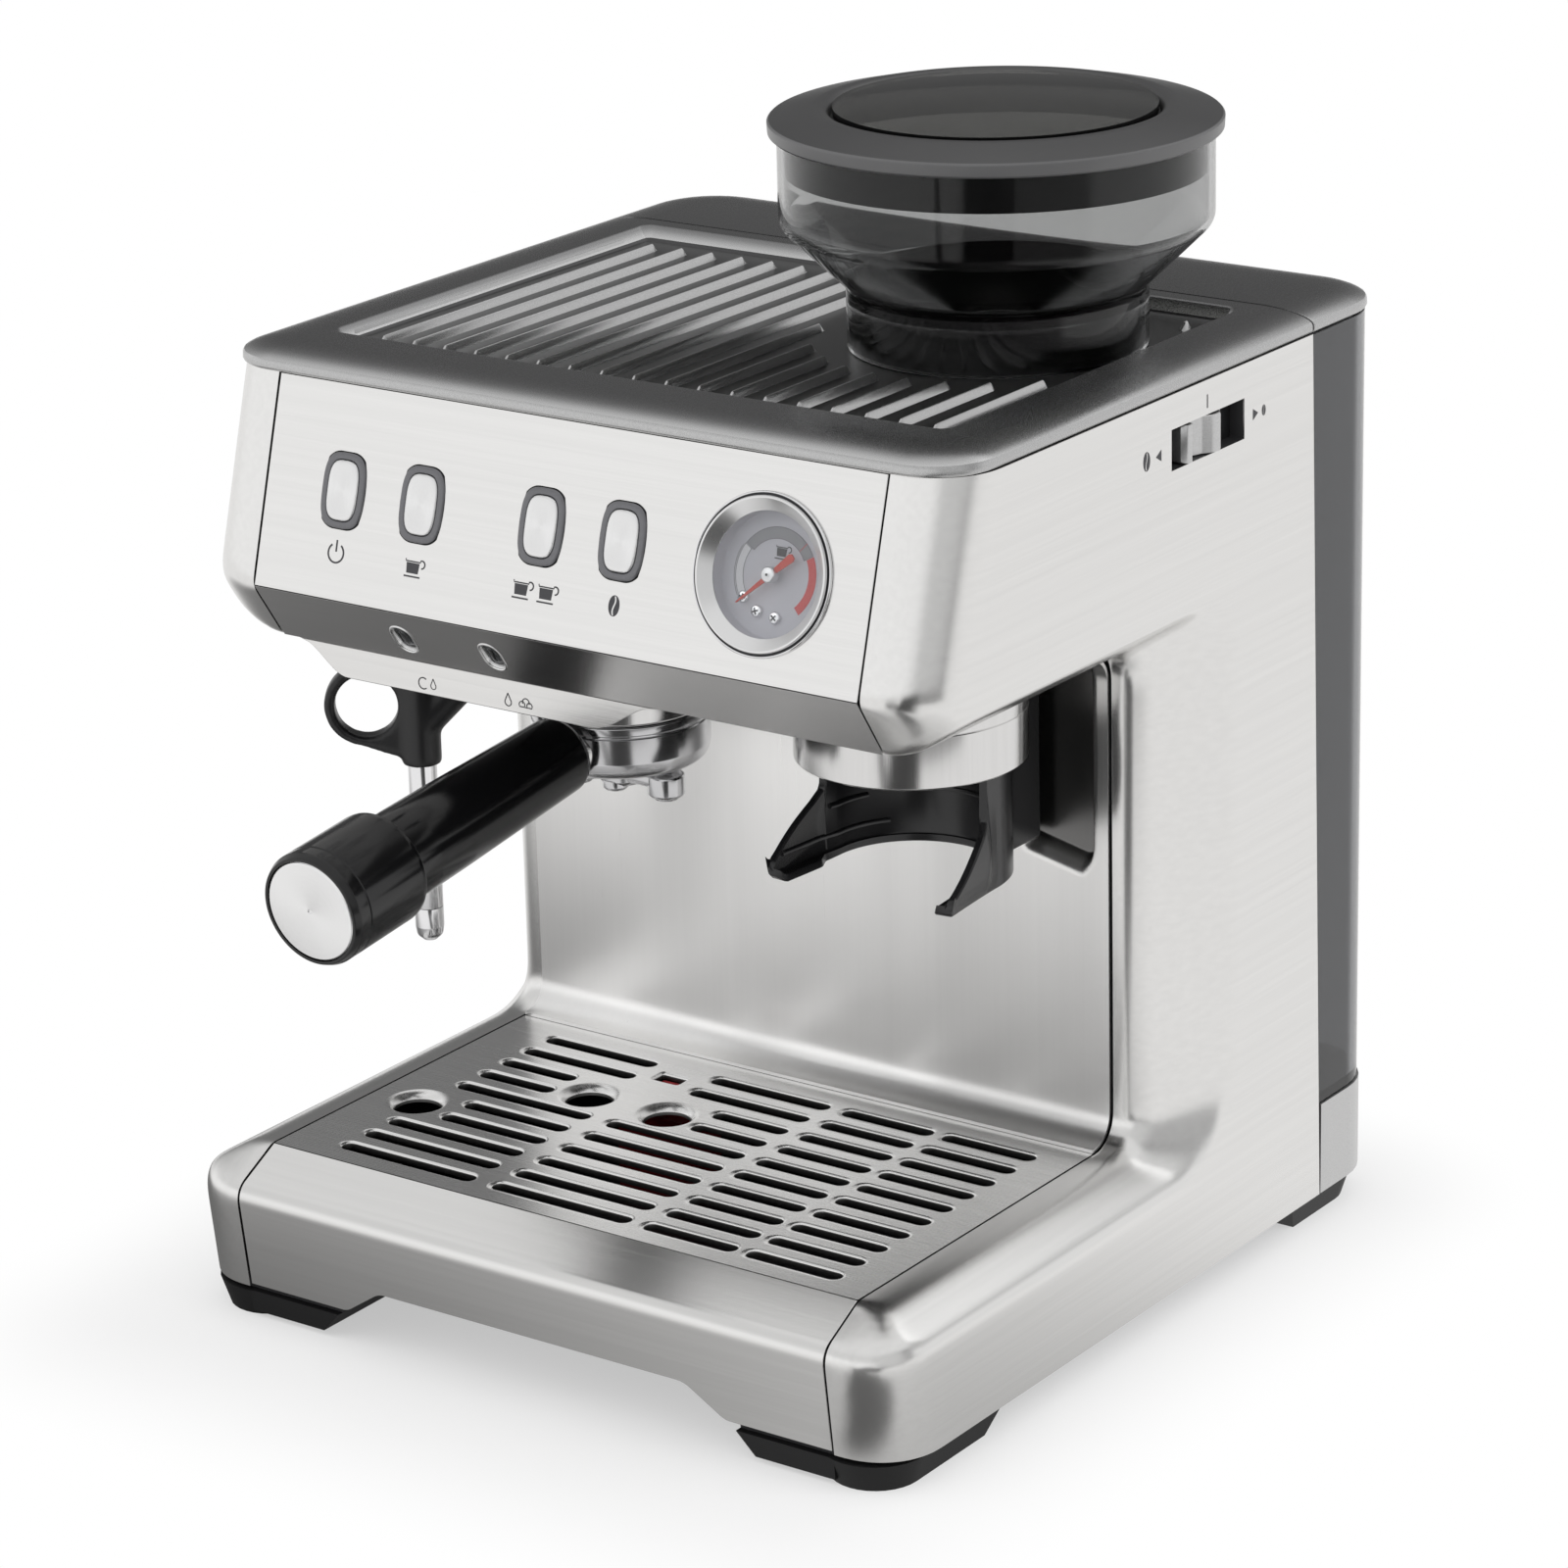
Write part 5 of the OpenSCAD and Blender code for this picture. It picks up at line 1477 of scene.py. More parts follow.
@dataclass
class Tray:
    """Fascia, fold, slotted grid and float of the drip tray."""

    rows: tuple[float, float, int] = (32.0, 12.4, 10)
    columns: tuple[tuple[float, float], ...] = ((20.4, 75.8), (84.1, 139.6), (145.8, 181.6), (186.1, 222.0))
    drains: tuple[tuple[float, float], ...] = ((18.5, 53.7), (64.5, 89.4), (97.2, 89.4))
    window: tuple[float, float] = (79.0, 116.0)
    slot_half: float = 2.6
    drain_radius: float = 7.8

    def span(self, col: int, row: int) -> tuple[float, float]:
        """Ends of one slot; some slots give way to the drains and the window.

        Args:
            col: the slot's column.
            row: its row.

        Returns:
            both ends, from the grid's left edge.
        """
        a, b = self.columns[col]
        if col == 0:
            a += 12.8 if row in (3, 4) else 0.0
            b = a + 30.4 if row in (6, 7) else a + 46.5 if row > 7 else b
        if col == 1:
            a += 26.0 if row in (6, 7) else 7.5 if row > 7 else 0.0
        return a, b

    def stadium(self, x0: float, x1: float, y: float, half: float, n: int = 10) -> Array:
        """A slot's outline: two half circles joined by straight sides, counter-clockwise."""
        return np.concatenate([arc(x1 - half, y, half, -90, 90, n), arc(x0 + half, y, half, 90, 270, n)])

    def grid(self) -> Mesh:
        """A plate with pressed edges: each opening's outline grows step by step as it rises to the face.

        Returns:
            the mesh.
        """
        mesh = Mesh()
        roll = [(1.6, 0.0), (1.25, -0.07), (0.85, -0.2), (0.5, -0.4), (0.2, -0.7), (0.0, -1.2), (0.0, -2.6)]
        dish = [(3.3, 0.0), (2.7, -0.12), (2.0, -0.45), (1.3, -1.0), (0.7, -1.7), (0.25, -2.4), (0.0, -3.4)]
        y_first, pitch, count = self.rows
        holes = []
        for col in range(len(self.columns)):
            for row in range(count):
                a, b = self.span(col, row)
                y = y_first + pitch * row
                a, b = a - S.inner, b - S.inner
                rings = [
                    lift(self.stadium(a - o, b + o, y - 0.5 * o, self.slot_half + o), S.grid_z + z)
                    for o, z in roll]
                mesh.grid(rings, wrap=True, flip=True)
                holes.append(rings[0][:, :2])
        for x, y in self.drains:
            rings = [
                lift(arc(x - S.inner, S.fold_y + y, self.drain_radius + o, 0, 360, 40)[:-1], S.grid_z + z)
                for o, z in dish]
            mesh.grid(rings, wrap=True, flip=True)
            holes.append(rings[0][:, :2])
        wx, wy = self.window[0] - S.inner, S.fold_y + self.window[1]
        rings = []
        for o, z in ((1.0, 0.0), (0.5, -0.2), (0.0, -0.9), (0.0, -2.4)):
            frame_line = deck(5.2 + o, wy - 3.2 - o, wy + 3.2 + o, 0.6 + o, 0.6 + o, 4)
            rings.append(lift(frame_line + np.array([wx, 0.0]), S.grid_z + z))
        mesh.grid(rings, wrap=True, flip=True)
        holes.append(rings[0][:, :2])
        outer = deck(S.inner - S.seam / 2, S.fold_y + 0.3, S.wall_y - 11.6, 0.6, 0.6, 3)
        mesh.plate(outer, holes, lambda p: lift(p, S.grid_z))
        rim = np.array([lift(outer, S.grid_z), lift(outer, S.grid_z - 1.5)])
        mesh.grid(rim, wrap=True, flip=True)
        return mesh

    def fascia(self) -> Mesh:
        """Sheet folded over the tray's front: the folded line (y, z) carried along X.

        Its foot is raised over the middle by a trapezoid.

        Returns:
            the mesh.
        """
        line = rounded_path([(4.4, 12), (0, 47.2), (19.7, 57.5)], [7], 12)
        edge = rounded_path([(0, 22), (62, 22), (77, 12), (118.1, 12)], [9, 7], 7)
        edge = np.vstack([edge[:1], [[31, 22]], edge[1:-1], [[100, 12]], edge[-1:]])
        xs = np.concatenate([-edge[::-1, 0], edge[1:, 0]])
        foot = np.concatenate([edge[::-1, 1], edge[1:, 1]])
        rows = []
        for y, z in line:
            zz = np.maximum(z, foot) if z <= 12.01 else np.full(len(xs), z)
            yy = np.where(zz > z, 4.4 - (zz - 12) * 0.125, y)
            rows.append(np.stack([xs, yy, zz], 1))
        return Mesh().grid(rows)

    def build(self, use: Finishes) -> None:
        """Builds the fascia and the grid; the bin and the float keep their CAD shape.

        Args:
            use: the machine's finishes.
        """
        front = self.fascia().build("tray_fascia_sheet", use.across, 30)
        thicken(front, 1.5)
        bevel(front, 0.25, 2)
        settle(front, "tray", "tray_fascia", slot="steel_brushed")
        grid = self.grid().build("drip_grid_plate", use.grid, 40)
        # painted shade: the openings' walls below the face get the dark slot finish
        grid.data.materials.append(use.slot)
        for face in grid.data.polygons:
            face.material_index = int(face.center.z < (S.grid_z - 0.6) * MM and abs(face.normal.z) < 0.5)
        settle(grid, "grid", "drip_grid", slot="steel_brushed")


@dataclass
class Hopper:
    """Smoked bean hopper with its rim lid and bowed window."""

    centre: tuple[float, float] = (65.6, 185.0)
    base: float = 319.8
    neck: float = 48.8
    bowl: float = 70.0
    rim: float = 388.8
    skin: float = 2.0

    def at(self) -> Axes:
        """Frame on the hopper's axis."""
        return Axes((self.centre[0], self.centre[1], 0.0))

    def solid(self, profile: Array, n: int = 128) -> Mesh:
        """A closed profile of (radius, height) turned about the hopper's axis."""
        return revolve(self.at(), profile, n, True)

    def liners(self, sh: float) -> Mesh:
        """Dark shells of the shut-off gate: a funnel on the bowl's floor, and a sleeve inside the neck.

        Args:
            sh: height of the bowl's shoulder.

        Returns:
            the mesh.
        """
        b = self.base
        cone = rounded_path(
            [
                (self.neck - 2.2, sh + 1.1), (18, b + 6.2), (16.6, b + 5), (16.6, b + 5.6), (18.2, b + 6.9),
                (self.neck - 2.4, sh + 1.8)],
            [8, 0.2, 0.2, 1], 6)
        sleeve = np.array([(46.5, b + 0.4), (46.5, sh - 2.2), (45.7, sh - 2.2), (45.7, b + 0.4)])
        return self.solid(cone).join(self.solid(sleeve))

    def vessel(self, sh: float) -> Mesh:
        """The bowl and its neck as one thin wall: the outer profile up, the inner one down.

        Args:
            sh: height of the bowl's shoulder.

        Returns:
            the mesh.
        """
        b, w = self.base, self.skin
        bz = sh + (self.bowl - self.neck) * 0.97
        outside = rounded_path(
            [(self.neck, b), (self.neck, sh), (self.bowl, bz), (self.bowl, self.rim)], [5, 6], 10)
        inside = rounded_path(
            [
                (self.bowl - w, self.rim), (self.bowl - w, bz + 0.6), (self.neck - 1, sh + 1.2),
                (17, b + 5), (16, b + 3), (16, 314.5), (18, 314.5), (18, b + 2), (19, b + 3.4),
                (self.neck - w, sh - 1), (self.neck - w, b)],
            [5, 8, 2, 0, 0, 0, 0, 1, 3], 8)
        return self.solid(np.vstack([outside, inside]))

    def rim_lid(self, z: float, use: Finishes) -> Piece:
        """The lid's ring: a plug inside the bowl, a stepped outer edge and a shallow cone to the window.

        Args:
            z: height of its seat.
            use: the machine's finishes.

        Returns:
            The piece, its outer edge in a paler finish, a painted highlight.
        """
        lid = rounded_path(
            [
                (52.6, z + 0.6), (65.4, z), (65.4, z - 12), (67.4, z - 12), (67.4, z), (71.9, z),
                (72.8, z + 0.8), (73, z + 4.3), (72.3, z + 5.0), (58.5, z + 8.3), (52.6, z + 8.9),
                (52.6, z + 5), (50.3, z + 4.6), (50.3, z + 0.6)],
            [0.3, 0.3, 0.3, 0.3, 0.3, 0.4, 0.5, 0.5, 0.6, 4.0, 0.6, 0.2, 0.2], 4)
        ring = self.solid(lid).build("hopper_lid_rim", use.lid_grey, 30, mend=True)
        ring.data.materials.append(use.lid_edge_highlight)
        # painted highlight: the outer side below the top gets the paler finish
        edge, top = 72.2, z + 4.7
        for face in ring.data.polygons:
            x, y, h = (np.array(face.center) - ORIGIN) / MM
            reach = math.hypot(x - self.centre[0], y - self.centre[1])
            face.material_index = int(reach > edge and h < top)
        return ring

    def pane(self, z: float) -> Mesh:
        """The lid's window: both faces bow by a power of the distance from the middle.

        Args:
            z: height of the lid's seat.

        Returns:
            the mesh.
        """
        r = np.linspace(0, 1, 14)
        top = np.stack([52.0 * r, z + 10.9 - 2.4 * r**2.2], 1)
        low = np.stack([52.0 * r[::-1], z + 8.6 - 3.0 * r[::-1] ** 2.2], 1)
        return self.solid(np.vstack([top, low]))

    def build(self, use: Finishes) -> None:
        """Builds the bowl with its dark liners, the lid's rim and its window.

        Args:
            use: the machine's finishes.
        """
        shoulder, seat = self.base + 20, self.rim + 0.3
        self.liners(shoulder).piece(
            "hopper_liners", use.gloss_black, 40, "bean_hopper", slot="black_satin")
        self.vessel(shoulder).piece(
            "hopper_bowl", use.smoke, 40, "bean_hopper", "hopper", slot="hopper_smoke")
        settle(self.rim_lid(seat, use), "bean_lid", "hopper_lid", slot="lid_grey")
        self.pane(seat).piece(
            "lid_window_pane", use.window, 40, "bean_lid", "lid_window", slot="window_smoke")


@dataclass
class Panel:
    """Buttons, rings, pictures and lip of the control panel."""

    buttons: tuple[float, ...] = (-86.5, -54.5, -6.7, 24.7)
    height: float = 35.5
    ring: tuple[float, float] = (17.2, 24.4)
    band: float = 2.2

    def loop(self, w: float, h: float, z: float, n: int = 72) -> Array:
        """A barrel-sided outline at a height above the panel."""
        return lift(oval(w / 2, h / 2, 3.3, n), z)

    def ring_mesh(self, cx: float) -> Mesh:
        """A ring's skin: outlines shrunk step by step over its rounded band.

        Args:
            cx: the button's place.

        Returns:
            the mesh.
        """
        w, h = self.ring
        steps = [
            (0.0, -1.5), (0.0, 0.3), (0.25, 0.6), (0.7, 0.8), (1.5, 0.85), (2.1, 0.75), (2.35, 0.4),
            (2.4, -2.5)]
        rows = np.array([self.loop(w - 2 * d, h - 2 * d, z) for d, z in steps])
        rows[..., 0] += cx
        rows[..., 1] += self.height
        return Mesh().grid(PANEL.out(rows), wrap=True)

    def cap_mesh(self, cx: float) -> Mesh:
        """A button's cap: outlines that shrink and rise to a soft, slightly hollow face.

        Args:
            cx: the button's place.

        Returns:
            the mesh.
        """
        w, h = self.ring[0] - 2 * self.band - 0.5, self.ring[1] - 2 * self.band - 0.5
        steps = [
            (0.0, -4.0), (0.0, 0.5), (0.15, 0.9), (0.5, 1.15), (1.0, 1.22), (2.5, 1.12), (4.5, 1.05),
            (5.9, 1.03)]
        rows = np.array([
            self.loop(w - 2 * d * w / h if d > 3 else w - 2 * d, h - 2 * d, z) for d, z in steps])
        rows[..., 0] += cx
        rows[..., 1] += self.height
        return Mesh().grid(PANEL.out(rows), wrap=True, ends=True)

    def build(self, use: Finishes) -> None:
        """Builds the rings as one piece and each cap on its own body.

        Args:
            use: the machine's finishes.
        """
        names = ("power", "one_cup", "two_cups", "grind")
        bodies = ("power_button", "one_cup_button", "two_cups_button", "grind_button")
        rings = Mesh()
        for cx in self.buttons:
            rings.join(self.ring_mesh(cx))
        rings.piece("button_ring_set", use.ring, 40, "body", "button_rings", slot="ring_grey", mend=False)
        for cx, name, body in zip(self.buttons, names, bodies):
            centre = put(PANEL.out([cx, self.height, 0.0]))
            spun = Spun("spun_" + name, tuple(float(v) for v in centre), LEAN, roughness=0.3).material()
            self.cap_mesh(cx).piece(
                "cap_" + name, spun, 40, body, "button_" + name, slot="spun_alu", mend=False)


@dataclass
class Gauge:
    """Dial gauge: bezel, glass, dial with its printed arcs, screws and needle."""

    centre: tuple[float, float] = (78.2, 33.2)
    rest: float = 222.0
    heads: tuple[tuple[float, float], ...] = ((-4.9, -11.8), (2.1, -12.9), (-10.4, -8.2))
    dial_z: float = -7.0

    def at(self) -> Axes:
        """Frame on the dial's axis, out of the panel."""
        return Axes(tuple(PANEL.out([*self.centre, 0.0])), y=PANEL.y, z=PANEL.z)

    def ring(self, profile: Array, n: int = 128) -> Mesh:
        """A closed profile of (radius, height) turned about the dial's axis."""
        return revolve(self.at(), profile, n, True)

    def sector(self, r0: float, r1: float, a0: float, a1: float, z: float, n: int = 40) -> Array:
        """A band of the dial between two radii and two angles in degrees.

        Args:
            r0: inner radius.
            r1: outer radius.
            a0: first angle.
            a1: last angle.
            z: height over the panel.
            n: points along the band.

        Returns:
            the grid.
        """
        a = np.radians(np.linspace(a0, a1, n))
        rows = [np.stack([r * np.cos(a), r * np.sin(a), np.full(n, z)], 1) for r in (r0, r1)]
        return self.at().out(rows)

    def screws(self) -> Mesh:
        """Three pan-head screws: circles that shrink as they rise to the crown.

        Returns:
            the mesh.
        """
        mesh = Mesh()
        profile = ((1.95, 0.0), (1.95, 0.75), (1.8, 1.1), (1.4, 1.35), (0.02, 1.45))
        for x, y in self.heads:
            rows = [lift(arc(x, y, r, 0, 360, 28)[:-1], self.dial_z + h) for r, h in profile]
            mesh.grid(self.at().out(rows), wrap=True)
        return mesh

    def crosses(self) -> Mesh:
        """Dark crosses on the screws' heads: two thin bars at a right angle, turned on each.

        Returns:
            the mesh.
        """
        mesh = Mesh()
        ends = ((1.15, 0.26), (-1.15, 0.26), (-1.15, -0.26), (1.15, -0.26))
        for (x, y), a in zip(self.heads, (20, 50, 75)):
            for turn in (0, 90):
                t = math.radians(a + turn)
                d, n = np.array([math.cos(t), math.sin(t)]), np.array([-math.sin(t), math.cos(t)])
                corners = np.array([x, y]) + np.array([u * d + v * n for u, v in ends])
                mesh.add(self.at().out(lift(corners, self.dial_z + 1.47)), [(0, 1, 2, 3)])
        return mesh

    def bezel(self, use: Finishes) -> None:
        """Builds the bright outer ring, the dark groove inside it and the bezel that slopes to the dial.

        Args:
            use: the machine's finishes.
        """
        outer = rounded_path(
            [(24.9, 0.15), (25.5, 0.15), (25.5, 0.9), (25.15, 1.3), (24.8, 1.0), (24.8, 0.3)],
            [0.1, 0.3, 0.2, 0.2], 4)
        self.ring(outer).piece("gauge_outer_ring", use.polished, 50, "body", slot="steel_bright")
        groove = np.array([(23.4, -0.4), (24.95, -0.4), (24.95, 0.3), (23.4, 0.3)])
        self.ring(groove).piece("gauge_groove", use.ink, 50, "body", slot="black_satin")
        rim = rounded_path(
            [
                (23.6, 0.2), (24.2, 1.2), (23.9, 1.9), (23.3, 2.0), (19.9, -0.9), (19.5, -1.2),
                (19.5, -1.6), (22.4, -1.6)],
            [0.3, 0.3, 0.4, 0.3, 0.2, 0.1], 5)
        self.ring(rim).piece("gauge_bezel_ring", use.bezel, 50, "body", "gauge_bezel", slot="steel_bright")

    def dial(self, use: Finishes) -> None:
        """Builds the sunk cup of the dial, with its coloured bands and the red band's mark.

        Args:
            use: the machine's finishes.
        """
        z = self.dial_z
        cup = rounded_path(
            [(0, z - 0.1), (19.7, z - 0.1), (20.1, -1.7), (22.4, -1.7), (22.4, -12), (0, -12)],
            [0.6, 0.2, 0.3, 0.5], 4)
        revolve(self.at(), cup).piece(
            "gauge_dial_cup", use.violet, 40, "body", "gauge_case", slot="dial_face")
        for name, finish, r0, r1, a0, a1 in (
                ("dial_arc_light", use.light, 12.1, 14.7, 147, 213),
                ("dial_arc_grey", use.grey, 11.1, 14.6, 31, 145),
                ("dial_arc_red", use.red, 12.0, 14.8, -47, 30)):
            Mesh().grid(self.sector(r0, r1, a0, a1, z)).piece(
                name, finish, 60, "body", slot="dial_face", mend=False)
        hair = self.sector(11.1, 14.8, 47.5, 48.4, z + 0.03, 3)
        Mesh().grid(hair).piece("dial_red_mark", use.red, 60, "body", slot="dial_face", mend=False)

    def printing(self, use: Finishes) -> None:
        """Prints the bands' dark outlines and a cup, a little above the dial.

        Args:
            use: the machine's finishes.
        """
        z = self.dial_z
        marks = Mesh()
        for r, a0, a1 in (
                (11.1, 31, 145), (14.65, 31, 145), (12.05, 146, 214), (14.75, 146, 214), (15.3, 150, 212)):
            marks.grid(self.sector(r - 0.07, r + 0.07, a0, a1, z + 0.02, 70))
        for a, r0, r1 in ((31, 11.0, 14.7), (145, 11.0, 14.7), (147, 12.0, 14.8), (214, 12.0, 14.8)):
            marks.grid(self.sector(r0, r1, a - 0.3, a + 0.3, z + 0.03, 3))
        cup_at = Axes(tuple(self.at().out([1.2, 7.2, z + 0.02])), y=PANEL.y, z=PANEL.z)
        Pictures.cup(marks, cup_at, 0.72)
        marks.piece("dial_print", use.ink, 60, "body", slot="dial_face", mend=False)

    def build(self, use: Finishes) -> None:
        """Builds it from the bezel inwards, then the glass over it and the needle.

        Args:
            use: the machine's finishes.
        """
        self.bezel(use)
        self.dial(use)
        self.printing(use)
        self.screws().piece("dial_screws", use.polished, 40, "body", slot="steel_bright", mend=False)
        self.crosses().piece("dial_screw_slots", use.ink, 40, "body", slot="black_satin", mend=False)
        pane = np.array([(0, -1.25), (10, -1.3), (19.5, -1.4), (19.5, -1.6), (0, -1.55)])
        revolve(self.at(), pane).piece(
            "gauge_pane", use.glass, 60, "body", "gauge_glass", slot="dial_glass")
        self.pointer(use)

    def pointer(self, use: Finishes) -> None:
        """Builds the tapered needle with its square counterweight, its pale hub and the axle's tip.

        Args:
            use: the machine's finishes.
        """
        a = math.radians(self.rest)
        d, s = np.array([math.cos(a), math.sin(a)]), np.array([-math.sin(a), math.cos(a)])
        outline = np.array([
            (-10.0, -0.8), (-10.0, 0.8), (-9.2, 1.35), (-2.6, 0.85), (0, 0.9), (2.4, 0.75), (14.6, 0.2),
            (15.2, 0.0), (14.6, -0.2), (2.4, -0.75), (0, -0.9), (-2.6, -0.85), (-9.2, -1.35)])
        flat = outline[:, 0:1] * d + outline[:, 1:2] * s
        rows = np.array([lift(flat, -4.3), lift(flat, -3.7)])
        m = Mesh().grid(self.at().out(rows), wrap=True, ends=True)
        m.piece("gauge_pointer", use.needle, 30, "needle", "gauge_needle", slot="needle_red")
        dome = rounded_path(
            [(0, -5.2), (2.5, -5.2), (2.5, -2.6), (2.1, -2.2), (0.9, -2.2), (0.9, -2.0), (0, -2.0)],
            [0.2, 0.3, 0.2, 0.05, 0.05], 3)
        revolve(self.at(), dome, 48).piece("gauge_hub", use.bezel, 40, "needle", slot="steel_bright")
        tip = np.array([(0, -2.1), (0.42, -2.1), (0.42, -1.85), (0.3, -1.75), (0, -1.75)])
        revolve(self.at(), tip, 24).piece("gauge_axle_tip", use.ink, 40, "needle", slot="black_satin")


class Pictures:
    """Small generic pictures printed on the machine, as flat meshes."""

    @staticmethod
    def stroke(mesh: Mesh, at: Axes, line: Array, width: float) -> None:
        """A ribbon along a line: each point is moved half the width to both sides of its direction.

        Args:
            mesh: the mesh it is added to.
            at: its frame.
            line: its middle line.
            width: its width.
        """
        p = np.asarray(line, dtype=float)
        t = np.gradient(p, axis=0)
        t /= np.linalg.norm(t, axis=1)[:, None]
        n = np.stack([-t[:, 1], t[:, 0]], 1) * width / 2
        mesh.grid(at.out([lift(p + n, 0.0), lift(p - n, 0.0)]))

    @staticmethod
    def fill(mesh: Mesh, at: Axes, outline: Array, holes: Sequence[Array] = ()) -> None:
        """A filled outline."""
        mesh.plate(outline, holes, lambda p: at.out(lift(p, 0.0)))

    @classmethod
    def power(cls, mesh: Mesh, at: Axes, k: float = 1.0) -> None:
        """Open ring with an upright bar."""
        cls.stroke(mesh, at, arc(0, 0, 3.1 * k, 125, 415, 40), 0.62 * k)
        cls.stroke(mesh, at, np.array([(0, 0.4), (0, 4.2)]) * k, 0.62 * k)

    @classmethod
    def cup(cls, mesh: Mesh, at: Axes, k: float = 1.0) -> None:
        """Cup in side view with its handle and saucer.

        Args:
            mesh: the mesh it is added to.
            at: its frame.
            k: its scale.
        """
        body = np.array([(-2.8, 1.5), (-2.5, -1.9), (2.1, -1.9), (2.4, 1.5)]) * k
        cls.fill(mesh, at, body)
        cls.stroke(mesh, at, np.array([(-3.2, 2.6), (-3.1, 1.9), (2.7, 1.9), (2.8, 2.6)]) * k, 0.45 * k)
        cls.stroke(mesh, at, arc(3.3 * k, 1.3 * k, 1.25 * k, -90, 110, 16), 0.5 * k)
        cls.stroke(mesh, at, np.array([(-3.4, -2.9), (3.0, -2.9)]) * k, 0.55 * k)

    @classmethod
    def bean(cls, mesh: Mesh, at: Axes, k: float = 1.0) -> None:
        """Coffee bean: two halves of an ellipse on either side of an S-shaped cleft.

        Args:
            mesh: the mesh it is added to.
            at: its frame.
            k: its scale.
        """
        t = np.linspace(-1, 1, 24)
        cleft = np.stack([0.42 * np.sin(t * np.pi), t * 3.3], 1)
        for side in (-1, 1):
            a = np.linspace(-math.pi / 2, math.pi / 2, 24)
            edge = np.stack([side * 2.1 * np.cos(a), 3.3 * np.sin(a)], 1)
            inner = cleft + np.array([side * 0.3, 0])
            keep = np.abs(inner[:, 1]) < 3.0
            outline = np.vstack([edge, inner[keep][::-1]]) * k
            cls.fill(mesh, at, outline if side > 0 else outline[::-1])

    @classmethod
    def drop(cls, mesh: Mesh, at: Axes, k: float = 1.0) -> None:
        """Drop outline: a circle drawn out to a point.

        Args:
            mesh: the mesh it is added to.
            at: its frame.
            k: its scale.
        """
        a = np.radians(np.linspace(-215, 35, 30))
        bow = np.stack([1.7 * np.cos(a[::-1]), -0.6 + 1.7 * np.sin(a[::-1])], 1)
        line = np.vstack([[(0, 3.4)], bow]) * k
        cls.stroke(mesh, at, np.vstack([line, line[:1]]), 0.5 * k)

    @classmethod
    def steam(cls, mesh: Mesh, at: Axes, k: float = 1.0) -> None:
        """Small cloud of three arcs on a line.

        Args:
            mesh: the mesh it is added to.
            at: its frame.
            k: its scale.
        """
        for cx, cy, r in ((-1.9, -0.3, 1.5), (0.2, 0.9, 1.8), (2.1, -0.4, 1.4)):
            cls.stroke(mesh, at, arc(cx * k, cy * k, r * k, -20, 200, 20), 0.5 * k)
        cls.stroke(mesh, at, np.array([(-3.4, -1.2), (3.5, -1.3)]) * k, 0.5 * k)

    def build(self, use: Finishes) -> None:
        """Prints the panel, the plate under the lip and the scale of the grind slider.

        Args:
            use: the machine's finishes.
        """
        mesh = Mesh()

        def panel(x: float, v: float) -> Axes:
            """A place on the panel."""
            return Axes(tuple(PANEL.out([x, v, 0.06])), y=PANEL.y, z=PANEL.z)

        def plate(x: float, z: float) -> Axes:
            """A place on the plate under the lip."""
            return Axes((x, 40.0 - 0.06, z), y=(0, 0, 1), z=(0, -1, 0))

        self.power(mesh, panel(-86.5, 15.4))
        self.cup(mesh, panel(-54.8, 15.4))
        self.cup(mesh, panel(-11.4, 15.2))
        self.cup(mesh, panel(-1.6, 15.2))
        self.bean(mesh, panel(24.7, 15.4))
        self.stroke(mesh, plate(-61.0, 222.6), arc(0, 0, 1.9, 50, 310, 24), 0.42)
        self.drop(mesh, plate(-56.9, 222.6), 0.62)
        self.drop(mesh, plate(-26.5, 222.6), 0.75)
        self.steam(mesh, plate(-19.5, 222.4), 0.75)
        mesh.piece("printed_pictures", use.ink, 60, "body", slot="black_satin", mend=False)
        side = Mesh()

        def flank(y: float, z: float) -> Axes:
            """A place on the right casing."""
            return Axes((S.half + 0.05, y, z), x=(0, 1, 0), y=(0, 0, 1), z=(1, 0, 0))

        self.stroke(side, flank(185.4, 310), np.array([(0, -2.2), (0, 2.2)]), 0.6)
        self.bean(side, flank(149.0, 299), 0.95)
        self.fill(side, flank(156.2, 299), np.array([(-1.7, 0), (1.5, -1.9), (1.5, 1.9)]))
        self.fill(side, flank(215.0, 299), np.array([(-1.5, -1.9), (1.7, 0), (-1.5, 1.9)]))
        self.bean(side, flank(220.3, 299), 0.55)
        side.piece("slider_scale", use.ink, 60, "body", slot="black_satin", mend=False)


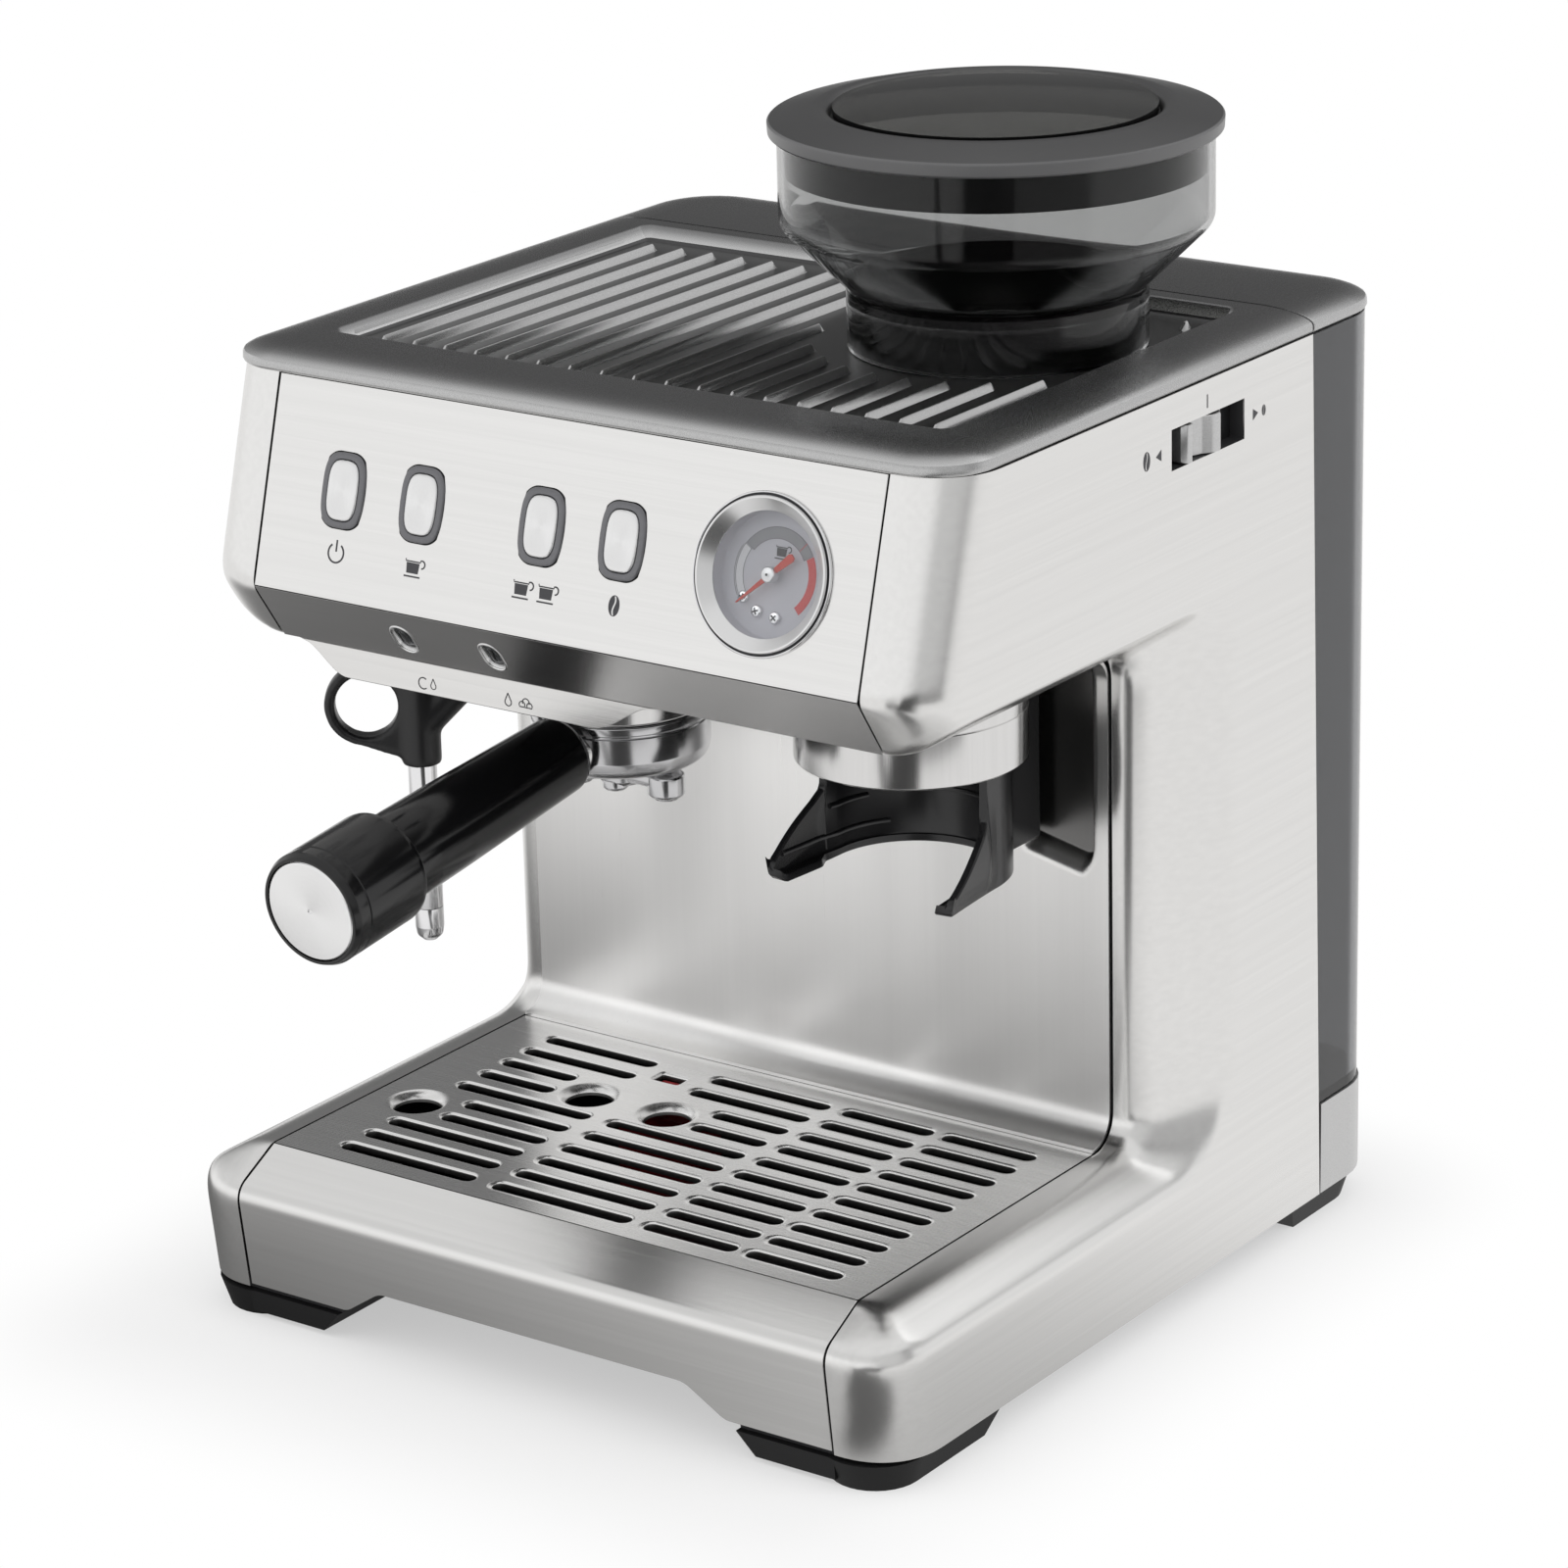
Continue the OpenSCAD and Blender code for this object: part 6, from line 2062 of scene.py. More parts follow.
@dataclass
class Brew:
    """The group's collar and the filter holder with its spouts and handle."""

    axis: tuple[float, float] = (-43.5, 120.4)
    holder_z: float = 178.3
    collar_z: float = 197.5
    radius: float = 29.9
    drop: float = 6.5

    def at(self) -> Axes:
        """Frame on the group's axis."""
        return Axes((self.axis[0], self.axis[1], 0.0))

    def along(self) -> Axes:
        """Frame whose Z runs from the group's axis to the handle's end."""
        a = math.radians(self.drop)
        return Axes(
            (self.axis[0], self.axis[1], self.holder_z + 13.7), y=(0, -math.sin(a), math.cos(a)),
            z=(0, -math.cos(a), -math.sin(a)))

    def cup(self) -> Mesh:
        """The holder's ring: a deep cup with a large lower edge, a bead under its flange and a plain bore.

        Returns:
            the mesh.
        """
        r, z, top = self.radius, self.holder_z, self.collar_z + 7
        line = rounded_path(
            [
                (0, z), (r - 1.2, z), (r, z + 6), (r, z + 14.6), (r - 0.5, z + 15.0), (r - 0.5, z + 15.6),
                (r, z + 16.0), (r, z + 18.9), (r - 3.6, z + 18.9), (r - 3.6, top), (25.1, top),
                (25.1, z + 3), (0, z + 3)],
            [4.5, 3, 0.2, 0.2, 0.2, 0.2, 0.7, 0.4, 0.4, 0.6, 2.0], 6)
        return revolve(self.at(), line, 160)

    def neck(self) -> Mesh:
        """Neck of the holder: superellipses that shrink from the ring to a round ferrule at the handle.

        Returns:
            the mesh.
        """
        return loft(
            self.along(),
            [
                (17.0, -4.6, 15.5, 8.6, 0), (23.5, -4.2, 13.5, 8.6, 0), (27.0, -2.8, 10.6, 8.0, 0),
                (29.4, -1.2, 8.9, 7.9, 0), (31.0, -0.4, 8.3, 8.0, 0), (33.0, 0, 8.3, 8.3, 0),
                (33.0, 0, 9.4, 9.4, 0), (33.25, 0, 9.6, 9.6, 0)],
            2.3, 64)

    def spouts(self) -> Mesh:
        """Boss, cross bar and two nozzles with open mouths.

        Returns:
            the mesh.
        """
        z = self.holder_z - 1.2
        m = revolve(
            self.at(),
            rounded_path(
                [(0, z + 1.2), (9.6, z + 1.2), (8.2, z - 1.2), (8.0, z - 6.5), (6.5, z - 8), (0, z - 8)],
                [0.4, 1.0, 0.8, 1.0], 4),
            64)
        bar = loft(
            Axes((self.axis[0], self.axis[1], 0.0), x=(0, 1, 0), y=(0, 0, 1), z=(1, 0, 0)),
            [
                (-21, z - 4.4, 2.5, 2.3, 0), (-20, z - 4.2, 4.4, 3.2, 0), (-17, z - 4.0, 5.4, 3.4, 0),
                (-9, z - 3.9, 5.2, 3.3, 0), (0, z - 3.8, 6.6, 3.6, 0), (9, z - 3.9, 5.2, 3.3, 0),
                (17, z - 4.0, 5.4, 3.4, 0), (20, z - 4.2, 4.4, 3.2, 0), (21, z - 4.4, 2.5, 2.3, 0)],
            3.0, 40)
        m.join(bar)
        nozzle = rounded_path(
            [
                (0, z - 0.9), (4.4, z - 0.9), (6.3, z - 2.6), (6.3, z - 9.0), (5.4, z - 9.9),
                (4.3, z - 9.9), (4.1, z - 11.0), (3.0, z - 11.0), (3.0, z - 5), (0, z - 5)],
            [0.8, 1.2, 0.6, 0.2, 0.2, 0.3, 0.2, 0.2], 4)
        nub = rounded_path(
            [(0, z - 6), (4.4, z - 6), (4.4, z - 8.6), (3.4, z - 9.6), (0, z - 9.6)], [0.1, 0.6, 0.5], 4)
        for x, y, line in ((-18, 0, nozzle), (18, 0, nozzle), (0, -4.0, nub)):
            m.join(revolve(Axes((self.axis[0] + x, self.axis[1] + y, 0.0)), line, 48))
        return m

    def collar(self) -> Mesh:
        """Collar of the group: a thick tube with rounded rims.

        Returns:
            the mesh.
        """
        c = self.collar_z
        line = rounded_path(
            [
                (26.7, c), (29.6, c), (30.2, c + 0.8), (30.2, 229.7), (23.5, 229.7), (23.5, c + 17),
                (26.7, c + 17)],
            [0.2, 0.4, 0.3, 0.2, 0.2], 4)
        return revolve(self.at(), line, 128, True)

    def grip(self) -> Mesh:
        """The handle's grip: it swells slowly from a rounded shoulder to the sleeve.

        Returns:
            the mesh.
        """
        line = rounded_path(
            [
                (0, 33.3), (10.6, 33.3), (12.6, 33.8), (13.2, 35.7), (13.3, 39.3), (14.7, 96.6),
                (15.0, 114.6), (15.0, 126.6), (0, 126.6)],
            [0.4, 0.8, 1.5, 6, 40, 8, 0.2], 6)
        return revolve(self.along(), line, 128)

    def sleeve(self) -> Mesh:
        """The wider cap on the handle's end, with one fine groove and a seat for the disc.

        Returns:
            the mesh.
        """
        line = rounded_path(
            [
                (0, 126.9), (17.6, 126.9), (18.8, 127.9), (19.0, 129.5), (19.1, 155.4), (18.8, 155.7),
                (18.8, 156.1), (19.1, 156.4), (19.1, 160.6), (18.0, 162.9), (17.0, 162.9), (17.0, 161.3),
                (0, 161.3)],
            [0.6, 0.8, 2.0, 0.2, 0.1, 0.1, 0.2, 1.6, 0.6, 0.1, 0.1], 6)
        return revolve(self.along(), line, 128)

    def disc(self) -> None:
        """Builds the spun disc in the handle's end, with a dimple in its middle."""
        way = self.along()
        centre = put(way.out([0.0, 0.0, 162.0]))
        spun = Spun(
            "spun_end_disc", tuple(float(v) for v in centre), math.radians(-self.drop),
            colour=(0.93, 0.93, 0.93), roughness=0.27).material()
        line = rounded_path(
            [
                (0, 161.5), (16.8, 161.5), (16.8, 162.3), (16.2, 162.8), (0.9, 162.8), (0.6, 162.4),
                (0, 162.4)],
            [0.1, 0.2, 0.3, 0.1, 0.1], 3)
        revolve(way, line, 128).piece(
            "handle_end_disc", spun, 35, "filter_holder", "handle_disc", slot="spun_alu")

    def build(self, use: Finishes) -> None:
        """Builds the collar on the body and the rest on the filter holder.

        Args:
            use: the machine's finishes.
        """
        self.collar().piece("group_collar", use.satin, 35, "body", "group_head", slot="steel_brushed")
        self.cup().piece("holder_ring", use.holder, 35, "filter_holder", "portafilter", slot="steel_bright")
        self.neck().piece("holder_neck", use.satin, 40, "filter_holder", slot="steel_bright")
        self.spouts().piece("spout_casting", use.holder, 40, "filter_holder", "spouts", slot="steel_bright")
        self.grip().piece(
            "handle_grip", use.gloss_black, 35, "filter_holder", "handle", slot="black_gloss")
        self.sleeve().piece(
            "handle_sleeve_cap", use.gloss_black, 35, "filter_holder", "handle_sleeve", slot="black_gloss")
        self.disc()


@dataclass
class Wand:
    """Steam wand: tube and tip in steel."""

    centre: tuple[float, float] = (-105.5, 91.0)

    def build(self, use: Finishes) -> None:
        """Builds both on the wand's body.

        Args:
            use: the machine's finishes.
        """
        at = Axes((self.centre[0], self.centre[1], 0.0))
        tube = rounded_path(
            [(0, 122), (4.9, 122), (4.9, 213.5), (3.0, 213.5), (3.0, 221), (0, 221)], [0.2, 0.4, 0.2, 0.3],
            4)
        revolve(at, tube, 64).piece(
            "wand_tube_skin", use.polished, 35, "wand", "wand_tube", slot="steel_bright")
        tip = rounded_path(
            [(0.8, 113), (0.8, 110), (2.4, 110.1), (4.4, 111.9), (4.9, 115.0), (4.9, 121.9), (0, 121.9)],
            [0.1, 0.5, 2.4, 3.0, 0.1], 8)
        line = np.vstack([[[0, 113]], tip])
        revolve(at, line, 64).piece(
            "wand_tip_skin", use.polished, 35, "wand", "wand_tip", slot="steel_bright")


@dataclass
class Bay:
    """Back of the cup bay: the splash wall, the grinder's collar and the plate under the lip."""

    outlet: tuple[float, float] = (73.1, 120.4)
    bend: float = 11.0

    def wall(self) -> Mesh:
        """Sheet along a filleted line of (y, z), with a soft-edged pocket beside the cradle's block.

        The pocket's depth is a constant times the product of smooth steps in X and Z; its foot falls
        towards its right end.

        Returns:
            the mesh.
        """
        low, high = 57.6, 228.0
        line = rounded_path(
            [(156.2, low), (S.wall_y, low), (S.wall_y, high), (156.2, high)], [self.bend, self.bend], 12)
        lower = line[line[:, 1] < 100]
        upper = line[line[:, 1] > 180]
        zs = np.concatenate([np.arange(72, 146, 6.0), np.arange(146, 166, 0.8), np.arange(166, 214, 6.0)])
        line = np.vstack([lower, np.column_stack([np.full(len(zs), S.wall_y), zs]), upper])
        edge = 118.1
        xs = np.concatenate([np.linspace(-edge, 84, 40), np.arange(85, edge + 0.1, 0.7), [edge]])
        xs = np.unique(np.round(xs[xs <= edge], 3))
        x, z = np.meshgrid(xs, line[:, 1])
        y = np.repeat(line[:, 0:1], len(xs), axis=1)

        def step(v: Array, a: float, b: float) -> Array:
            """Smooth step from 0 at a to 1 at b."""
            t = np.clip((v - a) / (b - a), 0, 1)
            return t * t * (3 - 2 * t)

        left, right, deep = (84, 88), (110.2, 113.6), 5.5
        foot = 156.5 - 0.22 * (x - 91.4)
        corner = np.maximum(x - 106.5, 0) ** 2 * 0.16
        depth = deep * step(x, *left) * (1 - step(x, *right)) * step(z - foot - corner, -3.4, 3.0)
        return Mesh().grid(np.stack([x, y + depth, z], -1), flip=True)

    def hanger(self) -> Mesh:
        """Plate under the lip: its lower edge follows a cosine at both ends.

        Returns:
            the mesh.
        """
        x0, x1, drop = -112.5, 32.5, 10.7
        a = np.linspace(0.2, 1, 16)
        low = drop * (1 - np.cos(math.pi * a)) / 2
        left = np.column_stack([x0 + 20 * a, 229.7 - low])
        right = np.column_stack([x1 - 27 * a, 229.7 - low])[::-1]
        ring = np.vstack([[(x0, 229.7)], left, right, [(x1, 229.7)]])
        rows = [np.column_stack([ring[:, 0], np.full(len(ring), y), ring[:, 1]]) for y in (40.0, 42.0)]
        return Mesh().grid(rows, wrap=True, ends=True)

    def build(self, use: Finishes) -> None:
        """Builds the three of them on the body.

        Args:
            use: the machine's finishes.
        """
        wall = self.wall().build("splash_wall_sheet", use.upright, 50)
        thicken(wall, 1.2)
        settle(wall, "body", "back_wall", slot="steel_brushed")
        plate = self.hanger().build("under_plate_sheet", use.across, 40, mend=True)
        bevel(plate, 0.3, 2, 50)
        weigh(plate)
        settle(plate, "body", "under_plate", slot="steel_brushed")
        z = 199.4
        ring = rounded_path(
            [
                (36.3, z), (37.3, z), (37.8, z + 0.6), (37.8, z + 17), (37.5, z + 17.3), (37.8, z + 17.6),
                (37.8, 229.7), (12, 229.7), (12, 227), (36.3, 227)],
            [0.2, 0.3, 0.1, 0.1, 0.1, 0.3, 0.3, 0.3, 1.5], 4)
        revolve(Axes((*self.outlet, 0.0)), ring, 160, True).piece(
            "outlet_collar", use.satin, 35, "body", "grinder_outlet", slot="steel_brushed")


@dataclass
class Cradle:
    """Horseshoe under the grinder's outlet, with the block that joins it to the wall."""

    outlet: tuple[float, float] = (73.1, 120.4)
    foot: float = 159.2
    head: float = 212.0
    radius: float = 30.9
    half_wall: float = 1.4
    tip: float = 31.0
    ledge: float = 2.6
    belly: float = 2.3
    tuck: float = 0.3
    taper: float = 8.0
    rise: float = 26.0

    def line(self) -> tuple[Array, Array, Array]:
        """Plan path of the wall's middle, from the left tip round the back to the right tip.

        Each tine moves outwards by a smooth share of its length. The outward direction is the path's,
        turned by a right angle.

        Returns:
            The points, the outward directions and the distance of each point in front of the half circle.
        """
        reach = np.concatenate([
            np.linspace(self.tip, 6.4, 26), np.linspace(6.2, 4.6, 9), np.linspace(4.2, 0.4, 5)])
        splay = 2.6 * (reach / self.tip) ** 1.3
        right = np.column_stack([self.radius + splay, -reach])
        steps = 49
        a = np.radians(np.linspace(0, 180, steps))
        back = np.column_stack([self.radius * np.cos(a), self.radius * np.sin(a)])
        path = np.vstack([right * [-1, 1], back[::-1], right[::-1]])
        t = np.gradient(path, axis=0)
        t /= np.linalg.norm(t, axis=1)[:, None]
        out = np.column_stack([-t[:, 1], t[:, 0]])
        s = np.concatenate([reach, np.zeros(steps), reach[::-1]])
        return path, out, s

    def top(self, s: Array) -> Array:
        """Upper edge: level at the back, a fall at the arm's root, then a slope that ends in the round tip.

        Args:
            s: distances in front of the half circle.

        Returns:
            the heights.
        """
        slope = np.interp(
            s, [0, 5.2, 6.2, 9.0, 17.5, 26.5, 29.5, 30.5, 31.0],
            [188, 188, 183.4, 180.4, 174.4, 167.6, 165.6, 164.4, 162.6])
        rise = np.clip((5.9 - s) / 1.2, 0, 1)
        return slope + (self.head - slope) * rise * rise * (3 - 2 * rise)

    def wall(self) -> Mesh:
        """Closed ring of offsets and heights at each station of the path.

        The ring runs up the outer face, over the rim and down the inner face to a ledge that fades out
        towards the back.

        Returns:
            the mesh.
        """
        path, out, s = self.line()
        w, z0, z1 = self.half_wall, np.full(len(s), self.foot), self.top(s)
        z0 = z0 + np.interp(s, [29.5, 30.4, 31.0], [0, 0.5, 1.4])
        ledge = self.ledge * np.clip((s - 7.5) / 5.0, 0, 1) * np.interp(s, [0, 29, 31], [1, 1, 0.72]) + 1.2
        lean = np.clip(s / self.taper, 0, 1)
        steps = [
            (w - 0.5, 0.0, 0.0, 0.0), (w, 0.5, 0.0, 0.0), (w, 3.0, 0.0, 0.0), (w, 6.0, 0.0, 0.0),
            (w, 0.0, 0.35, 0.0), (w, 0.0, 0.6, 0.0), (w, 0.0, 0.8, 0.0), (w, -0.6, 1.0, 0.0),
            (w - 0.5, 0.0, 1.0, 0.0), (-w + 0.5, 0.0, 1.0, 0.0), (-w, -0.6, 1.0, 0.0), (-w, 0.0, 0.8, 0.0),
            (-w, 0.0, 0.6, 0.0), (-w, 0.0, 0.35, 0.0), (-w, 3.2, 0.0, 0.0), (-w - 0.3, 2.6, 0.0, 0.0),
            (-w, 2.5, 0.0, -1.0), (-w + 0.1, 1.9, 0.0, -1.06), (-w + 0.1, 0.4, 0.0, -1.06),
            (-w + 0.5, 0.0, 0.0, -1.0)]
        rows = []
        for d, h, share, inward in steps:
            z = z0 + h + (z1 - z0) * share
            t = np.clip((z - self.foot) / self.rise, 0, 1)
            shift = d + inward * ledge + self.belly * lean * np.sin(np.pi * t) - self.tuck * lean * t
            rows.append(np.column_stack([path + out * shift[:, None], z]))
        g = np.swapaxes(np.array(rows), 0, 1) + np.array([*self.outlet, 0.0])
        return Mesh().grid(g, wrap=True, ends=True)

    def rib(self, mesh: Mesh, z: float, a0: float, a1: float, s0: float, proud: float = 0.9) -> None:
        """Adds a thin raised line along the inner face of the left arm and the back.

        Args:
            mesh: the mesh of all ribs.
            z: its height.
            a0: first angle behind, below 0 where it starts on the arm.
            a1: last angle behind.
            s0: its reach along the arm.
            proud: how far it stands out.
        """
        path, out, s = self.line()
        angle = np.degrees(np.arctan2(path[:, 1], -path[:, 0]))
        if a0 < 0:
            keep = (angle <= a1) & (s <= s0) & (path[:, 0] < 0)
        else:
            keep = (angle >= a0) & (angle <= a1) & (s <= 0.01)
        p, o = path[keep], out[keep]
        lean = np.clip(s[keep] / self.taper, 0, 1)
        t = (z - self.foot) / self.rise
        bulge = self.belly * lean * math.sin(math.pi * min(t, 1.0)) - self.tuck * lean * t
        rows = []
        for d, h in ((0.2, -1.0), (-proud * 0.8, -0.7), (-proud, 0.0), (-proud * 0.8, 0.5), (0.2, 0.9)):
            rows.append(
                np.column_stack([p + o * (bulge - self.half_wall + d)[:, None], np.full(len(p), z + h)]))
        g = np.swapaxes(np.array(rows), 0, 1) + np.array([*self.outlet, 0.0])
        mesh.grid(g, wrap=True, ends=True)

    def block(self) -> Mesh:
        """Body between the horseshoe and the wall: a plan outline with a rolled lower rim.

        Returns:
            the mesh.
        """
        y0, y1 = self.outlet[1] + self.radius - 0.6, S.wall_y - 0.2
        rows = []
        for inset, z in (
                (1.2, self.foot + 0.8), (0.35, self.foot + 1.1), (0.0, self.foot + 2.0), (0.0, 229.6)):
            ring = deck(18.5 - inset, y0, y1, 0.4, 0.8, 5)
            rows.append(lift(ring + np.array([self.outlet[0], 0.0]), z))
        return Mesh().grid(rows, wrap=True, ends=True)

    def build(self, use: Finishes) -> None:
        """Builds it on the body.

        Args:
            use: the machine's finishes.
        """
        m = self.wall()
        ribs = Mesh()
        self.rib(ribs, self.foot + 7.6, -1, 42, 27.0)
        self.rib(ribs, self.foot + 17.5, -1, 28, 4.0, 1.1)
        self.rib(ribs, self.foot + 18.5, 55, 150, 0.0, 0.8)
        m.join(ribs).join(self.block())
        m.piece("cradle_fork", use.cradle_black, 38, "body", "grinder_cradle", slot="black_satin")


@dataclass
class Lenses:
    """The two small windows in the lip: a bright rim that stands just proud, round a clear dome."""

    places: tuple[float, float] = (-62.7, -26.9)
    rise: float = 10.6
    half: tuple[float, float] = (3.7, 5.75)

    def outline(self, x: float, o: float) -> Array:
        """A slot's outline that stands upright on the lip.

        Args:
            x: its place.
            o: how far it is grown.

        Returns:
            the outline.
        """
        w, h = self.half[0] + o, self.half[1] - self.half[0]
        return np.concatenate([
            arc(x, self.rise + h, w, 0, 180, 14), arc(x, self.rise - h, w, 180, 360, 14)])

    def build(self, use: Finishes) -> None:
        """Builds both rims as one piece and both domes, whose height is a sine of the inset, as another.

        Args:
            use: the machine's finishes.
        """
        rims, domes = Mesh(), Mesh()
        for x in self.places:
            section = [
                (0.9, 0.0), (0.7, 0.22), (0.35, 0.28), (0.1, 0.1), (-0.5, -1.6), (-0.5, -2.0), (0.9, -2.0)]
            rims.grid(
                np.array([LIP.out(lift(self.outline(x, o), z)) for o, z in section + section[:1]]),
                wrap=True)
            dome = [(-0.55 - 2.9 * k, -2.4 + 1.9 * math.sin(k * math.pi / 2)) for k in np.linspace(0, 1, 8)]
            rows = [(-0.55, -3.6), *dome]
            domes.grid(
                np.array([LIP.out(lift(self.outline(x, o), z)) for o, z in rows]), wrap=True, ends=True)
        rims.piece("lens_rims", use.bezel, 40, "body", slot="steel_bright")
        domes.piece("lens_domes", use.glass, 60, "body", slot="lens_clear")


@dataclass
class Slider:
    """Grind setting: the dark channel in the casing and the waved thumb piece."""

    y: float = 186.0
    z: float = 299.0

    def channel(self) -> Mesh:
        """Inside of an open box: rounded outlines from the mouth to the floor.

        Returns:
            the mesh.
        """
        rows = []
        for x, k in ((S.half - 0.5, 0.0), (S.half - 9.0, 0.0), (S.half - 9.0, 6.0)):
            ring = deck(22.15 - k, self.z - 6.65 + k, self.z + 6.65 - k, 0.6, 0.6, 3)
            rows.append(stand(ring + np.array([self.y, 0.0]), x))
        return Mesh().grid(rows, wrap=True, ends=False)

    def thumb(self) -> Mesh:
        """Waved profile of (x, y) extruded over the slot's height, with narrowed rims.

        Returns:
            the mesh.
        """
        x0 = S.half - 7.5
        wave = rounded_path(
            [
                (x0, -12.3), (142.9, -12.3), (145.0, -11.2), (145.0, -8.4), (141.4, -6.6), (140.6, -3.0),
                (142.2, 1.5), (144.9, 5.0), (145.3, 8.2), (143.2, 10.8), (141.4, 12.3), (x0, 12.3)],
            [0.4, 0.8, 0.8, 0.8, 1.2, 3, 4, 1.5, 1.0, 0.8], 4)
        middle = wave.mean(0)
        rows = []
        for h, k in ((-6.2, 0.955), (-6.0, 0.98), (-5.5, 1.0), (5.5, 1.0), (6.0, 0.98), (6.2, 0.955)):
            p = middle + (wave - middle) * k
            rows.append(np.column_stack([p[:, 0], p[:, 1] + self.y - 2.7, np.full(len(p), self.z + h)]))
        return Mesh().grid(rows, wrap=True, ends=True)

    def build(self, use: Finishes) -> None:
        """Builds the channel on the body, the thumb and its carrier on the slider.

        Args:
            use: the machine's finishes.
        """
        self.channel().piece("slider_channel", use.moulded, 30, "body", slot="black_satin", mend=False)
        m = self.thumb()
        x0, x1 = S.half - 7.8, S.half - 4.6
        ring = deck(12.0, self.z - 6.2, self.z + 6.2, 0.8, 0.8, 3)
        rows = []
        for x, k in ((x0, 1.0), (x1 - 0.4, 1.0), (x1, 0.97)):
            across, up = ring[:, 0] * k + self.y + 3.0, (ring[:, 1] - self.z) * k + self.z
            rows.append(stand(np.column_stack([across, up]), x))
        m.grid(rows, wrap=True, ends=True)
        m.piece("grind_slider_thumb", use.silver, 35, "slider", "grind_slider", slot="silver_plastic")


@dataclass
class Studio:
    """Floor, light and camera."""

    azimuth: float = 35.77
    elevation: float = 19.04
    roll: float = -1.45
    place: tuple[float, float, float] = (1006.2, -1244.9, 760.4)
    lens: float = 125.3

    def camera(self) -> None:
        """Sets the camera: back vector from azimuth and elevation, then rolled about itself."""
        a, e, r = (math.radians(v) for v in (self.azimuth, self.elevation, self.roll))
        back = Vector((math.sin(a) * math.cos(e), -math.cos(a) * math.cos(e), math.sin(e)))
        right = Vector((math.cos(a), math.sin(a), 0))
        up = back.cross(right)
        c, s = math.cos(r), math.sin(r)
        x, y = right * c + up * s, up * c - right * s
        data = bpy.data.cameras.new("camera")
        data.lens = self.lens
        data.sensor_width = 36.0
        data.clip_start, data.clip_end = 0.05, 60.0
        cam = bpy.data.objects.new("camera", data)
        bpy.context.scene.collection.objects.link(cam)
        where = put(np.array(self.place))
        cam.matrix_world = Matrix((
            (x.x, y.x, back.x, where[0]), (x.y, y.y, back.y, where[1]), (x.z, y.z, back.z, where[2]),
            (0, 0, 0, 1)))
        bpy.context.scene.camera = cam

    def lamp(
            self, name: str, place: Sequence[float], aim: Sequence[float], size: tuple[float, float],
            power: float, mirrored: bool = True) -> None:
        """Adds a soft box.

        Args:
            name: its name.
            place: where it stands.
            aim: the point that it faces.
            size: its width and height.
            power: its power in watts.
            mirrored: whether metal mirrors it.
        """
        data = bpy.data.lights.new(name, "AREA")
        data.shape = "RECTANGLE"
        data.size, data.size_y = size
        data.energy = power
        obj = bpy.data.objects.new(name, data)
        bpy.context.scene.collection.objects.link(obj)
        obj.visible_glossy = mirrored
        obj.location = Vector(place)
        obj.rotation_euler = (Vector(aim) - Vector(place)).to_track_quat("-Z", "Y").to_euler()

    def seen(self, g: Graph, paths: Any) -> Expr:
        """Whether the camera looks at the surface, straight or through clear plastic."""
        through = Expr(g, paths.outputs["Is Transmission Ray"])
        return Expr(g, paths.outputs["Is Camera Ray"]).op("MAXIMUM", through)

    def floor(self) -> None:
        """A wide pale plane that keeps the machine's shadow and fades to plain white further out.

        It mirrors as a table that darkens towards the machine, with three dark gaps beside it.
        """
        g = Graph("studio_floor")
        x, y, _ = g.parts(g.place())
        far = (x * x + y * y) ** 0.5
        beside, before = (x.abs() - 0.13).op("MAXIMUM", 0.0), (y.abs() - 0.15).op("MAXIMUM", 0.0)
        fade = ((beside * beside + before * before) ** 0.5).ramp(0.0, 0.085)
        paths = g.node("ShaderNodeLightPath")
        seen = self.seen(g, paths)
        bright = g.node("ShaderNodeEmission", None, {"Color": (1.0, 1.0, 1.0), "Strength": 1.0})
        paper = g.node("ShaderNodeBsdfDiffuse", None, {"Color": (0.95, 0.95, 0.95)})
        shown = g.node(
            "ShaderNodeMixShader", None,
            {0: seen * (fade * 0.5 + 0.5), 1: paper.outputs[0], 2: bright.outputs[0]})
        dx, dy = (x + 0.19) * 0.72, (y + 0.08) * 1.6
        reach = (dx * dx + dy * dy) ** 0.5
        outer = ((x * 0.545 - y * 0.839) / (far + 0.001)).ramp(0.962, 0.98) * far.ramp(0.3, 0.42)
        corner = x.ramp(0.108, 0.128) * (1.0 - x.ramp(0.185, 0.215)) * (0.0 - y).ramp(0.136, 0.15) * 0.85
        wide = ((x * 0.79 - y * 0.616) / (far + 0.001)).ramp(0.8, 0.88) * (x - y).ramp(1.0, 1.1) * 0.68
        gap = outer.op("MAXIMUM", corner).op("MAXIMUM", wide)
        level = (reach.ramp(0.03, 0.48) * 0.76 + 0.16) * (1.0 - gap * 0.93)
        mirrored = g.node("ShaderNodeEmission", None, {"Color": (1.0, 0.995, 0.99), "Strength": level})
        mix = g.node(
            "ShaderNodeMixShader", None,
            {0: paths.outputs["Is Glossy Ray"], 1: shown.outputs[0], 2: mirrored.outputs[0]})
        g.tree.links.new(mix.outputs[0], g.output.inputs[0])
        mesh = bpy.data.meshes.new("studio_floor")
        mesh.from_pydata([(-8, -8, 0), (8, -8, 0), (8, 8, 0), (-8, 8, 0)], [], [(0, 1, 2, 3)])
        mesh.materials.append(g.material)
        obj = bpy.data.objects.new("studio_floor", mesh)
        bpy.context.scene.collection.objects.link(obj)

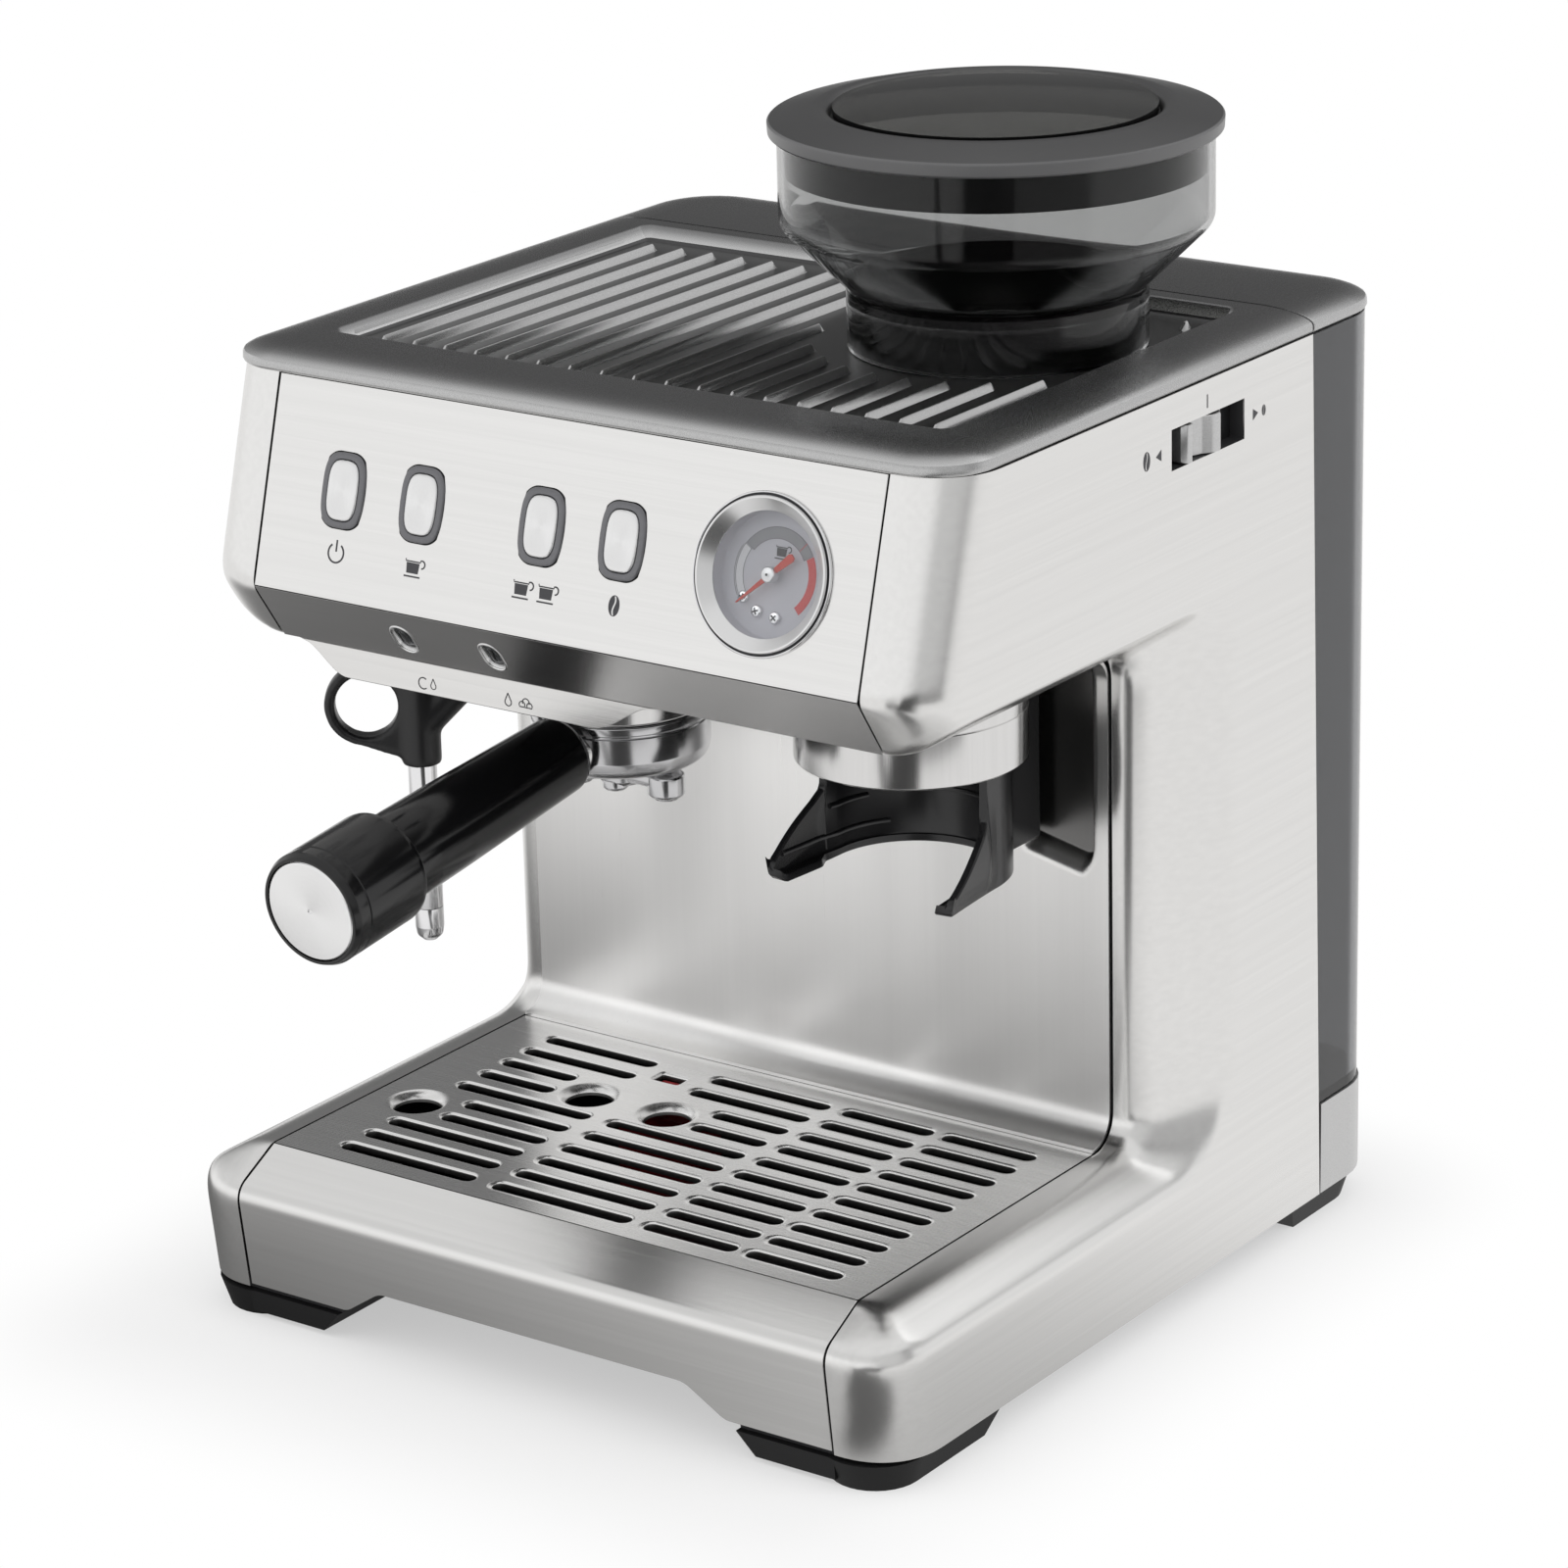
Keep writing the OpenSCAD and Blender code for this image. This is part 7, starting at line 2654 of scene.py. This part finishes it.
    def world(self) -> None:
        """White for the camera; for light, a room with bright and dark sides.

        It is bright at the front left, at the back right and overhead, and dark between them.
        """
        g = Graph("room", world=True)
        bpy.context.scene.world = g.material
        coords = g.node("ShaderNodeTexCoord").outputs["Generated"]
        x, y, z = g.parts(coords)
        flat = (x * x + y * y) ** 0.5 + 0.0001
        front = ((x * -0.57 + y * -0.82) / flat).ramp(-0.15, 0.6)
        back = ((x * 0.62 + y * 0.78) / flat).ramp(0.55, 0.93)
        above = z.ramp(0.52, 0.82)
        right = ((x * 0.77 - y * 0.64) / flat).ramp(0.55, 0.95) * 0.6
        front = front * (1.0 - z.ramp(0.2, 0.48) * 0.3)
        back = back * (0.85 - z.ramp(0.35, 0.6) * 0.42)
        level = front.op("MAXIMUM", back).op("MAXIMUM", above * 0.8).op("MAXIMUM", right) * 0.86 + 0.16
        room = g.node("ShaderNodeBackground", None, {"Color": (1.0, 1.0, 1.0), "Strength": level})
        white = g.node("ShaderNodeBackground", None, {"Color": (1.0, 1.0, 1.0), "Strength": 1.0})
        paths = g.node("ShaderNodeLightPath")
        seen = self.seen(g, paths)
        mix = g.node("ShaderNodeMixShader", None, {0: seen, 1: room.outputs[0], 2: white.outputs[0]})
        g.tree.links.new(mix.outputs[0], g.output.inputs[0])

    def build(self) -> None:
        """Sets the whole studio."""
        self.camera()
        self.floor()
        self.world()
        self.lamp("key", (-1.3, -1.4, 1.9), (0, 0, 0.2), (2.6, 2.0), 13, False)
        self.lamp("fill", (1.7, 0.3, 1.5), (0, 0, 0.2), (1.0, 1.4), 8, False)
        self.lamp("back", (0.3, 1.7, 1.9), (0, 0, 0.3), (1.6, 0.8), 2.5)
        bpy.context.scene.view_settings.view_transform = "Standard"


def main() -> None:
    """Builds the machine's looks in order and reports each piece."""
    logging.basicConfig(level=logging.INFO)
    Studio().build()
    use = Finishes()
    Casings().build(use)
    Cover().build(use)
    Tray().build(use)
    Hopper().build(use)
    Panel().build(use)
    Gauge().build(use)
    Pictures().build(use)
    refined("front_panel", "front_panel_sheet", use.across, "body", 0.35)
    refined("lip_panel", "lip_sheet", use.lip, "body", 0.3)
    Brew().build(use)
    Wand().build(use)
    Bay().build(use)
    Cradle().build(use)
    Lenses().build(use)
    Slider().build(use)
    melted(refined("wand_grip", "wand_grip_skin", use.satin_black, "wand", 0.0), 0.8, 26)
    refined("steam_knob", "steam_knob_skin", use.silver, "knob", 0.3)
    refined("feet", "feet_skin", use.rubber, "body", 0.8)
    refined("tank_base", "tank_base_skin", use.silver, "body", 0.6)
    refined("water_tank", "water_tank_skin", use.tank, "tank", 0.5)
    dress(use.moulded, "base_pan", "column_frame", "head_frame")
    dress(use.satin, "filter_basket", "shower_screen", "grinder_motor", "pump")
    dress(use.polished, "wand_ball")
    dress(use.satin_black, "tank_valve", "drip_tray", "slider_guide")
    dress(use.rubber, "cord_gland", "group_gasket")
    dress(use.cast, "thermoblock", "grinder_body")
    dress(use.brass, "steam_valve")
    dress(use.burr, "burr_ring", "burr_cone")
    dress(use.board, "control_board")
    dress(use.lens, "indicator_lenses")
    dress(use.float_red, "float")


if __name__ == "__main__":
    main()
